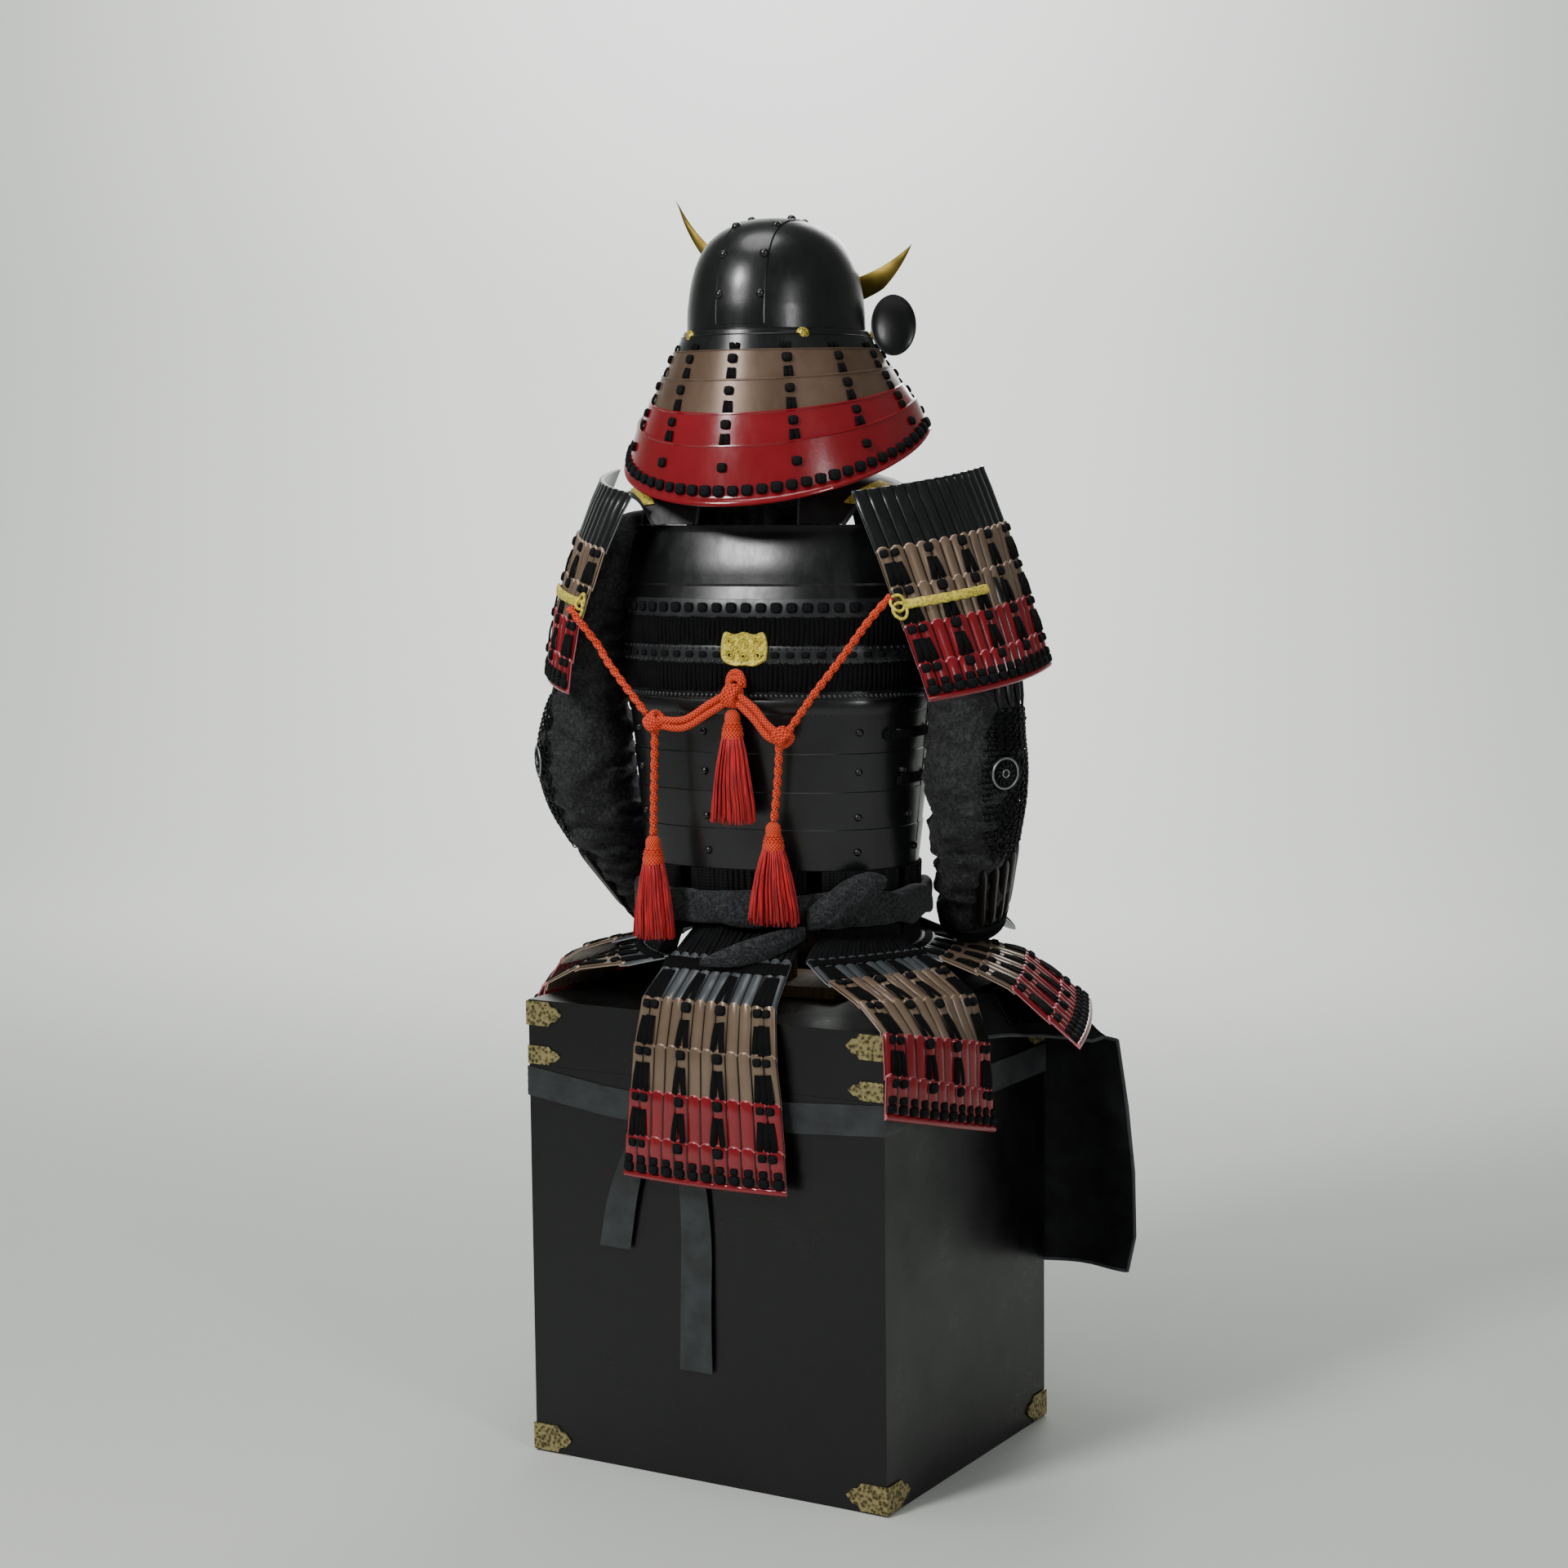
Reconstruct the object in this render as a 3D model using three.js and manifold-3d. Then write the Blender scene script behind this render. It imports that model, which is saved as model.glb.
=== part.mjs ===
// Samurai armour seated on its armour box, standing free on the floor.
// Millimetres, +Z up. The armour faces -Y, its right side is -X, and the origin
// is on the floor under the middle of the box. Every wall of cloth, lacquered
// plate or lacing keeps its real hollow form, so nothing inside it is filled.
import * as THREE from "three";
import { mergeVertices } from "three/addons/utils/BufferGeometryUtils.js";
import Module from "manifold-3d";

const wasm = await Module();
wasm.setup();

// The seam between two pieces, and the thickness of the lacquered plates and of the cloth.
const SEAM = 0.3;
const PLATE = 2.4;
const CLOTH = 2;

// The armour box: outer sizes, height of the lid, thickness of the boards and of the inner lip.
const BOX = { width: 480, depth: 408.5, height: 550, lid: 78.3, board: 12, lip: 5, lipRise: 14 };
const HALF_W = BOX.width / 2;
const HALF_D = BOX.depth / 2;
const LID_Z = BOX.height - BOX.lid;

// The armour sits turned a little on the box, its back towards the right, and a little to its left.
const BODY_TURN = 9;
const BODY_SHIFT = 8.5;

// The cuirass: half width and half depths of its rings at each height, and how square they are.
const TORSO_SQUARE = 2.35;
const TORSO = [
  { z: 560, wide: 158, back: 108, front: 114 },
  { z: 632, wide: 162, back: 110, front: 117 },
  { z: 709, wide: 165, back: 113, front: 121 },
  { z: 800, wide: 173, back: 121, front: 134 },
  { z: 905, wide: 182, back: 128, front: 147 },
  { z: 1000, wide: 184, back: 126, front: 146 },
  { z: 1060, wide: 183, back: 116, front: 132 },
  { z: 1110, wide: 180, back: 101, front: 112 },
];
const DO_BOTTOM = 709;
// Seven skirts hang round the waist, and each takes six of these cells and leaves one open.
const CELLS = 49;
const CELL = 360 / CELLS;

const RED = paint(0xa5222b, 0.25, 0);
const BROWN = paint(0x8a6f5c, 0.4, 0);
const BLACK = paint(0x1c1d1e, 0.3, 0);
const GOLD = paint(0xe8d15a, 0.35, 0.9);
const BRASS = paint(0xa5924f, 0.45, 0.9);
const CORD = paint(0xe8492f, 0.85, 0);
const TASSEL = paint(0xc81e2a, 0.8, 0);
const CREPE = paint(0x2a2b2d, 0.95, 0);
const TAPE = paint(0x4a4d50, 0.7, 0);
const WOOD = paint(0xb08a5a, 0.6, 0);
const LACQUER = paint(0x121314, 0.25, 0);

/** A material from a colour, a roughness and a metalness. */
function paint(color, roughness, metalness) {
  return () => new THREE.MeshStandardMaterial({ color, roughness, metalness });
}

const point = (x, y, z) => new THREE.Vector3(x, y, z);
const radians = (angle) => (angle * Math.PI) / 180;
const mix = (a, b, t) => a + (b - a) * t;
const range = (count) => Array.from({ length: count }, (_, i) => i);
const spread = (count, from, to) => range(count + 1).map((i) => mix(from, to, i / count));

/** A value of a table at a height or place, straight between its rows. */
function lookUp(rows, key, at, column) {
  const next = rows.findIndex((row) => row[key] >= at);
  if (next < 0) {
    return rows[rows.length - 1][column];
  }
  if (next === 0) {
    return rows[0][column];
  }
  const [low, high] = [rows[next - 1], rows[next]];
  return mix(low[column], high[column], (at - low[key]) / (high[key] - low[key]));
}

/** A closed body from the corners of its triangles, three in a row, turned to face outwards. */
function body(corners) {
  const kept = [];
  let volume = 0;
  for (let i = 0; i < corners.length; i += 3) {
    const [a, b, c] = corners.slice(i, i + 3);
    const flat = a.distanceTo(b) < 1e-3 || b.distanceTo(c) < 1e-3 || c.distanceTo(a) < 1e-3;
    if (!flat) {
      kept.push([a, b, c]);
      volume += a.dot(b.clone().cross(c));
    }
  }
  const numbers = kept.flatMap(([a, b, c]) => {
    const [second, third] = volume > 0 ? [b, c] : [c, b];
    return [...a.toArray(), ...second.toArray(), ...third.toArray()];
  });
  const geometry = new THREE.BufferGeometry();
  geometry.setAttribute("position", new THREE.Float32BufferAttribute(numbers, 3));
  return geometry;
}

/** Joins two edges that run side by side with a strip of triangles. */
function joinEdges(corners, one, other) {
  let i = 0;
  let j = 0;
  while (i < one.length - 1 || j < other.length - 1) {
    const nextOne = (i + 1) / (one.length - 1);
    const nextOther = (j + 1) / (other.length - 1);
    const stepOne = j === other.length - 1 || (i < one.length - 1 && nextOne <= nextOther);
    if (stepOne) {
      corners.push(one[i + 1], one[i], other[j]);
      i += 1;
    } else {
      corners.push(one[i], other[j], other[j + 1]);
      j += 1;
    }
  }
}

/**
 * A wall between an outer and an inner grid of points. The inner grid may be coarser.
 * Each grid is a list of rows, and the rows of a ring or tube come back to their start.
 */
function wall(outer, inner, ring = false) {
  const corners = [];
  const skin = (grid, swap) => {
    for (let i = 0; i + 1 < grid.length; i += 1) {
      for (let j = 0; j + 1 < grid[i].length; j += 1) {
        const [a, b] = [grid[i][j], grid[i][j + 1]];
        const [c, d] = [grid[i + 1][j + 1], grid[i + 1][j]];
        const face = swap ? [a, c, b, a, d, c] : [a, b, c, a, c, d];
        corners.push(...face);
      }
    }
  };
  skin(outer, false);
  skin(inner, true);
  joinEdges(corners, outer[0], inner[0]);
  const [outerTop, innerTop] = [outer[outer.length - 1], inner[inner.length - 1]];
  joinEdges(corners, [...outerTop].reverse(), [...innerTop].reverse());
  if (!ring) {
    const first = (grid) => grid.map((row) => row[0]).reverse();
    const last = (grid) => grid.map((row) => row[row.length - 1]);
    joinEdges(corners, first(outer), first(inner));
    joinEdges(corners, last(outer), last(inner));
  }
  return body(corners);
}

/** A grid of points from a list of places along, a list across, and a rule for the point. */
function grid(along, across, rule) {
  return along.map((v) => across.map((u) => rule(u, v)));
}

/** A closed mesh as a solid that can be joined or cut. */
function solid(geometry) {
  const bare = geometry.clone();
  bare.deleteAttribute("normal");
  bare.deleteAttribute("uv");
  const merged = mergeVertices(bare, 1e-3);
  const order = merged.index.array;
  const triangles = [];
  for (let i = 0; i < order.length; i += 3) {
    const [a, b, c] = [order[i], order[i + 1], order[i + 2]];
    if (a !== b && b !== c && c !== a) {
      triangles.push(a, b, c);
    }
  }
  return new wasm.Manifold(new wasm.Mesh({
    numProp: 3,
    vertProperties: new Float32Array(merged.attributes.position.array),
    triVerts: new Uint32Array(triangles),
  }));
}

/** The geometry of a joined or cut solid. */
function shape(result) {
  const mesh = result.getMesh();
  const geometry = new THREE.BufferGeometry();
  geometry.setAttribute("position", new THREE.BufferAttribute(mesh.vertProperties, 3));
  geometry.setIndex(new THREE.BufferAttribute(mesh.triVerts, 1));
  return geometry;
}

/** One solid out of several that touch or cross. */
function joined(geometries) {
  return shape(geometries.map(solid).reduce((sum, next) => sum.add(next)));
}

/** A box given by its middle and its sizes. */
function block(x, y, z, width, depth, height) {
  return new THREE.BoxGeometry(width, depth, height).translate(x, y, z);
}

/** A round bar between two points. */
function bar(from, to, radius, sides = 12, radiusTo = radius) {
  const length = from.distanceTo(to);
  const along = to.clone().sub(from).normalize();
  const turn = new THREE.Quaternion().setFromUnitVectors(point(0, 1, 0), along);
  const middle = from.clone().lerp(to, 0.5);
  return new THREE.CylinderGeometry(radiusTo, radius, length, sides)
    .applyQuaternion(turn)
    .translate(middle.x, middle.y, middle.z);
}

/** A plain cord of round section along a list of points. */
function cordTube(points, diameter, steps) {
  const section = new THREE.Shape();
  section.absarc(0, 0, diameter / 2, 0, Math.PI * 2);
  const path = new THREE.CatmullRomCurve3(points.map((p) => point(...p)), false, "centripetal");
  return new THREE.ExtrudeGeometry(section, {
    steps,
    curveSegments: 4,
    bevelEnabled: false,
    extrudePath: path,
  });
}

const part = new THREE.Group();
const armour = new THREE.Group();
armour.rotation.z = radians(BODY_TURN);
armour.position.copy(turned(point(0, 0, 0)));
part.add(armour);

/** Adds one named piece to a group. */
function piece(group, name, geometry, material) {
  const mesh = new THREE.Mesh(geometry, material());
  mesh.name = name;
  group.add(mesh);
}

/** A point of the armour turned with it into the part's frame. */
function turned(p) {
  return p.clone().setX(p.x + BODY_SHIFT).applyAxisAngle(point(0, 0, 1), radians(BODY_TURN));
}

/** A point on the cuirass's form at an angle from its left side, a height and a distance out. */
function torso(angle, z, out) {
  const [c, s] = [Math.cos(radians(angle)), Math.sin(radians(angle))];
  const wide = lookUp(TORSO, "z", z, "wide") + out;
  const deep = lookUp(TORSO, "z", z, s > 0 ? "back" : "front") + out;
  const power = 2 / TORSO_SQUARE;
  const x = wide * Math.sign(c) * Math.abs(c) ** power;
  const y = deep * Math.sign(s) * Math.abs(s) ** power;
  return point(x, y, z);
}

/*
 * The cuirass is a back and a front plate that meet at the sides. Rows go up: a height, how
 * far the row stands out, and how far round from the middle it goes. Riveted plates below
 * lap over each other downwards, and the laced bands above stand back and forward in steps.
 */
const DO_BACK = [
  { z: 709, out: 0, reach: 91.5 },
  { z: 756, out: 1.2, reach: 91.5 },
  { z: 757, out: 0, reach: 91.5 },
  { z: 800, out: 1.2, reach: 91.5 },
  { z: 801, out: 0, reach: 91.5 },
  { z: 845, out: 1.2, reach: 91.5 },
  { z: 846, out: 0, reach: 91.5 },
  { z: 906, out: 1.4, reach: 91.5 },
  { z: 908, out: 2.6, reach: 91.5 },
  { z: 925, out: 1.6, reach: 91.5 },
  { z: 957, out: 1.6, reach: 84 },
  { z: 973, out: 2.8, reach: 79 },
  { z: 1008, out: 1.2, reach: 70 },
  { z: 1022, out: 2.6, reach: 67 },
  { z: 1038, out: 0.6, reach: 64 },
  { z: 1041, out: 2.8, reach: 62 },
  { z: 1100, out: 1.8, reach: 55 },
  { z: 1108, out: 4.2, reach: 54 },
];
const DO_FRONT = [
  { z: 709, out: 0, reach: 87.5 },
  { z: 757, out: 1.2, reach: 87.5 },
  { z: 758, out: 0, reach: 87.5 },
  { z: 845, out: 1.2, reach: 87.5 },
  { z: 846, out: 0, reach: 87.5 },
  { z: 925, out: 1.4, reach: 84 },
  { z: 973, out: 2.6, reach: 72 },
  { z: 1022, out: 1.2, reach: 62 },
  { z: 1041, out: 2.6, reach: 57 },
  { z: 1088, out: 3.8, reach: 52 },
];
const DO_WALL = 3;

/** One half of the cuirass about an angle of 90, its back, or 270, its front. */
function cuirassHalf(rows, middle, columns) {
  const at = (u, row, out) => torso(middle + u * row.reach, row.z, out);
  const outer = grid(rows, spread(columns, -1, 1), (u, row) => at(u, row, row.out));
  const levels = rows.filter((row, i) => i % 4 === 0 || i === rows.length - 1);
  const inner = grid(levels, spread(columns / 2, -1, 1), (u, row) => at(u, row, -DO_WALL));
  return wall(outer, inner);
}

/*
 * A shoulder strap with its wing: a padded plate from the back plate's top edge over the
 * shoulder to the front. Rows go from back to front.
 */
const STRAP = [
  { y: 101, z: 1109.15, inside: 64, outside: 118, fall: 0 },
  { y: 90, z: 1141, inside: 62, outside: 138, fall: 6 },
  { y: 62, z: 1166, inside: 60, outside: 166, fall: 20 },
  { y: 22, z: 1176, inside: 60, outside: 178, fall: 30 },
  { y: -30, z: 1168, inside: 60, outside: 164, fall: 24 },
  { y: -76, z: 1138, inside: 62, outside: 130, fall: 8 },
  { y: -113, z: 1089.2, inside: 62, outside: 112, fall: 0 },
];
const STRAP_WALL = 4;

/** The strap and wing of one side, 1 for the left and -1 for the right. */
function shoulderStrap(side) {
  const across = [0, 0.35, 0.7, 1];
  const at = (u, row, down) => {
    const x = mix(row.inside, row.outside, u);
    const inward = row.y > 0 ? -1 : 1;
    const steep = Math.abs(row.y) > 70 ? 1 : 0.2;
    return point(side * x, row.y + inward * down * steep, row.z - row.fall * u * u - down * (1 - steep * 0.8));
  };
  return wall(
    grid(STRAP, across, (u, row) => at(u, row, 0)),
    grid(STRAP, across, (u, row) => at(u, row, STRAP_WALL)),
  );
}

/*
 * A strip of lames: sections across it from top to bottom, each with a rule that gives its
 * points from -1 to 1 across. Between two sections the strip runs straight.
 */
function strip(sections) {
  const last = sections.length - 1;
  const plain = (u, s) => {
    const low = Math.min(Math.floor(s), last - 1);
    return sections[low](u).lerp(sections[low + 1](u), s - low);
  };
  const normal = (u, i) => {
    const across = plain(u + 0.04, i).sub(plain(u - 0.04, i));
    const down = plain(u, Math.min(i + 0.5, last)).sub(plain(u, Math.max(i - 0.5, 0)));
    return down.cross(across).normalize();
  };
  return (u, s, out) => {
    const low = Math.min(Math.floor(s), last - 1);
    const direction = normal(u, low).lerp(normal(u, low + 1), s - low).normalize();
    return plain(u, s).addScaledVector(direction, out);
  };
}

// A lame's ribs: how high they stand, how far their rounded tops rise, and the lap of each lame.
const RIB = { rise: 1.5, scallop: 5, lapOut: 2.6, footOut: 0.3 };

/**
 * The wall of a laced panel. Above its first lame it is plain lacing; each lame's top stands
 * out over the foot of the one above it, and its ribs are raised in the outer points only.
 */
function lamePanel(place, { ribs, firstLame, lames, length, back, innerColumns }) {
  const columns = spread(ribs * 2, -1, 1);
  const peak = (u) => (Math.round(((u + 1) / 2) * ribs * 2) % 2 === 1 ? 1 : 0);
  const rows = [];
  if (firstLame > 0) {
    range(firstLame).forEach((s) => rows.push({ s, out: 0, rise: 0, scallop: 0 }));
    rows.push({ s: firstLame, out: 0, rise: 0, scallop: 1 });
  }
  for (const k of range(lames)) {
    const top = firstLame + k;
    const isLast = k === lames - 1;
    rows.push({ s: top + 0.02, out: RIB.lapOut, rise: 1, scallop: 1 });
    rows.push({ s: top + 1, out: RIB.footOut, rise: 1, scallop: isLast ? 0 : 1 });
  }
  const outer = grid([...rows].reverse(), columns, (u, row) => {
    const lift = row.scallop * (1 - peak(u)) * (RIB.scallop / length);
    return place(u, row.s + lift, row.out + row.rise * peak(u) * RIB.rise);
  });
  const stations = range(firstLame + lames + 1).reverse();
  const inner = grid(stations, spread(innerColumns, -1, 1), (u, s) => place(u, s, -back));
  return wall(outer, inner);
}

/** A section across a hanging lame: its middle, where it faces, its half width, bow and tilt. */
function lameSection({ x, y, z, face, half, bow = 8, tilt = 0 }) {
  const [c, s] = [Math.cos(radians(face)), Math.sin(radians(face))];
  return (u) => point(
    x - s * half * u - c * bow * u * u,
    y + c * half * u - s * bow * u * u,
    z + tilt * u,
  );
}

/*
 * The seven skirts. Each hangs on lacing from the cuirass's lower edge, passes under the
 * belt and drapes over the box. The rows are the edges of its lames, from the first top edge
 * down; "face" is the way the row looks, counted from +X, and "tilt" lifts its +u end.
 */
const SKIRT = { ribs: 12, lames: 5, lame: 55, bendZ: 636 };
const SKIRT_ROWS = {
  back: [
    { x: -15, y: 160, z: 612, face: 92, half: 79, bow: 6 },
    { x: -15, y: 212, z: 570, face: 91, half: 88, bow: 5 },
    { x: -15, y: 224, z: 518, face: 90, half: 95, bow: 6 },
    { x: -15, y: 227, z: 464, face: 90, half: 101 },
    { x: -15, y: 229, z: 410, face: 90, half: 106 },
    { x: -15, y: 230, z: 357, face: 90, half: 109 },
  ],
  right_back: [
    { x: -150, y: 84, z: 612, face: 151, half: 76 },
    { x: -196, y: 108, z: 597, face: 155, half: 84 },
    { x: -242, y: 122, z: 577, face: 162, half: 92, tilt: -6 },
    { x: -271, y: 126, z: 536, face: 170, half: 98, tilt: -20 },
    { x: -275, y: 126, z: 487, face: 172, half: 102, tilt: -26 },
    { x: -277, y: 126, z: 434, face: 172, half: 105, tilt: -26 },
  ],
  right_side: [
    { x: -143, y: -56, z: 611, face: 201, half: 70 },
    { x: -182, y: -70, z: 602, face: 201, half: 78 },
    { x: -221, y: -85, z: 593, face: 201, half: 86, tilt: 4 },
    { x: -260, y: -100, z: 579, face: 201, half: 91, tilt: 8, bow: 6 },
    { x: -299, y: -115, z: 547, face: 201, half: 94, tilt: 10, bow: 6 },
    { x: -337, y: -130, z: 513, face: 201, half: 95, tilt: 10, bow: 6 },
  ],
  right_front: [
    { x: -62, y: -172, z: 612, face: 258, half: 74 },
    { x: -72, y: -216, z: 590, face: 262, half: 82 },
    { x: -80, y: -246, z: 544, face: 267, half: 90 },
    { x: -86, y: -250, z: 490, face: 270, half: 96 },
    { x: -90, y: -252, z: 436, face: 270, half: 100 },
    { x: -94, y: -253, z: 383, face: 270, half: 103 },
  ],
  left_front: [
    { x: 92, y: -164, z: 612, face: 302, half: 74 },
    { x: 106, y: -212, z: 590, face: 290, half: 82 },
    { x: 112, y: -246, z: 544, face: 277, half: 90 },
    { x: 116, y: -250, z: 490, face: 271, half: 96 },
    { x: 120, y: -252, z: 436, face: 270, half: 100 },
    { x: 124, y: -253, z: 383, face: 270, half: 103 },
  ],
  left_side: [
    { x: 166, y: -14, z: 611, face: 355, half: 66, bow: 10 },
    { x: 206, y: -17, z: 602, face: 351, half: 78, bow: 10 },
    { x: 246, y: -29, z: 590, face: 347, half: 84, bow: 10 },
    { x: 284, y: -42, z: 570, face: 344, half: 88, bow: 10 },
    { x: 319, y: -53, z: 534, face: 344, half: 90, bow: 10 },
    { x: 350, y: -62, z: 495, face: 344, half: 91, bow: 10 },
  ],
  left_back: [
    { x: 124, y: 110, z: 604, face: 46, half: 67 },
    { x: 174, y: 106, z: 594, face: 34, half: 76 },
    { x: 225, y: 84, z: 580, face: 18, half: 84, tilt: 4, bow: 5 },
    { x: 268, y: 57, z: 555, face: 6, half: 88, tilt: 4, bow: 4 },
    { x: 281, y: 47, z: 504, face: 2, half: 90, bow: 5 },
    { x: 286, y: 43, z: 450, face: 1, half: 91, bow: 5 },
  ],
};
const SKIRT_NAMES = Object.keys(SKIRT_ROWS);

/** The place of one skirt's points: its lacing on the cuirass's form, then its lames. */
function skirtStrip(name, index) {
  const middle = 90 + index * 7 * CELL;
  const ringSection = (z, out) => (u) => turned(torso(middle + u * 3 * CELL, z, out));
  const rows = SKIRT_ROWS[name].map(lameSection);
  return strip([ringSection(DO_BOTTOM - SEAM * 1.5, 0), ringSection(SKIRT.bendZ, 0), ...rows]);
}

/** One skirt panel. */
function skirtPanel(name, index) {
  return lamePanel(skirtStrip(name, index), {
    ribs: SKIRT.ribs,
    firstLame: 2,
    lames: SKIRT.lames,
    length: SKIRT.lame,
    back: PLATE,
    innerColumns: 6,
  });
}

/*
 * A shoulder guard: one plain top plate and five lames, hung from the shoulder and drawn
 * back by the cord. Rows are its edges downwards for a guard on the left side, and the right
 * one mirrors them; the left one itself hangs nearer the body by its "tuck".
 */
const GUARD = { ribs: 14, lames: 5, lame: 43, shift: 10.5 };
const GUARD_ROWS = [
  { x: 201, y: 52, z: 1160, face: 29, half: 101, bow: 27, tuck: 8 },
  { x: 213, y: 56, z: 1136, face: 28, half: 103, bow: 27, tuck: 9 },
  { x: 231, y: 60, z: 1096, face: 27, half: 104, bow: 27, tuck: 11 },
  { x: 248, y: 64, z: 1054, face: 26, half: 104, bow: 27, tuck: 14 },
  { x: 265, y: 68, z: 1012, face: 25, half: 105, bow: 27, tuck: 18 },
  { x: 282, y: 72, z: 970, face: 24, half: 105, bow: 27, tuck: 28 },
  { x: 298, y: 76, z: 927, face: 23, half: 105, bow: 27, tuck: 40 },
];

/** The shoulder guard of one side, 1 for the left and -1 for the right. */
function shoulderGuard(side) {
  const sections = GUARD_ROWS.map((row) => {
    const inwards = side > 0 ? row.tuck : 0;
    const left = lameSection({ ...row, x: row.x + GUARD.shift - inwards, tilt: -14 });
    return (u) => left(u * side).multiply(point(side, 1, 1));
  });
  return lamePanel(strip(sections), {
    ribs: GUARD.ribs,
    firstLame: 1,
    lames: GUARD.lames,
    length: GUARD.lame,
    back: PLATE,
    innerColumns: 7,
  });
}

/*
 * The helmet bowl: rings from the lower rim up to the crown, as a share of the rim's half
 * width and half depth. The band round its foot stands a little proud.
 */
const BOWL = { wide: 103, deep: 119, wall: 2.6 };
const BOWL_ROWS = [
  { z: 1308, share: 1.035 },
  { z: 1331, share: 1.03 },
  { z: 1333, share: 1 },
  { z: 1362, share: 0.985 },
  { z: 1392, share: 0.94 },
  { z: 1418, share: 0.855 },
  { z: 1438, share: 0.725 },
  { z: 1452, share: 0.54 },
  { z: 1460.5, share: 0.3 },
  { z: 1463, share: 0 },
];

/** The helmet bowl, open below. */
function helmetBowl() {
  const ringAt = (row, angle, less) => point(
    Math.max(BOWL.wide * row.share - less, 0) * Math.cos(radians(angle)),
    Math.max(BOWL.deep * row.share - less, 0) * Math.sin(radians(angle)),
    row.z,
  );
  const outer = grid(BOWL_ROWS, spread(24, 0, 360), (a, row) => ringAt(row, a, 0));
  const levels = BOWL_ROWS.filter((row, i) => i % 3 === 0);
  const inner = grid(levels, spread(12, 0, 360), (a, row) => {
    const inside = ringAt(row, a, row.share > 0 ? BOWL.wall : 0);
    return inside.setZ(row.z - (row.share < 0.9 ? BOWL.wall : 0));
  });
  return wall(outer, inner, true);
}

/*
 * The neck guard: five lames that lap over each other downwards, each outside the one above.
 * Its upper edge is level and its lower edge dips at the back, and it stops at the temples.
 */
const NECK = { lames: 5, columns: 22, reach: 118, outs: [0, 3.3, 6.6, 9.9, 13.6], wall: 2.1, lap: 7 };
const NECK_ROWS = [
  { down: 0, wide: 109.4, deep: 126, z: 1326, rise: 0 },
  { down: 1, wide: 117, deep: 131, z: 1304, rise: 4 },
  { down: 2, wide: 129, deep: 140, z: 1268, rise: 16 },
  { down: 3, wide: 141, deep: 148, z: 1229, rise: 32 },
  { down: 4, wide: 152, deep: 155, z: 1193, rise: 48 },
  { down: 5, wide: 166, deep: 164, z: 1130, rise: 71 },
];

/** A point of the neck guard, at an angle from the middle of the back. */
function neckPoint(angle, down, out) {
  const [c, s] = [Math.cos(radians(angle)), Math.sin(radians(angle))];
  const wide = lookUp(NECK_ROWS, "down", down, "wide") + out;
  const deep = lookUp(NECK_ROWS, "down", down, "deep") + out;
  const rise = lookUp(NECK_ROWS, "down", down, "rise") * (1 - Math.max(c, -0.2));
  return point(-wide * s, deep * c, lookUp(NECK_ROWS, "down", down, "z") + rise);
}

/** One lame of the neck guard, counted from the top. */
function neckLame(index) {
  const out = NECK.outs[index];
  const top = index === 0 ? 0 : index - NECK.lap / 40;
  const rolled = index === NECK.lames - 1 ? 3 : 0.6;
  const rim = { down: index + 1, out: out + rolled * 0.6 };
  const roll = [{ down: index + 0.93, out: out + rolled }, { down: index + 0.86, out }];
  const rows = [rim, ...(index === NECK.lames - 1 ? roll : []), { down: top, out }];
  const across = spread(NECK.columns, -NECK.reach, NECK.reach);
  const outer = grid(rows, across, (a, row) => neckPoint(a, row.down, row.out));
  const inner = grid([rim, rows[rows.length - 1]], across, (a, row) => neckPoint(a, row.down, out - NECK.wall));
  return wall(outer, inner);
}

/** The peak over the brow. */
function helmetPeak() {
  const rows = [{ out: 0.2, z: 1324 }, { out: 21, z: 1317 }, { out: 40, z: 1303 }];
  const at = (angle, row, down) => {
    const [c, s] = [Math.cos(radians(angle)), Math.sin(radians(angle))];
    const far = row.out * Math.cos(radians((angle - 270) * 1.15)) + 0.7;
    return point((BOWL.wide * 1.035 + far) * c, (BOWL.deep * 1.035 + far) * s, row.z - down);
  };
  const across = spread(14, 270 - 60, 270 + 60);
  return wall(
    grid(rows, across, (a, row) => at(a, row, 0)),
    grid(rows, across, (a, row) => at(a, row, PLATE)),
  );
}

/** One oval ear turned back from the front end of the neck guard. */
function helmetEar(side) {
  const oval = new THREE.Shape();
  oval.absellipse(0, 0, 27, 36, 0, Math.PI * 2);
  const plate = new THREE.ExtrudeGeometry(oval, { depth: 2.6, bevelEnabled: false, curveSegments: 10 });
  plate.rotateX(radians(90));
  plate.rotateZ(radians(side * -24));
  return plate.translate(side * 122, -68, 1340);
}

/*
 * The crest: a crescent cut from sheet, the left horn longer than the right. Two arcs make
 * it: the middle of each arc, its radius, and the angles where the horns end.
 */
const CREST = {
  outer: { x: 10, z: 1548.6, radius: 185 },
  inner: { x: 10, z: 1596, radius: 202 },
  leftTip: { x: 192, z: 1506 },
  rightTip: { x: -118, z: 1440 },
  y: -146,
  thick: 2.4,
};

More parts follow.
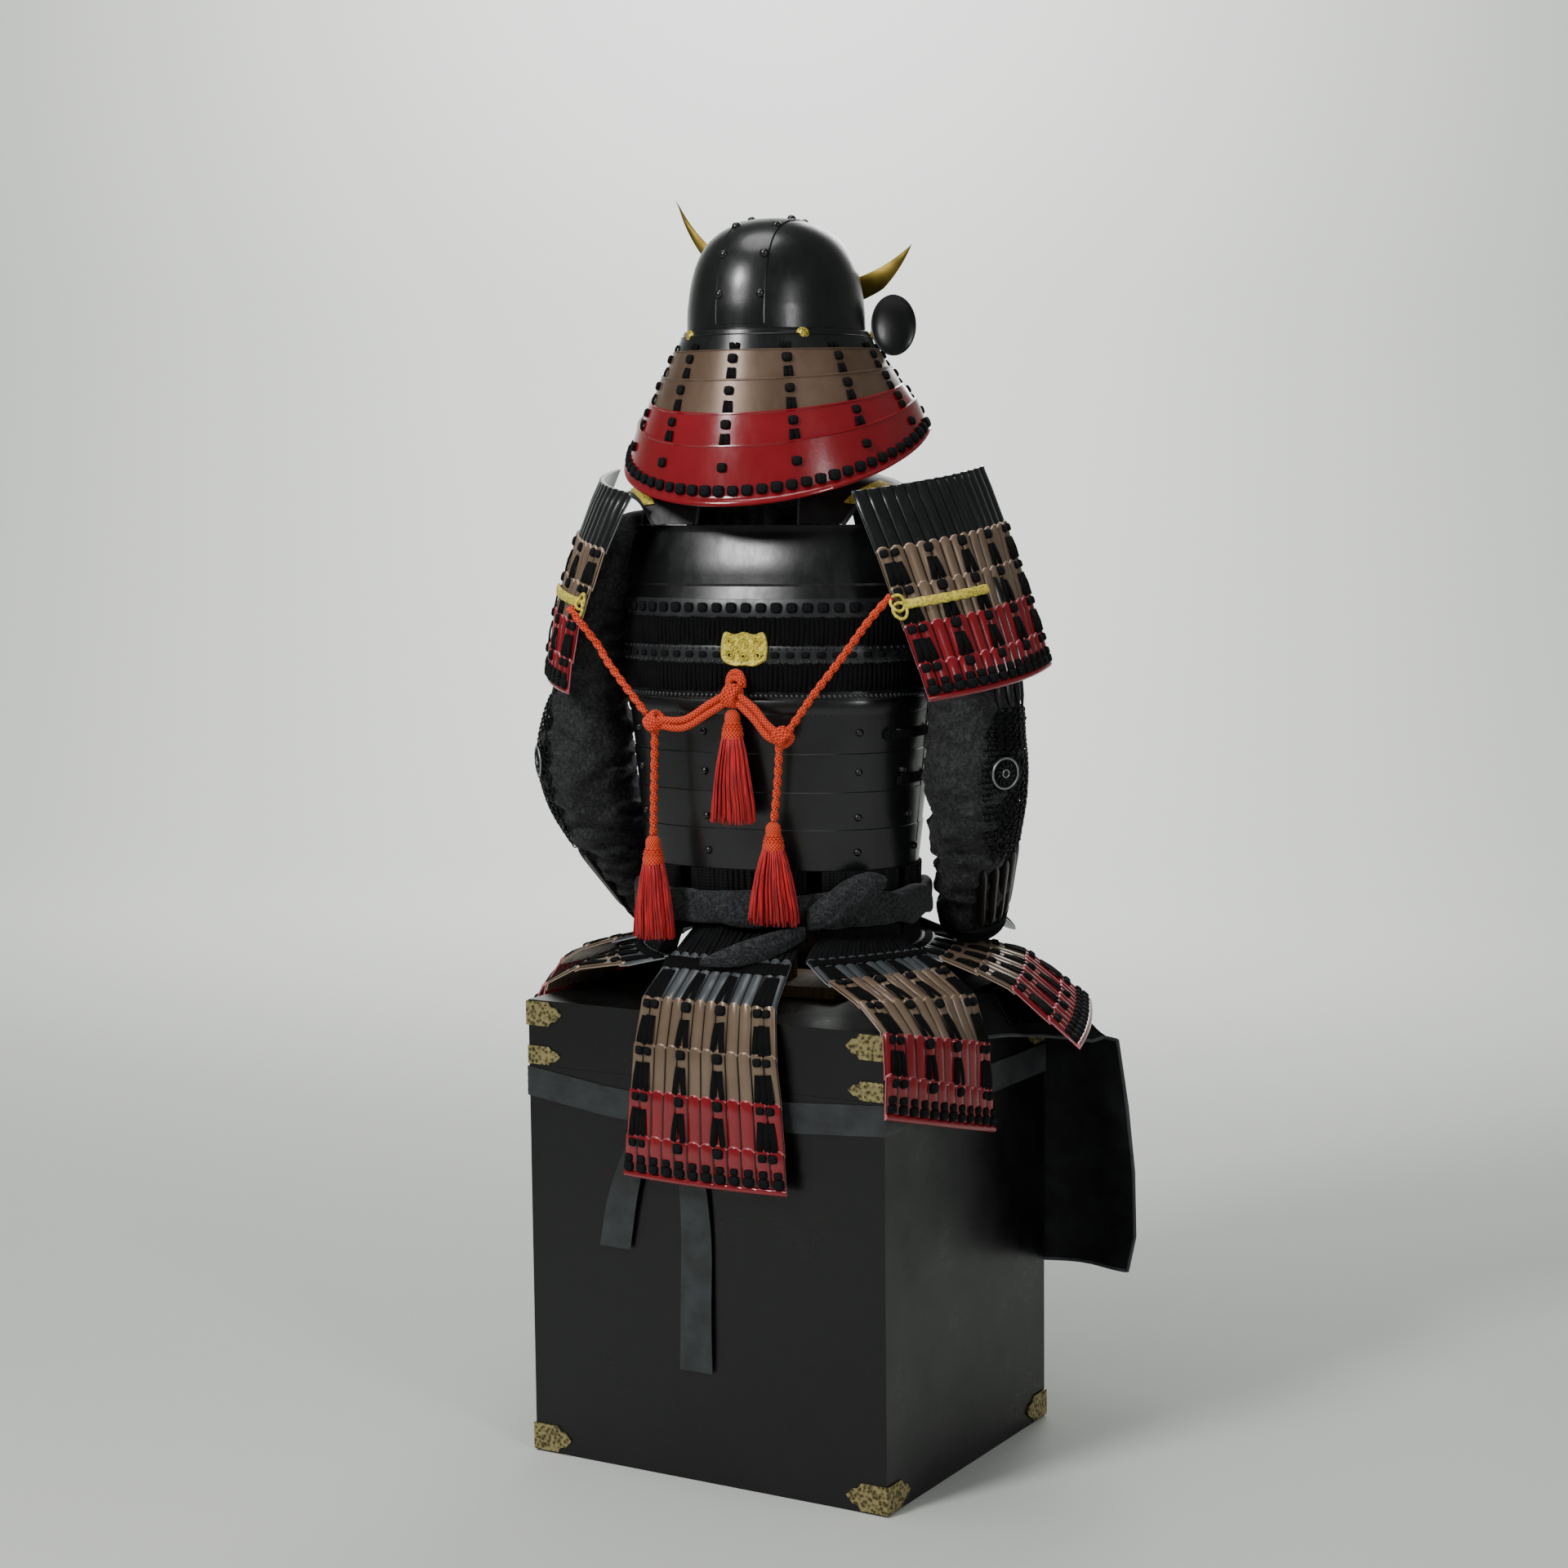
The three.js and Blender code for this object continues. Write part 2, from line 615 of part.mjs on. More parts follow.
/** The crest plate with its foot. */
function helmetCrest() {
  const angleOf = (arc, tip) => Math.atan2(tip.z - arc.z, tip.x - arc.x);
  const { outer, inner, leftTip, rightTip } = CREST;
  const sheet = new THREE.Shape();
  sheet.absarc(outer.x, outer.z, outer.radius, angleOf(outer, rightTip) + 0.03, angleOf(outer, leftTip) - 0.03, false);
  sheet.lineTo(leftTip.x, leftTip.z);
  sheet.absarc(inner.x, inner.z, inner.radius, angleOf(inner, leftTip) - 0.04, angleOf(inner, rightTip) + 0.05, true);
  sheet.lineTo(rightTip.x, rightTip.z);
  const options = { depth: CREST.thick, bevelEnabled: false, curveSegments: 9 };
  const plate = new THREE.ExtrudeGeometry(sheet, options).rotateX(radians(90));
  plate.translate(0, CREST.y, 0);
  const foot = block(10, CREST.y + 12, 1352, 16, 29, 35);
  return joined([plate, foot]);
}

/*
 * A sleeve: a tube of crepe from the shoulder to the wrist, open at both ends. The rows are
 * its rings: middle, radius, how far the splints stand out of the cloth on its outer side,
 * how deep its creases are, and how far the left sleeve is pressed in under its guard.
 */
const SLEEVE = [
  { x: 150, y: 8, z: 1082, radius: 46, splint: 0, fold: 0, tuck: 0 },
  { x: 184, y: 9, z: 1070, radius: 50, splint: 0, fold: 1, tuck: 0 },
  { x: 218, y: 11, z: 1040, radius: 55, splint: 1, fold: -1, tuck: 6.6 },
  { x: 235, y: 12, z: 1000, radius: 55.5, splint: 2.4, fold: 1.5, tuck: 10.6 },
  { x: 239, y: 13, z: 952, radius: 54, splint: 2.4, fold: -1, tuck: 8.6 },
  { x: 243, y: 15, z: 905, radius: 56, splint: 2.4, fold: 2, tuck: 8.6 },
  { x: 244, y: 16, z: 865, radius: 57, splint: 0, fold: -2, tuck: 2 },
  { x: 245, y: 16, z: 828, radius: 59, splint: 0, fold: 2.5, tuck: 0 },
  { x: 243, y: 8, z: 792, radius: 57, splint: 0, fold: -2.5, tuck: 0 },
  { x: 236, y: -10, z: 757, radius: 53, splint: 0, fold: 2, tuck: 0 },
  { x: 227, y: -36, z: 722, radius: 49, splint: 2.2, fold: -1, tuck: 0 },
  { x: 218, y: -62, z: 688, radius: 45, splint: 2.2, fold: 1, tuck: 0 },
  { x: 210, y: -86, z: 656, radius: 41, splint: 1.6, fold: -0.5, tuck: 0 },
  { x: 206, y: -98, z: 641, radius: 38, splint: 0, fold: 2.5, tuck: 0 },
  { x: 203, y: -108, z: 628, radius: 36, splint: 0, fold: -1, tuck: 0 },
];
const SLEEVE_SIDES = 16;
// The side next to the body is pressed flatter.
const SLEEVE_PRESS = 0.09;

/** A ring of one side's sleeve. */
function sleeveRing(side, i) {
  const row = SLEEVE[Math.min(Math.max(i, 0), SLEEVE.length - 1)];
  const inwards = side > 0 ? row.tuck : 0;
  return { ...row, x: row.x - inwards, radius: row.radius - inwards };
}

/** A point on a sleeve at a ring, an angle round it and a distance inside the cloth's face. */
function sleevePoint(side, i, angle, less, plain) {
  const row = sleeveRing(side, i);
  const [before, after] = [sleeveRing(side, i - 1), sleeveRing(side, i + 1)];
  const along = point(side * (after.x - before.x), after.y - before.y, after.z - before.z).normalize();
  const sideways = along.clone().cross(point(0, 1, 0)).normalize();
  const backward = sideways.clone().cross(along);
  const facing = side > 0 ? angle : 180 - angle;
  const column = Math.round((angle / 360) * SLEEVE_SIDES);
  const onOuterSide = Math.cos(radians(facing - 180)) < 0.2 && !plain;
  const splint = onOuterSide && column % 2 === 0 ? row.splint : 0;
  const crease = plain ? 0 : row.fold * Math.cos(radians(facing * 2 - 90));
  const press = 1 - SLEEVE_PRESS * Math.max(0, Math.cos(radians(facing - 180)));
  const radius = (row.radius + splint + crease) * press - less;
  return point(side * row.x, row.y, row.z)
    .addScaledVector(sideways, radius * Math.cos(radians(angle)))
    .addScaledVector(backward, radius * Math.sin(radians(angle)));
}

/** The sleeve of one side. */
function sleeve(side) {
  const rings = range(SLEEVE.length);
  const few = rings.filter((i) => i % 2 === 0);
  const outer = grid(rings, spread(SLEEVE_SIDES, 0, 360), (a, i) => sleevePoint(side, i, a, 0, false));
  const inner = grid(few, spread(SLEEVE_SIDES / 2, 0, 360), (a, i) => sleevePoint(side, i, a, CLOTH + 3, true));
  return wall(outer, inner, true);
}

/** The round boss on the elbow. */
function elbowBoss(side) {
  const angle = side > 0 ? 36 : 144;
  const near = sleevePoint(side, 7, angle, 0, false);
  const middle = point(side * SLEEVE[7].x, SLEEVE[7].y, SLEEVE[7].z);
  const away = near.clone().sub(middle).setZ(0).normalize();
  const foot = near.clone().addScaledVector(away, -0.2);
  return bar(foot, foot.clone().addScaledVector(away, 4.5), 20, 20, 17);
}

/** The plate over the back of the hand, from the wrist forwards. */
function handPlate(side) {
  const rows = [
    { x: 202, y: -137.3, z: 650, half: 33, bow: 19 },
    { x: 200, y: -154, z: 638, half: 39, bow: 17 },
    { x: 197, y: -176, z: 624, half: 41, bow: 14 },
    { x: 193, y: -199, z: 614, half: 34, bow: 9 },
    { x: 190, y: -215, z: 610, half: 15, bow: 3 },
  ];
  const at = (u, row, down) => point(side * (row.x + u * row.half), row.y, row.z - row.bow * u * u - down);
  return wall(
    grid(rows, spread(6, -1, 1), (u, row) => at(u, row, 0)),
    grid(rows, spread(6, -1, 1), (u, row) => at(u, row, PLATE)),
  );
}

/*
 * The belt: a soft roll of crepe tied round the waist over the lacing. The section is a
 * rounded oval, and the roll swells and sinks along its length as twisted cloth does.
 */
const BELT = { z: 664, half: 20, inside: 1.4, thick: 16, swell: 2, turns: 9 };
const BELT_SECTION = [
  { out: 0, up: -0.72 },
  { out: 0.55, up: -1 },
  { out: 1, up: -0.45 },
  { out: 1, up: 0.45 },
  { out: 0.55, up: 1 },
  { out: 0, up: 0.72 },
];

/** A point of the belt's roll, round the waist and round its own section. */
function beltPoint(angle, corner) {
  const wave = Math.sin(radians(angle * BELT.turns));
  const height = BELT.half + BELT.swell * wave * corner.up;
  const out = BELT.inside + (BELT.thick + BELT.swell * wave) * corner.out;
  return torso(angle, BELT.z, out).setZ(BELT.z + corner.up * height);
}

/** The belt's ring. */
function beltRing() {
  const corners = [];
  const count = BELT_SECTION.length;
  for (const i of range(CELLS)) {
    const [from, to] = [90 + i * CELL, 90 + (i + 1) * CELL];
    for (const k of range(count)) {
      const [one, two] = [BELT_SECTION[k], BELT_SECTION[(k + 1) % count]];
      const [a, b] = [beltPoint(from, one), beltPoint(to, one)];
      const [c, d] = [beltPoint(to, two), beltPoint(from, two)];
      corners.push(a, b, c, a, c, d);
    }
  }
  return body(corners);
}

/** A soft flat lens of cloth along rows of {middle, half height, thickness}. */
function clothRoll(rows, outward) {
  const sides = 8;
  const ringPoint = (row, a) => {
    const [c, s] = [Math.cos(radians(a)), Math.sin(radians(a))];
    const away = outward(row);
    return point(row.x, row.y, row.z + row.half * s).addScaledVector(away, row.thick * c);
  };
  const corners = [];
  const rings = rows.map((row) => spread(sides, 0, 360).map((a) => ringPoint(row, a)));
  for (const i of range(rows.length - 1)) {
    for (const j of range(sides)) {
      const [a, b] = [rings[i][j], rings[i][j + 1]];
      const [c, d] = [rings[i + 1][j + 1], rings[i + 1][j]];
      corners.push(a, b, c, a, c, d);
    }
  }
  for (const j of range(sides)) {
    const [first, last] = [rings[0], rings[rows.length - 1]];
    const [start, end] = [rows[0], rows[rows.length - 1]];
    corners.push(point(start.x, start.y, start.z), first[j + 1], first[j]);
    corners.push(point(end.x, end.y, end.z), last[j], last[j + 1]);
  }
  return body(corners);
}

/** The end of the belt that crosses over the roll, and the leaf-shaped end that hangs out. */
function beltEnd(rows) {
  const placed = rows.map((row) => {
    const base = torso(row.angle, BELT.z, row.out);
    return { x: base.x, y: base.y, z: row.z, half: row.half, thick: row.thick };
  });
  return clothRoll(placed, (row) => point(row.x, row.y, 0).normalize());
}

const BELT_CROSSING = [
  { angle: 146, z: 697, out: 23.4, half: 7, thick: 5 },
  { angle: 137, z: 693, out: 26.4, half: 17, thick: 8.5 },
  { angle: 128, z: 682, out: 27.4, half: 21, thick: 9.5 },
  { angle: 120, z: 668, out: 27.4, half: 20, thick: 9 },
  { angle: 112, z: 656, out: 25.5, half: 13, thick: 6 },
];
const BELT_TAIL = [
  { angle: 111, z: 641.5, out: 28.5, half: 7, thick: 4 },
  { angle: 105.5, z: 636, out: 43, half: 12, thick: 4 },
  { angle: 99, z: 628.6, out: 60, half: 15, thick: 4 },
  { angle: 92, z: 619.4, out: 75, half: 13, thick: 4 },
  { angle: 86, z: 610.4, out: 82, half: 4, thick: 2 },
];

/*
 * The thigh apron: two panels of cloth that lie over the lid, drop over its side and hang
 * in front of the box past its side. Rows go from the back edge on the lid to the hem.
 */
const APRON = { onLid: 6, past: 3, lidEdge: HALF_W + 4 };
const APRON_ROWS = [
  { y: 40, z: 552.9, inside: 124, outside: 262, drop: 34, fold: 0 },
  { y: -40, z: 555, inside: 120, outside: 272, drop: 44, fold: 0 },
  { y: -106, z: 556, inside: 104, outside: 280, drop: 56, fold: 0 },
  { y: -170, z: 555, inside: 40, outside: 292, drop: 68, fold: 0 },
  { y: -206, z: 554, inside: 9, outside: 304, drop: 76, fold: 0 },
  { y: -216, z: 534, inside: 8, outside: 316, drop: 52, fold: 1 },
  { y: -218, z: 480, inside: 8, outside: 334, drop: 0, fold: 3 },
  { y: -219, z: 400, inside: 8, outside: 348, drop: 0, fold: 5 },
  { y: -220, z: 320, inside: 8, outside: 357, drop: 0, fold: 7 },
  { y: -221, z: 240, inside: 8, outside: 358, drop: 0, fold: 8 },
  { y: -221, z: 196, inside: 9, outside: 348, drop: 0, fold: 8 },
];

/** One panel of the apron, 1 for the left and -1 for the right. */
function apronPanel(side) {
  const at = (u, row, under) => {
    const onLid = Math.min(u, 1);
    const past = Math.max(u - 1, 0);
    const x = mix(row.inside, APRON.lidEdge, onLid) + (row.outside - APRON.lidEdge) * past;
    const wave = row.fold * Math.cos((x / row.outside) * Math.PI * 5);
    const hangs = row.z < 540 ? 1 : 0;
    const lies = 1 - hangs;
    return point(
      side * (x - under * lies * past * 0.9),
      row.y - wave + under * hangs,
      row.z - row.drop * past ** 1.3 - under * lies * (1 - past * 0.5),
    );
  };
  const across = [...spread(APRON.onLid, 0, 1), ...spread(APRON.past, 1, 2).slice(1)];
  return wall(
    grid(APRON_ROWS, across, (u, row) => at(u, row, 0)),
    grid(APRON_ROWS, across, (u, row) => at(u, row, CLOTH + 0.4)),
  );
}

// The tape that ties the apron round the box, just under the lid, and its loose ends.
const BAND = { top: 470, height: 35, gap: 0.4, thick: 1.6, gather: 6 };

/** The band of the tape, a flat ring round the box. */
function tapeBand() {
  const outline = (less) => {
    const [w, d] = [HALF_W + less, HALF_D + less];
    return [[w, -d], [w, d], [w * 0.55, d], [w * 0.2, d], [-w, d], [-w, -d], [w, -d]];
  };
  const sag = [0, 0, 14, 20, 0, 0, 0];
  const ringAt = (less, z) => outline(less).map(([x, y], i) => point(x, y, z - sag[i]));
  const [near, far] = [BAND.gap, BAND.gap + BAND.thick];
  return wall(
    [ringAt(far, BAND.top - BAND.height), ringAt(far, BAND.top)],
    [ringAt(near, BAND.top - BAND.height), ringAt(near, BAND.top)],
    true,
  );
}

/** A loose end of the tape, from rows of {x, y, z} and a half width. */
function tapeTail(rows) {
  const at = (u, row, under) => point(row.x + u * row.half, row.y - under + row.curl * u * u, row.z);
  return wall(
    grid(rows, [-1, 0, 1], (u, row) => at(u, row, 0)),
    grid(rows, [-1, 0, 1], (u, row) => at(u, row, BAND.thick)),
  );
}

const TAIL_LONG = [
  { x: 8, y: 209, z: 132, half: 22, curl: -1 },
  { x: 7, y: 208.6, z: 210, half: 21, curl: 1 },
  { x: 6, y: 209, z: 300, half: 20, curl: -1 },
  { x: 14, y: 208.6, z: 380, half: 17, curl: 1 },
  { x: 31, y: 210, z: 429.4, half: 8, curl: 0 },
];
const TAIL_SHORT = [
  { x: 118, y: 210, z: 266, half: 21, curl: -1 },
  { x: 105, y: 209, z: 330, half: 20, curl: 1 },
  { x: 84, y: 210, z: 390, half: 15, curl: 0 },
  { x: 55.4, y: 211, z: 429.1, half: 7, curl: 0 },
];

/** The knot of the tape, flat under the back skirt. */
function tapeKnot() {
  return new THREE.SphereGeometry(1, 10, 6)
    .scale(26, 5.4, 13)
    .translate(43, HALF_D + BAND.gap + BAND.thick + 5.8, 441.5);
}

/*
 * The wooden stand inside, finished plainly: a board on the lid, a post, a yoke that fills
 * the shoulders, and a round block under the crown.
 */
const STAND = { board: 14, boardHalfX: 86, boardHalfY: 58, post: 17, head: 1416.6 };
const YOKE = { y: 20, mid: 1168.5, end: 1138, reach: 158, radius: 14, endRadius: 12 };

/** The stand as one piece. */
function woodenStand() {
  const foot = BOX.height + SEAM;
  const boardShape = block(0, 0, foot + STAND.board / 2, STAND.boardHalfX * 2, STAND.boardHalfY * 2, STAND.board);
  const post = bar(point(0, 0, foot + 4), point(0, 0, STAND.head - 16), STAND.post, 12);
  const yoke = [-1, 1].map((side) => bar(
    point(0, YOKE.y, YOKE.mid),
    point(side * YOKE.reach, YOKE.y, YOKE.end),
    YOKE.radius,
    10,
    YOKE.endRadius,
  ));
  const head = new THREE.SphereGeometry(1, 12, 7).scale(50, 56, 40).translate(0, 0, STAND.head);
  return joined([boardShape, post, ...yoke, head]);
}

// A tassel hangs against the back plate, so its skirt is flatter than it is wide.
const TASSEL_FLAT = 0.5;

/** A tassel: a bound head and a skirt of strands rooted in it. */
function tassel({ x, y, z, length, foot }) {
  const head = new THREE.LatheGeometry(
    [[0, 0], [5, -1], [9, -7], [8, -18], [13, -26], [14, -33], [0, -33]]
      .map(([r, h]) => new THREE.Vector2(r, h)).reverse(),
    8,
  ).rotateX(radians(90));
  const rings = [{ count: 13, root: 10.8, end: foot }, { count: 7, root: 5.4, end: foot * 0.5 }];
  const strands = rings.flatMap(({ count, root, end }) => range(count).map((i) => {
    const angle = radians((i * 360) / count);
    const reach = length - 4 * ((i * 7) % 5) / 4;
    const from = point(root * Math.cos(angle), root * Math.sin(angle), -31);
    const to = point(end * Math.cos(angle), end * Math.sin(angle) * TASSEL_FLAT, -reach);
    return bar(from, to, 1.9, 3);
  }));
  const all = joined([head, ...strands]);
  return all.translate(x, y, z);
}

/*
 * The cords of the back: a run from each shoulder guard to the bow, the bow itself, and two
 * pendants with tassels. Each route is a list of points chosen by hand.
 */
const CORD_D = 10;
const RUN_RIGHT = [
  [-195, 155, 1029], [-183, 155.5, 1017], [-168, 156, 1000], [-150, 151, 979], [-134, 152, 958],
  [-118, 153, 938], [-104, 153, 921], [-92, 153, 905], [-81, 153, 890], [-70.5, 152, 876.2],
];
const RUN_LEFT = [
  [200, 159, 1014], [191, 158.5, 1003], [180, 156, 988], [168, 150, 970], [158, 151, 954],
  [146, 152, 939], [135, 152, 925], [125, 152, 913], [116, 152, 902], [107.6, 152, 892],
];
const PENDANT_LEFT = [[98, 149, 873.1], [98.5, 149, 850], [100, 148, 820], [101.5, 147, 785], [103, 146, 750]];
const PENDANT_RIGHT = [[-57, 149, 857.2], [-56, 149, 838], [-54, 148, 815], [-51, 147, 790], [-48.5, 146, 771]];

/** The bow: strands between the two end knots through the middle knot, fused as one. */
function bow() {
  const tubes = [
    [[94, 149.5, 882], [60, 149.5, 883], [28, 148.5, 901], [6, 148, 914]],
    [[-6, 148, 914], [-26, 148.5, 896], [-42, 149.5, 877], [-60, 150, 864]],
  ].map((points) => cordTube(points, CORD_D * 1.5, 5));
  const knots = [
    { x: 1, y: 147, z: 914, wide: 17, deep: 11.5, high: 15 },
    { x: 98, y: 150, z: 883, wide: 16, deep: 10, high: 9.5 },
    { x: -62, y: 150, z: 868, wide: 13, deep: 10, high: 10 },
    { x: -1, y: 140, z: 935, wide: 10, deep: 8.3, high: 15 },
  ].map((k) => new THREE.SphereGeometry(1, 8, 6).scale(k.wide, k.deep, k.high).translate(k.x, k.y, k.z));
  return joined([...tubes, ...knots]);
}

/** The gilt plate that carries the bow on the back plate. */
function bowPlate() {
  const plate = new THREE.Shape();
  plate.moveTo(-27, -12);
  plate.quadraticCurveTo(-30, 6, -24, 20);
  plate.lineTo(24, 20);
  plate.quadraticCurveTo(30, 6, 27, -12);
  plate.quadraticCurveTo(12, -26, 0, -20);
  plate.quadraticCurveTo(-12, -26, -27, -12);
  const geometry = new THREE.ExtrudeGeometry(plate, { depth: 3, bevelEnabled: false, curveSegments: 4 });
  geometry.rotateX(radians(90));
  return geometry.translate(-8, 130 + 3, 966);
}

/** The box's body: boards, an open top and a lip inside the lid. */
function boxBody() {
  const inner = BOX.board + BOX.lip;
  const outer = block(0, 0, LID_Z / 2, BOX.width, BOX.depth, LID_Z);
  const lip = block(0, 0, LID_Z / 2 + BOX.lipRise / 2 + 50, BOX.width - BOX.board * 2, BOX.depth - BOX.board * 2,
    LID_Z + BOX.lipRise - 100);
  const lowRoom = BOX.board;
  const room = block(0, 0, (LID_Z + BOX.lipRise + lowRoom) / 2 + 10, BOX.width - inner * 2, BOX.depth - inner * 2,
    LID_Z + BOX.lipRise - lowRoom + 20);
  return shape(solid(outer).add(solid(lip)).subtract(solid(room)));
}

/** The lid: a tray turned over the lip. */
function boxLid() {
  const height = BOX.lid - SEAM;
  const outer = block(0, 0, BOX.height - height / 2, BOX.width, BOX.depth, height);
  const wallIn = BOX.board - 0.6;
  const room = block(0, 0, LID_Z + (BOX.lid - BOX.board) / 2 - 5, BOX.width - wallIn * 2, BOX.depth - wallIn * 2,
    BOX.lid - BOX.board + 10);
  return shape(solid(outer).subtract(solid(room)));
}

// The brass corners: a leaf's half height and length at the foot and on the lid, and its sheet.
const FITTING = { thick: 2, footZ: 18, footHalf: 16, footLength: 54, lidZ: 534, lidHalf: 14.5, lidLength: 50 };
// A leaf's outline from its folded edge: the share of its length, and of its half height.
const LEAF = [[0, -1], [0.64, -1], [0.72, -0.6], [0.84, -0.55], [1, 0], [0.84, 0.55], [0.72, 0.6], [0.64, 1], [0, 1]];

/** A brass corner: two leaves of sheet folded round an upright edge, at signs sx and sy. */
function brassCorner(sx, sy, z, half, length) {
  const outline = new THREE.Shape(LEAF.map(([s, h]) => new THREE.Vector2(-s * length, h * half)));
  const sheet = () => new THREE.ExtrudeGeometry(outline, { depth: FITTING.thick, bevelEnabled: false })
    .rotateX(radians(90));
  const [edgeX, edgeY] = [HALF_W + SEAM, HALF_D + SEAM];
  const alongX = sheet().translate(edgeX + FITTING.thick, edgeY + FITTING.thick, z);
  const alongY = sheet().rotateZ(radians(90)).translate(edgeX, edgeY + FITTING.thick, z);
  let corner = solid(alongX).add(solid(alongY));
  if (sx < 0) {
    corner = corner.mirror([1, 0, 0]);
  }
  if (sy < 0) {
    corner = corner.mirror([0, 1, 0]);
  }
  return shape(corner);
}

piece(part, "box_body", boxBody(), LACQUER);
piece(part, "box_lid", boxLid(), LACQUER);
for (const [sx, sy, place] of [[1, 1, "left_back"], [-1, 1, "right_back"], [1, -1, "left_front"], [-1, -1, "right_front"]]) {
  const { footZ, footHalf, footLength, lidZ, lidHalf, lidLength } = FITTING;
  piece(part, `brass_foot_${place}`, brassCorner(sx, sy, footZ, footHalf, footLength), BRASS);
  piece(part, `brass_lid_${place}`, brassCorner(sx, sy, lidZ, lidHalf, lidLength), BRASS);
}
piece(part, "apron_left", apronPanel(1), CREPE);
piece(part, "apron_right", apronPanel(-1), CREPE);
piece(part, "tape_band", tapeBand(), TAPE);
piece(part, "tape_knot", tapeKnot(), TAPE);
piece(part, "tape_tail_long", tapeTail(TAIL_LONG), TAPE);
piece(part, "tape_tail_short", tapeTail(TAIL_SHORT), TAPE);
piece(armour, "stand", woodenStand(), WOOD);
piece(armour, "do_back", cuirassHalf(DO_BACK, 90, 18), BLACK);
piece(armour, "do_front", cuirassHalf(DO_FRONT, 270, 18), BLACK);
SKIRT_NAMES.forEach((name, index) => piece(part, `kusazuri_${name}`, skirtPanel(name, index), RED));
for (const [side, word] of [[1, "left"], [-1, "right"]]) {
  piece(armour, `strap_${word}`, shoulderStrap(side), BLACK);
  piece(armour, `sode_${word}`, shoulderGuard(side), RED);
  piece(armour, `sleeve_${word}`, sleeve(side), CREPE);
  piece(armour, `elbow_boss_${word}`, elbowBoss(side), BLACK);
  piece(armour, `hand_plate_${word}`, handPlate(side), BLACK);
  piece(armour, `helmet_ear_${word}`, helmetEar(side), BLACK);
}
piece(armour, "helmet_bowl", helmetBowl(), BLACK);
piece(armour, "helmet_peak", helmetPeak(), BLACK);
piece(armour, "helmet_crest", helmetCrest(), GOLD);
const NECK_PAINTS = [BLACK, BROWN, BROWN, RED, RED];
range(NECK.lames).forEach((i) => piece(armour, `neck_lame_${i + 1}`, neckLame(i), NECK_PAINTS[i]));
piece(armour, "belt", beltRing(), CREPE);
piece(armour, "belt_crossing", beltEnd(BELT_CROSSING), CREPE);
piece(armour, "belt_tail", beltEnd(BELT_TAIL), CREPE);
piece(armour, "bow_plate", bowPlate(), GOLD);
piece(armour, "cord_bow", bow(), CORD);
piece(armour, "cord_run_left", cordTube(RUN_LEFT, CORD_D, 12), CORD);
piece(armour, "cord_run_right", cordTube(RUN_RIGHT, CORD_D, 12), CORD);
piece(armour, "cord_pendant_left", cordTube(PENDANT_LEFT, CORD_D, 8), CORD);
piece(armour, "cord_pendant_right", cordTube(PENDANT_RIGHT, CORD_D, 8), CORD);
piece(armour, "tassel_left", tassel({ x: 103.2, y: 147, z: 749.6, length: 124, foot: 25 }), TASSEL);
piece(armour, "tassel_right", tassel({ x: -48.2, y: 148, z: 770.6, length: 121, foot: 31 }), TASSEL);
piece(armour, "tassel_middle", tassel({ x: 1, y: 147.5, z: 898.4, length: 133, foot: 27 }), TASSEL);

export default part;
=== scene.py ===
import logging
import math
from dataclasses import dataclass, field
from enum import Enum
from typing import Callable, Optional, Sequence, Union

import bmesh
import bpy
import numpy as np
from mathutils import Matrix, Vector


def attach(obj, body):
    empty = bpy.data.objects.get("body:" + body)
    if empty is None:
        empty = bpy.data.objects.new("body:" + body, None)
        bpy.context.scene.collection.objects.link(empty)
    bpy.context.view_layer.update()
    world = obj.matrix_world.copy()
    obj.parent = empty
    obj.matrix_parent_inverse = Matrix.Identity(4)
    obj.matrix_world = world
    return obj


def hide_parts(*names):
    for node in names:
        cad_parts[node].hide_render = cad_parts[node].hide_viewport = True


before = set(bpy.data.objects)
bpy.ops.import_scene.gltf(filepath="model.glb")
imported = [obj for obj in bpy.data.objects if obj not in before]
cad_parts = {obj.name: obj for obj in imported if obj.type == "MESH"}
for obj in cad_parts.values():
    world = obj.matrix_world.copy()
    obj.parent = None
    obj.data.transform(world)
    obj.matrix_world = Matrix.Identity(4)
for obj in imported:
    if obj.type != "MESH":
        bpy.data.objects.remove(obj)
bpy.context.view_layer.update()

LOG = logging.getLogger("armour")
MM = 0.001
BODY = "root"

# The armour's turn on its box and its shift to its own left, as the solids have them.
BODY_TURN = math.radians(9)
BODY_SHIFT = 8.5

Array = np.ndarray
Number = Union[float, Array]


def vec(*values: float) -> Array:
    """A point or direction as an array."""
    return np.array(values, float)


def unit(v: Array) -> Array:
    """Directions made one long."""
    return v / np.maximum(np.linalg.norm(v, axis=-1, keepdims=True), 1e-9)


def mix(a: Number, b: Number, t: Number) -> Number:
    """A value between two others."""
    return a + (b - a) * t


def turned(points: Array) -> Array:
    """Points of the armour's own frame in the part's frame."""
    c, s = math.cos(BODY_TURN), math.sin(BODY_TURN)
    x, y = points[..., 0] + BODY_SHIFT, points[..., 1]
    return np.stack([c * x - s * y, s * x + c * y, points[..., 2]], -1)


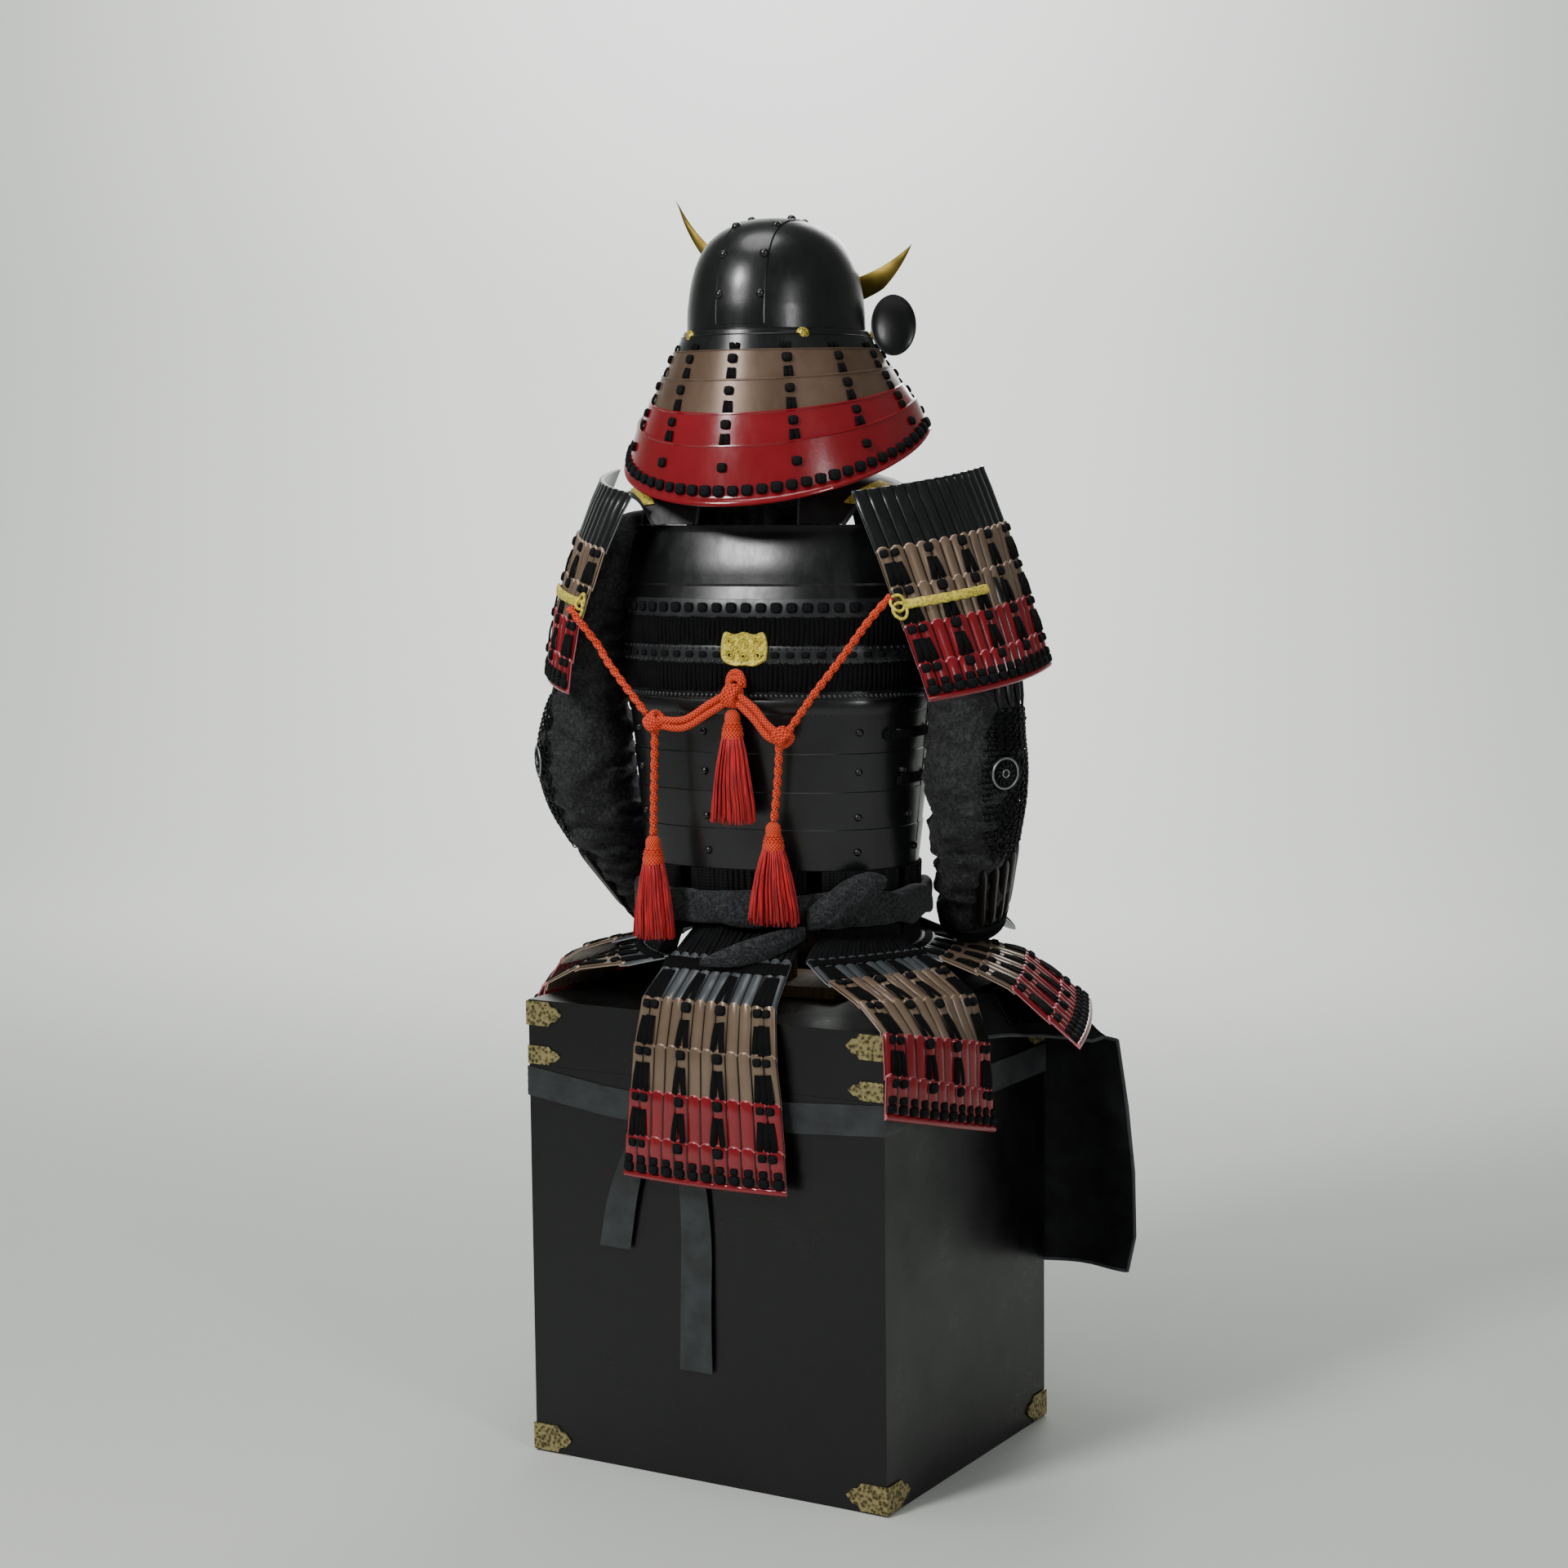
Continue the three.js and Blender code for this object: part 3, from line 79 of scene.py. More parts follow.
def curve(points: Sequence[Sequence[float]], count: int) -> Array:
    """A smooth line through points.

    Args:
        points: the points that it passes through.
        count: how many points it gets.

    Returns:
        The line's points, evenly spread along it.
    """
    p = np.array(points, float)
    ends = np.vstack([2 * p[0] - p[1], p, 2 * p[-1] - p[-2]])
    line = []
    for i in range(1, len(ends) - 2):
        a, b, c, d = ends[i - 1], ends[i], ends[i + 1], ends[i + 2]
        for t in np.linspace(0, 1, 24, endpoint=False):
            line.append(0.5 * (2 * b + (c - a) * t + (2 * a - 5 * b + 4 * c - d) * t * t
                               + (3 * b - a - 3 * c + d) * t ** 3))
    line = np.array(line + [p[-1]])
    reach = np.concatenate([[0], np.cumsum(np.linalg.norm(np.diff(line, axis=0), axis=1))])
    at = np.linspace(0, reach[-1], count)
    return np.stack([np.interp(at, reach, line[:, k]) for k in range(p.shape[1])], 1)


def full_turn(count: int) -> Array:
    """Angles evenly spaced round a circle."""
    return np.linspace(0, 2 * math.pi, count, endpoint=False)


def length_of(line: Array) -> float:
    """The length of a line of points."""
    return float(np.linalg.norm(np.diff(line, axis=0), axis=1).sum())


def noise(points: Array, scale: float, seed: int) -> Array:
    """Soft repeatable waves over points, from -1 to 1.

    Args:
        points: where they are wanted.
        scale: the size of a wave in millimetres.
        seed: which set of waves.

    Returns:
        One value for each point.
    """
    rng = np.random.default_rng(seed)
    total = np.zeros(points.shape[:-1])
    for _ in range(7):
        direction = unit(rng.normal(size=3))
        size = scale * rng.uniform(0.6, 1.7)
        total += np.sin(points @ direction * (2 * math.pi / size) + rng.uniform(0, 2 * math.pi))
    return total / 3.2


# Finishes. Each is one real material, and its tree is built from real sizes.


def linear(colour: str) -> tuple[float, float, float, float]:
    """An sRGB hex colour as linear red, green, blue and alpha."""
    values = [int(colour[i:i + 2], 16) / 255 for i in (0, 2, 4)]
    return (*[v / 12.92 if v <= 0.04045 else ((v + 0.055) / 1.055) ** 2.4 for v in values], 1.0)


def add_node(tree: bpy.types.NodeTree, kind: str, inputs: Optional[dict] = None,
             **settings) -> bpy.types.Node:
    """Adds a node with its settings and links.

    Args:
        tree: the tree that it goes into.
        kind: the node's type name.
        inputs: a value or another node's output for each input name or number.
        settings: the node's own properties.

    Returns:
        The node.
    """
    node = tree.nodes.new(kind)
    for name, value in settings.items():
        setattr(node, name, value)
    for key, value in (inputs or {}).items():
        if isinstance(value, bpy.types.NodeSocket):
            tree.links.new(value, node.inputs[key])
        else:
            node.inputs[key].default_value = value
    return node


def math_node(tree: bpy.types.NodeTree, operation: str, *values) -> bpy.types.NodeSocket:
    """The output of a sum of values or outputs."""
    return add_node(tree, "ShaderNodeMath", dict(enumerate(values)), operation=operation).outputs[0]


class Space(Enum):
    """Where a pattern takes its places from."""

    OBJECT = "Object"
    UV = "UV"


@dataclass(frozen=True)
class Finish:
    """One real material: its name, the record's slot, its colour and its gloss."""

    name: str
    slot: str
    colour: str
    roughness: float
    metallic: float = 0.0
    coat: float = 0.0
    sheen: float = 0.0
    specular: float = 0.5

    def material(self) -> bpy.types.Material:
        """The material, made once.

        Returns:
            The material with this finish's tree.
        """
        found = bpy.data.materials.get(self.name)
        if found:
            return found
        made = bpy.data.materials.new(self.name)
        made.use_nodes = True
        tree = made.node_tree
        shader = tree.nodes["Principled BSDF"]
        shader.inputs["Metallic"].default_value = self.metallic
        shader.inputs["Roughness"].default_value = self.roughness
        shader.inputs["Specular IOR Level"].default_value = self.specular
        shader.inputs["Coat Weight"].default_value = self.coat
        shader.inputs["Coat Roughness"].default_value = 0.12
        shader.inputs["Sheen Weight"].default_value = self.sheen
        shader.inputs["Sheen Roughness"].default_value = 0.4
        self.dress(tree, shader)
        made.diffuse_color = linear(self.colour)
        return made

    def place(self, tree: bpy.types.NodeTree, space: Space, per_mm: float = 1.0,
              stretch: Sequence[float] = (1, 1, 1)) -> bpy.types.NodeSocket:
        """Places for a pattern, counted in its own real size.

        Args:
            tree: the material's tree.
            space: object coordinates or the UV map, both in metres.
            per_mm: the pattern's size in millimetres.
            stretch: how much finer the pattern is along each axis.

        Returns:
            The output that gives the places.
        """
        base = add_node(tree, "ShaderNodeTexCoord").outputs[space.value]
        scale = [1000 / per_mm * s for s in stretch]
        return add_node(tree, "ShaderNodeMapping", {"Vector": base, "Scale": scale}).outputs[0]

    def blend(self, tree: bpy.types.NodeTree, factor: bpy.types.NodeSocket, low: str,
              high: str) -> bpy.types.NodeSocket:
        """A colour between two hex colours by a factor."""
        node = add_node(tree, "ShaderNodeMix", {"Factor": factor, 6: linear(low), 7: linear(high)},
                        data_type="RGBA")
        return node.outputs[2]

    def spread(self, tree: bpy.types.NodeTree, value: bpy.types.NodeSocket, low: float, high: float,
               to_low: float, to_high: float) -> bpy.types.NodeSocket:
        """A value moved from one span to another, and held inside it."""
        return add_node(tree, "ShaderNodeMapRange",
                        {0: value, 1: low, 2: high, 3: to_low, 4: to_high}).outputs[0]

    def bump(self, tree: bpy.types.NodeTree, shader: bpy.types.Node, height: bpy.types.NodeSocket,
             depth: float, after: Optional[bpy.types.NodeSocket] = None) -> bpy.types.NodeSocket:
        """Relief on the shader from a height.

        Args:
            tree: the material's tree.
            shader: the Principled shader.
            height: the height, 0 to 1.
            depth: how deep it is, in millimetres.
            after: relief that this one goes on top of.

        Returns:
            The new relief, so that another can go on top.
        """
        inputs = {"Height": height, "Distance": depth * MM, "Strength": 1.0}
        if after:
            inputs["Normal"] = after
        node = add_node(tree, "ShaderNodeBump", inputs)
        tree.links.new(node.outputs[0], shader.inputs["Normal"])
        return node.outputs[0]

    def dress(self, tree: bpy.types.NodeTree, shader: bpy.types.Node) -> None:
        """Gives the shader its colour, gloss and relief."""
        shader.inputs["Base Color"].default_value = linear(self.colour)


@dataclass(frozen=True)
class Lacquer(Finish):
    """Brushed and polished lacquer on iron, hide or wood: slow waves, fine grain and faint rubbing."""

    light: str = "303234"
    grain: float = 0.9
    rubbing: float = 0.12

    def dress(self, tree: bpy.types.NodeTree, shader: bpy.types.Node) -> None:
        """Gives the lacquer its cloudy colour, uneven gloss and orange-peel relief."""
        cloud = add_node(tree, "ShaderNodeTexNoise",
                         {"Vector": self.place(tree, Space.OBJECT, 55), "Scale": 1.0,
                                                      "Detail": 4.0}).outputs[0]
        speck = add_node(tree, "ShaderNodeTexNoise", {"Vector": self.place(tree, Space.OBJECT, self.grain),
                                                      "Scale": 1.0, "Detail": 2.0}).outputs[0]
        share = math_node(tree, "MULTIPLY", self.spread(tree, cloud, 0.35, 0.7, 0, 0.5),
                          self.spread(tree, speck, 0.3, 0.7, 0.4, 1))
        tree.links.new(self.blend(tree, share, self.colour, self.light), shader.inputs["Base Color"])
        rub = add_node(tree, "ShaderNodeTexNoise",
                       {"Vector": self.place(tree, Space.OBJECT, 14, (1, 1, 0.35)),
                                                    "Scale": 1.0, "Detail": 6.0,
                                                    "Roughness": 0.7}).outputs[0]
        gloss = self.spread(tree, rub, 0.45, 0.75, self.roughness, self.roughness + self.rubbing)
        tree.links.new(gloss, shader.inputs["Roughness"])
        peel = add_node(tree, "ShaderNodeTexNoise",
                        {"Vector": self.place(tree, Space.OBJECT, 5), "Scale": 1.0}).outputs[0]
        relief = self.bump(tree, shader, peel, 0.05)
        self.bump(tree, shader, speck, 0.015, relief)


@dataclass(frozen=True)
class RibbedLacquer(Lacquer):
    """Lacquer on a ribbed lame: painted shade in the gaps between the ribs, and paler along the scalloped
    top.
    """

    gap_shade: str = "0a0a0b"
    pale_top: str = "8c8c8a"

    def dress(self, tree: bpy.types.NodeTree, shader: bpy.types.Node) -> None:
        """Paints shade into the gaps between the ribs and makes the top edge paler, from a UV map that counts
        10 mm for each rib.
        """
        super().dress(tree, shader)
        base = shader.inputs["Base Color"].links[0].from_socket
        parts = add_node(tree, "ShaderNodeSeparateXYZ", {0: self.place(tree, Space.UV, 10)})
        # Painted shade: the colour goes dark near each rib's edge, in the gaps between the ribs, but not on
        # the last lame's plain foot.
        near = self.spread(tree, math_node(tree, "PINGPONG", parts.outputs[0], 0.5), 0.03, 0.09, 1, 0)
        near = math_node(tree, "MULTIPLY", near, math_node(tree, "LESS_THAN", parts.outputs[1], 50.0))
        dark = add_node(tree, "ShaderNodeMix", {"Factor": near, 6: base, 7: linear(self.gap_shade)},
                        data_type="RGBA").outputs[2]
        # Paler along the scalloped top edge of each lame.
        edge = self.spread(tree, parts.outputs[1], 0.02, 0.2, 0.75, 0)
        pale = add_node(tree, "ShaderNodeMix", {"Factor": edge, 6: dark, 7: linear(self.pale_top)},
                        data_type="RGBA").outputs[2]
        tree.links.new(pale, shader.inputs["Base Color"])


@dataclass(frozen=True)
class BoxLacquer(Finish):
    """Thin lacquer over boards: satin, with fine upright scuffs and dust."""

    light: str = "3a3c3e"

    def dress(self, tree: bpy.types.NodeTree, shader: bpy.types.Node) -> None:
        """Gives the boards their scuffs, dust and slow waves."""
        scuff = add_node(tree, "ShaderNodeTexNoise",
                         {"Vector": self.place(tree, Space.OBJECT, 9, (1, 1, 0.12)),
                                                      "Scale": 1.0, "Detail": 8.0,
                                                      "Roughness": 0.75}).outputs[0]
        dust = add_node(tree, "ShaderNodeTexNoise",
                        {"Vector": self.place(tree, Space.OBJECT, 90), "Scale": 1.0,
                                                     "Detail": 6.0, "Roughness": 0.65}).outputs[0]
        marks = self.spread(tree, scuff, 0.62, 0.74, 0, 0.55)
        share = math_node(tree, "MAXIMUM", marks, self.spread(tree, dust, 0.45, 0.8, 0, 0.5))
        tree.links.new(self.blend(tree, share, self.colour, self.light), shader.inputs["Base Color"])
        gloss = self.spread(tree, dust, 0.3, 0.7, self.roughness - 0.04, self.roughness + 0.14)
        tree.links.new(gloss, shader.inputs["Roughness"])
        relief = self.bump(tree, shader, dust, 0.25)
        self.bump(tree, shader, scuff, 0.04, relief)


@dataclass(frozen=True)
class Silk(Finish):
    """Flat braided silk lacing: dark, dull, with slanting plaits along its length, painted lighter on their
    ridges and darker in their grooves.
    """

    light: str = "3a3b3f"
    plait: float = 1.9

    def dress(self, tree: bpy.types.NodeTree, shader: bpy.types.Node) -> None:
        """Gives the lace its slanting plaits from its UV map, with painted highlight on their ridges and
        painted shade in their grooves.
        """
        parts = add_node(tree, "ShaderNodeSeparateXYZ", {0: self.place(tree, Space.UV, self.plait)})
        fold = math_node(tree, "PINGPONG", parts.outputs[0], 1.0)
        ridge = math_node(tree, "SINE",
                          math_node(tree, "MULTIPLY", math_node(tree, "ADD", parts.outputs[1], fold),
                                    3.1416))
        height = self.spread(tree, ridge, -1, 1, 0, 1)
        # Painted highlight and shade: the colour follows the plaits' relief, lighter on the ridges and darker
        # in the grooves.
        tree.links.new(self.blend(tree, height, self.colour, self.light), shader.inputs["Base Color"])
        self.bump(tree, shader, height, 0.25)


@dataclass(frozen=True)
class Braid(Finish):
    """Round braided cord: two sets of strands cross over each other, painted lighter on their crests and
    darker between them, with painted glints where they cross.
    """

    light: str = "f2794f"
    painted_glint: str = "f3b45f"
    strands: float = 4.4

    def dress(self, tree: bpy.types.NodeTree, shader: bpy.types.Node) -> None:
        """Gives the cord its crossing strands from its UV map, with painted highlight on their crests,
        painted shade between them and painted glints where they cross.
        """
        parts = add_node(tree, "ShaderNodeSeparateXYZ", {0: self.place(tree, Space.UV, self.strands)})
        u, v = parts.outputs[0], parts.outputs[1]
        one = math_node(tree, "SINE", math_node(tree, "MULTIPLY", math_node(tree, "ADD", u, v), 3.1416))
        other = math_node(tree, "SINE",
                          math_node(tree, "MULTIPLY", math_node(tree, "SUBTRACT", v, u), 3.1416))
        height = math_node(tree, "MAXIMUM", math_node(tree, "ABSOLUTE", one),
                           math_node(tree, "ABSOLUTE", other))
        # Painted highlight and shade: lighter on the strands' crests, darker in the grooves between them.
        tone = self.blend(tree, self.spread(tree, height, 0.55, 1, 0, 1), self.colour, self.light)
        # Painted glints: pale spots on the tops where the two sets of strands cross.
        spots = math_node(tree, "MULTIPLY", math_node(tree, "ABSOLUTE", one),
                          math_node(tree, "ABSOLUTE", other))
        mixed = add_node(tree, "ShaderNodeMix",
                         {"Factor": self.spread(tree, spots, 0.72, 0.95, 0, 0.6), 6: tone,
                                                 7: linear(self.painted_glint)}, data_type="RGBA").outputs[2]
        tree.links.new(mixed, shader.inputs["Base Color"])
        self.bump(tree, shader, height, 0.9)


@dataclass(frozen=True)
class Crepe(Finish):
    """Crumpled crepe: a dull crinkled cloth, with painted highlight on its crests."""

    light: str = "45464a"
    crinkle: float = 4.5

    def dress(self, tree: bpy.types.NodeTree, shader: bpy.types.Node) -> None:
        """Gives the cloth its crinkles and its fine thread, with painted highlight on the crests of the
        crinkles.
        """
        crush = add_node(tree, "ShaderNodeTexNoise",
                         {"Vector": self.place(tree, Space.OBJECT, self.crinkle),
                                                      "Scale": 1.0, "Detail": 6.0,
                                                      "Distortion": 1.1}).outputs[0]
        thread = add_node(tree, "ShaderNodeTexVoronoi",
                          {"Vector": self.place(tree, Space.OBJECT, 1.1), "Scale": 1.0}).outputs[0]
        # Painted highlight: the colour is lighter where the crinkles stand up, from the same noise as the
        # relief.
        share = math_node(tree, "MULTIPLY", self.spread(tree, crush, 0.42, 0.68, 0, 1),
                          self.spread(tree, thread, 0, 0.8, 1, 0.5))
        tree.links.new(self.blend(tree, share, self.colour, self.light), shader.inputs["Base Color"])
        relief = self.bump(tree, shader, crush, 1.6)
        self.bump(tree, shader, thread, 0.12, relief)


@dataclass(frozen=True)
class Satin(Finish):
    """Woven satin tape or plain cloth: long floats that shine along the thread, with painted highlight on the
    raised parts of its creases.
    """

    light: str = "6a6e72"
    thread: float = 1.4

    def dress(self, tree: bpy.types.NodeTree, shader: bpy.types.Node) -> None:
        """Gives the cloth its threads and soft creases, painted lighter where the creases stand up."""
        weave = add_node(tree, "ShaderNodeTexWave",
                         {"Vector": self.place(tree, Space.OBJECT, self.thread * 20), "Scale": 20 / 6.283,
                                                     "Distortion": 1.5, "Detail": 1.0},
                                                     bands_direction="Z").outputs[1]
        fold = add_node(tree, "ShaderNodeTexNoise",
                        {"Vector": self.place(tree, Space.OBJECT, 30), "Scale": 1.0,
                         "Detail": 5.0}).outputs[0]
        # Painted highlight: lighter where the fold relief stands up.
        tree.links.new(self.blend(tree, self.spread(tree, fold, 0.35, 0.7, 0, 1), self.colour, self.light),
                       shader.inputs["Base Color"])
        relief = self.bump(tree, shader, fold, 1.0)
        self.bump(tree, shader, weave, 0.05, relief)


@dataclass(frozen=True)
class WorkedMetal(Finish):
    """Cast or hammered metal: dimples or scrollwork whose hollows have darkened."""

    dark: str = "4a4024"
    dimple: float = 5.0
    depth: float = 0.9
    scroll: float = 0.0

    def dress(self, tree: bpy.types.NodeTree, shader: bpy.types.Node) -> None:
        """Gives the metal its dimples and the dark of its hollows."""
        at = self.place(tree, Space.OBJECT, self.dimple)
        cells = add_node(tree, "ShaderNodeTexVoronoi", {"Vector": at, "Scale": 1.0, "Smoothness": 0.6},
                         feature="SMOOTH_F1").outputs[0]
        swirl = add_node(tree, "ShaderNodeTexNoise",
                         {"Vector": at, "Scale": 1.3, "Detail": 3.0, "Distortion": 2.2}).outputs[0]
        height = math_node(tree, "ADD", math_node(tree, "MULTIPLY", cells, 1 - self.scroll),
                           math_node(tree, "MULTIPLY", swirl, self.scroll))
        bright = self.spread(tree, height, 0.25, 0.62, 0.15, 1)
        tree.links.new(self.blend(tree, bright, self.dark, self.colour), shader.inputs["Base Color"])
        tree.links.new(self.spread(tree, height, 0.2, 0.7, self.roughness + 0.25, self.roughness),
                       shader.inputs["Roughness"])
        self.bump(tree, shader, height, self.depth)


@dataclass(frozen=True)
class Strand(Finish):
    """Loose silk strands: deep colour that changes from strand to strand."""

    light: str = "ee3a3a"

    def dress(self, tree: bpy.types.NodeTree, shader: bpy.types.Node) -> None:
        """Gives each strand its own shade."""
        tone = add_node(tree, "ShaderNodeTexNoise",
                        {"Vector": self.place(tree, Space.OBJECT, 3.2, (1, 1, 0.12)), "Scale": 1.0,
                                                     "Detail": 3.0}).outputs[0]
        tree.links.new(self.blend(tree, self.spread(tree, tone, 0.35, 0.65, 0, 1), self.colour, self.light),
                       shader.inputs["Base Color"])
        self.bump(tree, shader, tone, 0.4)


@dataclass(frozen=True)
class Wood(Finish):
    """Planed cedar: long grain lines and a little gloss."""

    light: str = "c9a878"

    def dress(self, tree: bpy.types.NodeTree, shader: bpy.types.Node) -> None:
        """Gives the wood its grain."""
        grain = add_node(tree, "ShaderNodeTexNoise",
                         {"Vector": self.place(tree, Space.OBJECT, 7, (1, 1, 0.06)), "Scale": 1.0,
                                                      "Detail": 5.0}).outputs[0]
        tree.links.new(self.blend(tree, self.spread(tree, grain, 0.35, 0.65, 0, 1), self.colour,
                                  self.light), shader.inputs["Base Color"])
        self.bump(tree, shader, grain, 0.2)


# Black lacquer on the iron plates: deep, glossy, cloudy where it is rubbed.
BLACK = Lacquer("black_lacquer_on_iron", "black_lacquer", "08090a", 0.29, coat=0.1, light="1b1c1e")
# Brown lacquer with metal dust in it: satin, with a fine sparkle.
BROWN = Lacquer("brown_dusted_lacquer", "brown_lacquer", "5f4a3a", 0.33, metallic=0.3, light="86705f",
                grain=0.8)
# Red lacquer: the glossiest, with hard white lights.
RED = Lacquer("red_lacquer_on_iron", "red_lacquer", "7d0b16", 0.18, coat=0.3, light="93202b", rubbing=0.08)
# Brown and red again, on lames with ribs, with painted shade in the gaps between the ribs and a paler top
# edge.
BROWN_RIBS = RibbedLacquer("brown_dusted_ribs", "brown_lacquer", "75614f", 0.3, metallic=0.3,
                           light="9b8875", grain=0.8,
                           gap_shade="15100c", pale_top="c0a58f")
RED_RIBS = RibbedLacquer("red_lacquer_ribs", "red_lacquer", "7d0b16", 0.18, coat=0.3, light="93202b",
                         rubbing=0.08,
                         gap_shade="240205", pale_top="d0707a")
# Worn black on the bands, beads and first skirt lames: greyer than the plates.
GREY = Lacquer("worn_black_lacquer", "black_lacquer", "1b1d1f", 0.34, light="3c3f42")
# The ribbed grey has painted shade in the gaps between its ribs and a paler top edge.
GREY_RIBS = RibbedLacquer("worn_black_ribs", "black_lacquer", "3a3e41", 0.34, light="62676b", pale_top="a0a5a8")
# The armour box: thin black lacquer, near black, satin.
BOX = BoxLacquer("black_lacquer_on_boards", "box_lacquer", "040505", 0.28, light="161718", specular=0.4)
# Lacing, cords and tassels of silk.
LACE = Silk("braided_silk_lace", "black_lacquer", "060607", 0.85, light="17181a", specular=0.15)
CORD = Braid("braided_silk_cord", "silk_cord", "a81a0e", 0.75, sheen=0.08, light="e5482a", painted_glint="f09a54",
             specular=0.25)
TASSEL = Strand("twisted_silk_strands", "silk_tassel", "8c0a12", 0.6, sheen=0.12, light="d31c22")
# Sleeves, belt and collar of crepe, the plain cloth of the apron and linings, and the satin tape.
CREPE = Crepe("crumpled_silk_crepe", "crepe", "0a0a0b", 0.75, sheen=0.08, light="3e3f42", specular=0.4)
BELT_CREPE = Crepe("belt_crepe", "crepe", "0e0f10", 0.8, sheen=0.1, light="484a4e", crinkle=3.2,
                   specular=0.35)
CLOTH = Satin("plain_lining_cloth", "crepe", "09090a", 0.8, light="18191b", specular=0.2)
TAPE = Satin("grey_satin_tape", "satin_tape", "1b1d1f", 0.42, sheen=0.12, light="2e3134")
PIPING = Satin("grey_piping", "satin_tape", "2a2c2e", 0.7, light="45484b", thread=1.0)
# Brass on the box, gilt on the plate and bars, and the crest's satin gilt.
BRASS = WorkedMetal("aged_hammered_brass", "brass", "a99c6e", 0.42, metallic=0.85, dark="37301c",
                    dimple=4.5)
FILIGREE = WorkedMetal("gilt_scrollwork", "gilt", "f8e45c", 0.36, metallic=0.2, dark="463508", dimple=3.6,
                       depth=1.2, scroll=0.55)
GILT = WorkedMetal("satin_gilt", "gilt", "806d30", 0.32, metallic=0.9, dark="5c4d20", dimple=26, depth=0.05)
# Mail and elbow discs, and the discs' bright rims.
IRON = Lacquer("blackened_iron", "black_lacquer", "101112", 0.36, metallic=0.6, light="2a2c2f")
PALE_IRON = Lacquer("bright_iron", "black_lacquer", "8d9093", 0.35, metallic=0.9, light="b6b9bc")
# The helmet's bosses: brighter gilt with dark hollows.
GILT_BOSS = WorkedMetal("gilt_boss_metal", "gilt", "f0dc62", 0.28, metallic=0.7, dark="6a5a12", dimple=2.2,
                        depth=0.3)
# The shoulder straps' face: dull black leather.
LEATHER = Lacquer("black_leather", "black_lacquer", "090a0b", 0.5, light="18191b", grain=1.6)
# Black lacquer on the guards' first lames, with painted shade in the gaps between the ribs and a paler top
# edge.
IRON_RIBS = RibbedLacquer("rubbed_black_ribs", "black_lacquer", "0d0e0f", 0.2, coat=0.2, light="26282a",
                          pale_top="707477")
# The plain stand.
CEDAR = Wood("planed_cedar", "wood", "a67f52", 0.55)


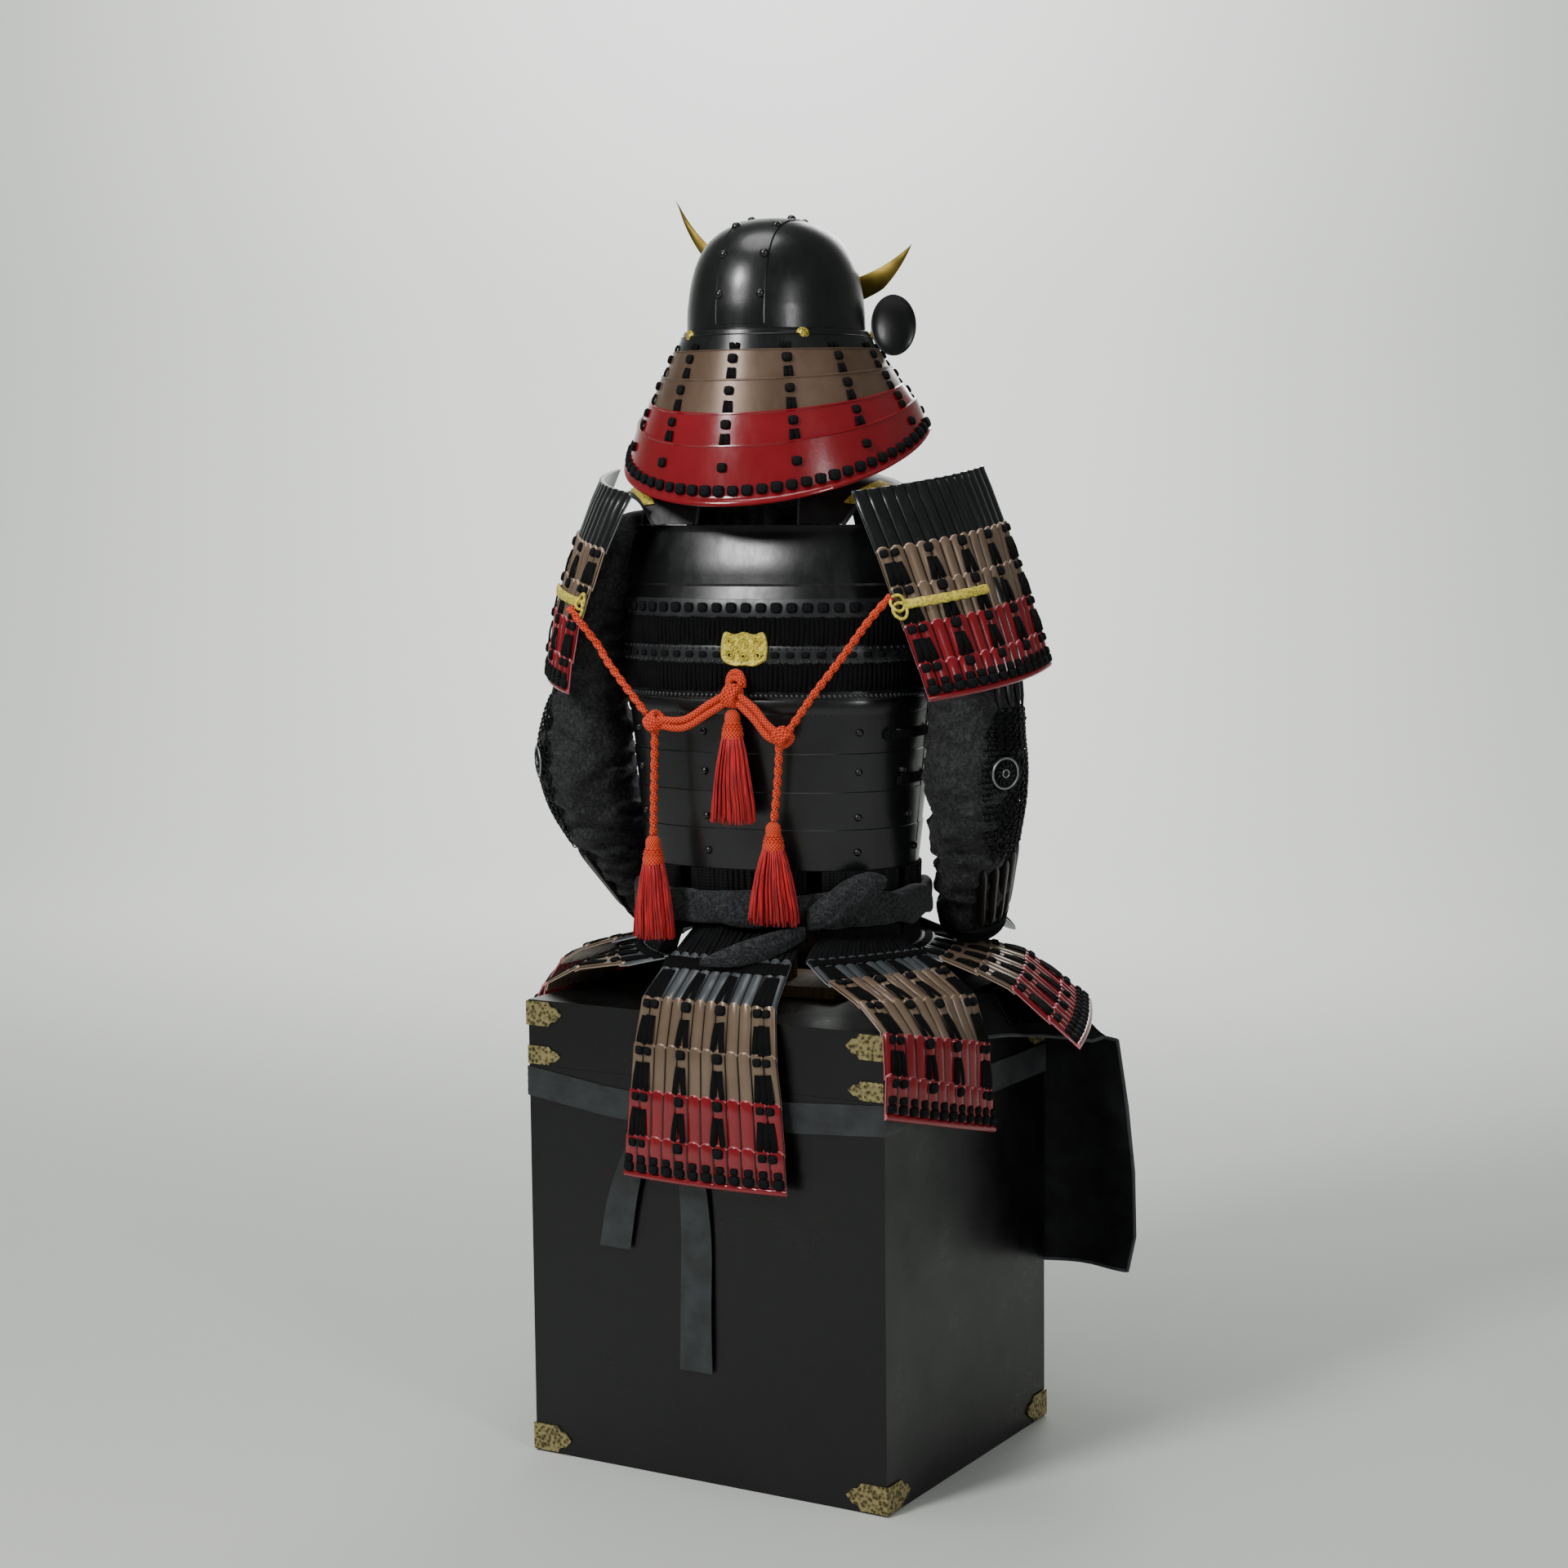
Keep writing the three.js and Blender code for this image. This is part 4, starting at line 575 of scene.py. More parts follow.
@dataclass
class Build:
    """A mesh that is being built: points in millimetres, faces, and a UV place for each face's corners."""

    points: list[Array] = field(default_factory=list)
    faces: list[tuple[int, ...]] = field(default_factory=list)
    uvs: list[tuple[tuple[float, float], ...]] = field(default_factory=list)
    count: int = 0

    def add(self, points: Array) -> int:
        """Adds points and returns the number of the first."""
        start = self.count
        flat = np.asarray(points, float).reshape(-1, 3)
        self.points.append(flat)
        self.count += len(flat)
        return start

    def face(self, corners: Sequence[int], places: Optional[Sequence[tuple[float, float]]] = None) -> None:
        """Adds one face and its UV places."""
        self.faces.append(tuple(int(c) for c in corners))
        self.uvs.append(tuple(places) if places else tuple((0.0, 0.0) for _ in corners))

    def grid(self, rows: Array, ring: bool = False, us: Optional[Array] = None, vs: Optional[Array] = None,
             flip: bool = False) -> int:
        """Adds a skin through rows of points.

        Args:
            rows: points as rows, columns and x, y, z.
            ring: whether each row comes back to its start.
            us: a UV place in millimetres for each column, one more on a ring.
            vs: a UV place in millimetres for each row.
            flip: whether the skin faces the other way.

        Returns:
            The number of the first point.
        """
        rows = np.asarray(rows, float)
        along, across = rows.shape[:2]
        start = self.add(rows)
        us = np.arange(across + 1) if us is None else us
        vs = np.arange(along) if vs is None else vs
        for i in range(along - 1):
            for j in range(across if ring else across - 1):
                k = (j + 1) % across
                corners = [start + i * across + j, start + i * across + k,
                           start + (i + 1) * across + k, start + (i + 1) * across + j]
                places = [(us[j], vs[i]), (us[j + 1], vs[i]), (us[j + 1], vs[i + 1]), (us[j], vs[i + 1])]
                self.face(corners[::-1] if flip else corners, places[::-1] if flip else places)
        return start

    def wall(self, outer: Array, inner: Array, ring: bool = False, us: Optional[Array] = None,
             vs: Optional[Array] = None) -> None:
        """Adds a closed wall between two skins of the same size.

        Args:
            outer: the outer skin's rows.
            inner: the inner skin's rows.
            ring: whether each row comes back to its start.
            us: UV places across.
            vs: UV places along.
        """
        along, across = np.asarray(outer).shape[:2]
        a = self.grid(outer, ring, us, vs)
        b = self.grid(inner, ring, us, vs, flip=True)
        steps = across if ring else across - 1
        last = (along - 1) * across
        for j in range(steps):
            k = (j + 1) % across
            self.face([a + k, a + j, b + j, b + k])
            self.face([a + last + j, a + last + k, b + last + k, b + last + j])
        if not ring:
            for i in range(along - 1):
                p, q = i * across, (i + 1) * across
                self.face([a + p, a + q, b + q, b + p])
                self.face([a + q + across - 1, a + p + across - 1, b + p + across - 1, b + q + across - 1])

    def tube(self, line: Array, radius: Number, sides: int = 10, flat: float = 1.0,
             up: Sequence[float] = (0, 0, 1), closed: bool = False) -> None:
        """Adds a round or flattened rod along a line.

        Args:
            line: the points of its middle.
            radius: its radius, or one for each point.
            sides: how many sides it has.
            flat: its thickness along up, as a share of its width.
            up: the way that it is flattened.
            closed: whether the line comes back to its start.
        """
        line = np.asarray(line, float)
        radius = np.broadcast_to(np.asarray(radius, float), (len(line),))
        if closed:
            ahead = unit(np.roll(line, -1, 0) - np.roll(line, 1, 0))
        else:
            ahead = unit(np.gradient(line, axis=0))
            line = np.vstack([line[0] - ahead[0] * radius[0] * 0.25, line,
                              line[-1] + ahead[-1] * radius[-1] * 0.25])
            ahead = np.vstack([ahead[0], ahead, ahead[-1]])
            radius = np.concatenate([[radius[0] * 0.72], radius, [radius[-1] * 0.72]])
        side = np.cross(ahead[0], np.asarray(up, float))
        if np.linalg.norm(side) < 1e-3:
            side = np.cross(ahead[0], vec(1, 0.3, 0))
        rows = []
        angles = full_turn(sides)
        for i, at in enumerate(line):
            side = unit(side - ahead[i] * np.dot(side, ahead[i]))
            over = np.cross(side, ahead[i])
            rows.append(at + radius[i] * (np.outer(np.cos(angles), side)
                                          + flat * np.outer(np.sin(angles), over)))
        reach = np.concatenate([[0], np.cumsum(np.linalg.norm(np.diff(line, axis=0), axis=1))])
        around = np.linspace(0, 2 * math.pi * float(radius.max()), sides + 1)
        if closed:
            rows.append(rows[0])
            reach = np.append(reach, reach[-1] + np.linalg.norm(line[0] - line[-1]))
        start = self.grid(np.array(rows), True, around, reach)
        if closed:
            return
        for first, flip in ((start, True), (start + (len(rows) - 1) * sides, False)):
            corners = [first + k for k in range(sides)]
            self.face(corners[::-1] if flip else corners)

    def lathe(self, profile: Sequence[tuple[float, float]], sides: int, at: Array, axis: Array,
              squash: Sequence[float] = (1, 1)) -> None:
        """Adds a turned shape.

        Args:
            profile: radius and height pairs, from one closed end to the other.
            sides: how many sides it has.
            at: the place of height zero.
            axis: the way that its heights go.
            squash: the share of its radius along its two cross directions.
        """
        axis = unit(np.asarray(axis, float))
        one = unit(np.cross(axis, vec(0, 0, 1) if abs(axis[2]) < 0.9 else vec(0, 1, 0)))
        two = np.cross(axis, one)
        angles = full_turn(sides)
        ring = np.outer(np.cos(angles) * squash[0], one) + np.outer(np.sin(angles) * squash[1], two)
        rows = np.array([np.asarray(at) + ring * max(r, 0.02) + axis * h for r, h in profile])
        heights = [h for _, h in profile]
        start = self.grid(rows, True, np.linspace(0, 2 * math.pi * max(r for r, _ in profile), sides + 1),
                          np.array(heights))
        self.face([start + k for k in range(sides)][::-1])
        self.face([start + (len(rows) - 1) * sides + k for k in range(sides)])

    def block(self, low: Sequence[float], high: Sequence[float]) -> None:
        """Adds a box from its lowest to its highest corner."""
        x, y, z = zip(low, high)
        start = self.add(np.array([[x[i], y[j], z[k]] for k in (0, 1) for j in (0, 1) for i in (0, 1)]))
        for corners in ((0, 2, 3, 1), (4, 5, 7, 6), (0, 1, 5, 4), (2, 6, 7, 3), (0, 4, 6, 2), (1, 3, 7, 5)):
            places = [((x[c & 1]), z[(c >> 2) & 1]) for c in corners]
            self.face([start + c for c in corners], places)

    def mesh(self, name: str, crease: float = 40.0, bevel: float = 0.0) -> bpy.types.Mesh:
        """The finished mesh, in metres.

        Args:
            name: the mesh's name.
            crease: edges that turn more than this many degrees stay sharp.
            bevel: how far sharp edges are rounded, in millimetres.

        Returns:
            The mesh, its faces outwards.
        """
        mesh = bpy.data.meshes.new(name)
        mesh.from_pydata((np.vstack(self.points) * MM).tolist(), [], self.faces)
        layer = mesh.uv_layers.new(name="UVMap")
        layer.data.foreach_set("uv", np.array([place for face in self.uvs for place in face],
                                              float).ravel() * MM)
        work = bmesh.new()
        work.from_mesh(mesh)
        bmesh.ops.remove_doubles(work, verts=work.verts, dist=1e-6)
        bmesh.ops.recalc_face_normals(work, faces=work.faces)
        if bevel:
            sharp = [e for e in work.edges if e.is_manifold and e.calc_face_angle() > math.radians(crease)]
            bmesh.ops.bevel(work, geom=sharp, offset=bevel * MM, segments=2, profile=0.6, affect="EDGES",
                            clamp_overlap=True)
        for edge in work.edges:
            edge.smooth = not edge.is_manifold or edge.calc_face_angle() < math.radians(crease)
        for face in work.faces:
            face.smooth = True
        work.to_mesh(mesh)
        work.free()
        return mesh


def show(mesh: bpy.types.Mesh, name: str, finish: Optional[Finish],
         replaces: Sequence[str] = ()) -> bpy.types.Object:
    """Puts a mesh into the scene as one piece of the part.

    Args:
        mesh: the finished mesh.
        name: the piece's name.
        finish: its material, or None where the mesh has its own.
        replaces: the solids that it stands for.

    Returns:
        The piece, riding on the part's one body.
    """
    piece = bpy.data.objects.new(name, mesh)
    bpy.context.scene.collection.objects.link(piece)
    if finish:
        mesh.materials.clear()
        mesh.materials.append(finish.material())
    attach(piece, BODY)
    if replaces:
        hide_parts(*replaces)
    LOG.info("%s: %d faces", name, len(mesh.polygons))
    return piece


@dataclass
class Repeats:
    """Places that each take a copy of one small shape, set there by Geometry Nodes."""

    name: str
    finish: Finish
    jitter: float = 0.0
    seed: int = 3
    at: list[Array] = field(default_factory=list)
    turn: list[Array] = field(default_factory=list)
    size: list[Array] = field(default_factory=list)

    def put(self, at: Array, along: Array, face: Array, size: Sequence[float] = (1, 1, 1)) -> None:
        """Adds one copy.

        Args:
            at: its place.
            along: where its Y axis points.
            face: roughly where its Z axis points.
            size: its scale along its own axes.
        """
        y = unit(np.asarray(along, float))
        x = unit(np.cross(y, np.asarray(face, float)))
        z = np.cross(x, y)
        self.at.append(np.asarray(at, float))
        self.turn.append(np.array(Matrix((x, y, z)).transposed().to_euler()))
        self.size.append(np.array(size, float))

    def tree(self) -> bpy.types.NodeTree:
        """The tree that sets a shape on each point, with named inputs.

        Returns:
            A new Geometry Nodes tree.
        """
        tree = bpy.data.node_groups.new(f"{self.name}_tree", "GeometryNodeTree")
        face = tree.interface
        face.new_socket("Points", in_out="INPUT", socket_type="NodeSocketGeometry")
        face.new_socket("Shape", in_out="INPUT", socket_type="NodeSocketObject")
        face.new_socket("Finish", in_out="INPUT", socket_type="NodeSocketMaterial")
        face.new_socket("Jitter", in_out="INPUT", socket_type="NodeSocketFloat")
        face.new_socket("Seed", in_out="INPUT", socket_type="NodeSocketInt")
        face.new_socket("Pieces", in_out="OUTPUT", socket_type="NodeSocketGeometry")
        given = add_node(tree, "NodeGroupInput").outputs
        points = add_node(tree, "GeometryNodeMeshToPoints", {"Mesh": given["Points"]}).outputs[0]
        shape = add_node(tree, "GeometryNodeObjectInfo",
                         {"Object": given["Shape"], "As Instance": True}).outputs["Geometry"]
        turn = add_node(tree, "GeometryNodeInputNamedAttribute", {"Name": "turn"},
                        data_type="FLOAT_VECTOR").outputs[0]
        size = add_node(tree, "GeometryNodeInputNamedAttribute", {"Name": "size"},
                        data_type="FLOAT_VECTOR").outputs[0]
        low = add_node(tree, "ShaderNodeMath", {0: 1.0, 1: given["Jitter"]},
                       operation="SUBTRACT").outputs[0]
        high = add_node(tree, "ShaderNodeMath", {0: 1.0, 1: given["Jitter"]}, operation="ADD").outputs[0]
        chance = add_node(tree, "FunctionNodeRandomValue", {2: low, 3: high, "Seed": given["Seed"]},
                          data_type="FLOAT").outputs[1]
        scale = add_node(tree, "ShaderNodeVectorMath", {0: size, "Scale": chance},
                         operation="SCALE").outputs[0]
        angle = add_node(tree, "FunctionNodeEulerToRotation", {0: turn}).outputs[0]
        set_on = add_node(tree, "GeometryNodeInstanceOnPoints",
                          {"Points": points, "Instance": shape, "Rotation": angle,
                                                                 "Scale": scale}).outputs[0]
        real = add_node(tree, "GeometryNodeRealizeInstances", {0: set_on}).outputs[0]
        dressed = add_node(tree, "GeometryNodeSetMaterial",
                           {"Geometry": real, "Material": given["Finish"]}).outputs[0]
        add_node(tree, "NodeGroupOutput", {0: dressed})
        return tree

    def make(self, shape: bpy.types.Mesh) -> bpy.types.Object:
        """Runs the tree and keeps its result as one plain piece.

        Args:
            shape: the small mesh, in metres about its own origin.

        Returns:
            The piece.
        """
        cloud = bpy.data.meshes.new(f"{self.name}_points")
        cloud.from_pydata((np.array(self.at) * MM).tolist(), [], [])
        for key, values in (("turn", self.turn), ("size", self.size)):
            cloud.attributes.new(key, "FLOAT_VECTOR",
                                 "POINT").data.foreach_set("vector", np.array(values, np.float32).ravel())
        holder = bpy.data.objects.new(f"{self.name}_holder", cloud)
        pattern = bpy.data.objects.new(f"{self.name}_pattern", shape)
        for item in (holder, pattern):
            bpy.context.scene.collection.objects.link(item)
        modifier = holder.modifiers.new("Repeats", "NODES")
        modifier.node_group = self.tree()
        known = {s.name: s.identifier for s in modifier.node_group.interface.items_tree
                 if s.in_out == "INPUT"}
        modifier[known["Shape"]] = pattern
        modifier[known["Finish"]] = self.finish.material()
        modifier[known["Jitter"]] = self.jitter
        modifier[known["Seed"]] = self.seed
        graph = bpy.context.evaluated_depsgraph_get()
        mesh = bpy.data.meshes.new_from_object(holder.evaluated_get(graph), depsgraph=graph)
        mesh.name = self.name
        for item in (holder, pattern):
            bpy.data.objects.remove(item)
        piece = show(mesh, self.name, None)
        return piece


def ribbon_shape(width: float, thick: float, arch: float = 0.0) -> bpy.types.Mesh:
    """A flat lace one metre long, to be scaled along Y.

    Args:
        width: its width.
        thick: its thickness.
        arch: how far its middle stands up.

    Returns:
        A small mesh about the origin.
    """
    build = Build()
    steps = np.linspace(-0.5, 0.5, 3)
    line = np.array([[0, y * 1000, arch * (1 - 4 * y * y)] for y in steps])
    build.tube(line, width / 2, 8, thick / width, (0, 0, 1))
    return build.mesh("lace", 60)


def knot_shape(width: float, length: float, height: float) -> bpy.types.Mesh:
    """A rounded square of lace where it comes through the plate and goes back.

    Args:
        width: its width.
        length: its length.
        height: how far it stands up.

    Returns:
        A small mesh about the origin.
    """
    build = Build()
    angles = full_turn(10) + math.pi / 10
    square = np.stack([np.sign(np.cos(angles)) * np.abs(np.cos(angles)) ** 0.55,
                       np.sign(np.sin(angles)) * np.abs(np.sin(angles)) ** 0.55, np.zeros(10)], 1)
    half = vec(width / 2, length / 2, 1)
    rows = [square * half * share + vec(0, 0, z) for share, z in
            ((0.9, -height * 0.4), (1, 0), (0.96, height * 0.45), (0.72, height * 0.85), (0.3, height))]
    start = build.grid(np.array(rows), True, np.linspace(0, width * 3, 11), np.array([0, 1, 2, 3, 4.0]))
    build.face([start + k for k in range(10)][::-1])
    build.face([start + 40 + k for k in range(10)])
    return build.mesh("knot", 70)


def dome_shape(radius: float, height: float, sides: int = 12) -> bpy.types.Mesh:
    """A domed head of a rivet or boss."""
    build = Build()
    build.lathe([(radius, -height * 0.4), (radius, 0), (radius * 0.9, height * 0.45),
                 (radius * 0.6, height * 0.85),
                 (0.1, height)], sides, vec(0, 0, 0), vec(0, 0, 1))
    return build.mesh("dome", 60)


def ring_shape(radius: float, wire: float, sides: int = 12, around: int = 6) -> bpy.types.Mesh:
    """A small round ring lying flat."""
    build = Build()
    angles = full_turn(sides)
    line = np.stack([np.cos(angles) * radius, np.sin(angles) * radius, np.zeros(sides)], 1)
    build.tube(line, wire, around, closed=True)
    return build.mesh("ring", 80)


@dataclass
class Studio:
    """The camera at the photograph's angle, soft lights and a pale floor."""

    eye: tuple[float, float, float] = (-1.7722, 3.0060, 1.1675)
    azimuth: float = 30.599
    pitch: float = 6.051
    roll: float = -0.587
    lens: float = 67.4

    def camera(self) -> None:
        """Sets the camera where the photograph was taken from."""
        az, pitch, roll = (math.radians(v) for v in (self.azimuth, self.pitch, self.roll))
        ahead = Vector((math.sin(az) * math.cos(pitch), -math.cos(az) * math.cos(pitch), -math.sin(pitch)))
        right = ahead.cross(Vector((0, 0, 1))).normalized()
        up = right.cross(ahead)
        right, up = right * math.cos(roll) + up * math.sin(roll), up * math.cos(roll) - right * math.sin(roll)
        data = bpy.data.cameras.new("camera")
        data.lens = self.lens
        data.sensor_width = 36
        data.clip_end = 60
        camera = bpy.data.objects.new("camera", data)
        camera.matrix_world = Matrix((right, up, -ahead)).transposed().to_4x4()
        camera.matrix_world.translation = Vector(self.eye)
        bpy.context.scene.collection.objects.link(camera)
        bpy.context.scene.camera = camera

    def light(self, name: str, at: Sequence[float], size: float, power: float,
              aim: Sequence[float] = (0, 0, 0.85)) -> None:
        """Adds one soft light that looks at a place, the armour's middle unless another is given."""
        data = bpy.data.lights.new(name, "AREA")
        data.shape, data.size, data.energy = "DISK", size, power
        lamp = bpy.data.objects.new(name, data)
        lamp.location = at
        lamp.rotation_euler = (Vector(aim) - Vector(at)).to_track_quat("-Z", "Y").to_euler()
        bpy.context.scene.collection.objects.link(lamp)

    def build(self) -> None:
        """Sets up the whole studio."""
        self.camera()
        self.light("key", (0.9, 3.2, 3.1), 0.9, 115)
        self.light("fill", (-3.6, 1.9, 2.0), 1.0, 40)
        self.light("top", (0.2, 0.4, 3.6), 1.6, 35)
        self.light("front", (0.8, -3.4, 2.6), 1.6, 40)
        self.light("wall_wash", (2.1, -3.5, 3.9), 2.4, 330, aim=(3.6, -6.1, 1.0))
        world = bpy.data.worlds.new("pale_studio")
        world.use_nodes = True
        world.node_tree.nodes["Background"].inputs[0].default_value = linear("d4d8d5")
        world.node_tree.nodes["Background"].inputs[1].default_value = 0.24
        bpy.context.scene.world = world
        floor = Build()
        az = math.radians(self.azimuth)
        ahead, right = vec(math.sin(az), -math.cos(az), 0), vec(math.cos(az), math.sin(az), 0)
        turns = np.radians(np.linspace(0, 90, 15))
        sweep = [(-12000, 0),
                 (5200, 0)] + [(5200 + 1800 * math.sin(a), 1800 - 1800 * math.cos(a))
                               for a in turns[1:]] + [(7000, 9000)]
        floor.grid(np.array([[ahead * far + right * wide + vec(0, 0, high - 0.5)
                              for wide in (-13000, 13000)] for far, high in sweep]))
        mesh = floor.mesh("floor", 60)
        plane = bpy.data.objects.new("floor", mesh)
        mesh.materials.append(Finish("pale_floor", "", "d2d6d1", 0.85).material())
        bpy.context.scene.collection.objects.link(plane)


# The cuirass's rings: height, half width, and half depth behind and in front.
TORSO = np.array([(560, 158, 108, 114), (632, 162, 110, 117), (709, 165, 113, 121), (800, 173, 121, 134),
                  (905, 182, 128, 147), (1000, 184, 126, 146), (1060, 183, 116, 132),
                  (1110, 180, 101, 112)], float)
TORSO_POWER = 2 / 2.35
DO_BOTTOM = 709
CELL = 360 / 49


def torso(angle: Number, z: Number, out: Number) -> Array:
    """Points on the cuirass's form.

    Args:
        angle: degrees from the armour's left side.
        z: the height.
        out: how far outside the form.

    Returns:
        Points of the armour's own frame.
    """
    angle, z, out = np.broadcast_arrays(np.asarray(angle, float), np.asarray(z, float),
                                        np.asarray(out, float))
    c, s = np.cos(np.radians(angle)), np.sin(np.radians(angle))
    wide = np.interp(z, TORSO[:, 0], TORSO[:, 1]) + out
    deep = np.where(s > 0, np.interp(z, TORSO[:, 0], TORSO[:, 2]),
                    np.interp(z, TORSO[:, 0], TORSO[:, 3])) + out
    return np.stack([wide * np.sign(c) * np.abs(c) ** TORSO_POWER,
                     deep * np.sign(s) * np.abs(s) ** TORSO_POWER, z], -1)


def angle_at(x: float, z: float, back: bool = True) -> float:
    """The angle on the cuirass's form where it has this x, behind or in front."""
    wide = float(np.interp(z, TORSO[:, 0], TORSO[:, 1]))
    share = min(abs(x) / wide, 1.0) ** (1 / TORSO_POWER)
    angle = math.degrees(math.acos(math.copysign(share, x)))
    return angle if back else 360 - angle


@dataclass
class Strip:
    """A strip that hangs through sections, straight from each one to the next."""

    sections: list[Callable[[Array], Array]]

    def plain(self, u: Number, s: Number) -> Array:
        """Points on the strip.

        Args:
            u: the place across, from -1 to 1.
            s: the place down, counted in sections.

        Returns:
            The points.
        """
        u, s = np.broadcast_arrays(np.asarray(u, float), np.asarray(s, float))
        low = np.clip(np.floor(s).astype(int), 0, len(self.sections) - 2)
        points = np.zeros(u.shape + (3,))
        for k in np.unique(low):
            here = low == k
            a, b = self.sections[k](u[here]), self.sections[k + 1](u[here])
            points[here] = a + (b - a) * (s[here] - k)[:, None]
        return points

    def normal(self, u: Number, s: Number) -> Array:
        """The way that the strip faces."""
        last = len(self.sections) - 1
        across = self.plain(np.asarray(u) + 0.04, s) - self.plain(np.asarray(u) - 0.04, s)
        down = self.plain(u, np.minimum(np.asarray(s) + 0.5,
                                        last)) - self.plain(u, np.maximum(np.asarray(s) - 0.5, 0))
        return unit(np.cross(down, across))

    def place(self, u: Number, s: Number, out: Number) -> Array:
        """Points a distance in front of the strip."""
        u, s, out = np.broadcast_arrays(np.asarray(u, float), np.asarray(s, float), np.asarray(out, float))
        low = np.clip(np.floor(s), 0, len(self.sections) - 2)
        facing = unit(mix(self.normal(u, low), self.normal(u, low + 1), (s - low)[..., None]))
        return self.plain(u, s) + facing * out[..., None]


@dataclass(frozen=True)
class Section:
    """A line across a hanging lame: its middle, where it faces, its half width, bow and tilt."""

    x: float
    y: float
    z: float
    face: float
    half: float
    bow: float = 8
    tilt: float = 0

    def __call__(self, u: Array) -> Array:
        """The points across, from -1 to 1."""
        c, s = math.cos(math.radians(self.face)), math.sin(math.radians(self.face))
        return np.stack([self.x - s * self.half * u - c * self.bow * u * u,
                         self.y + c * self.half * u - s * self.bow * u * u, self.z + self.tilt * u], -1)


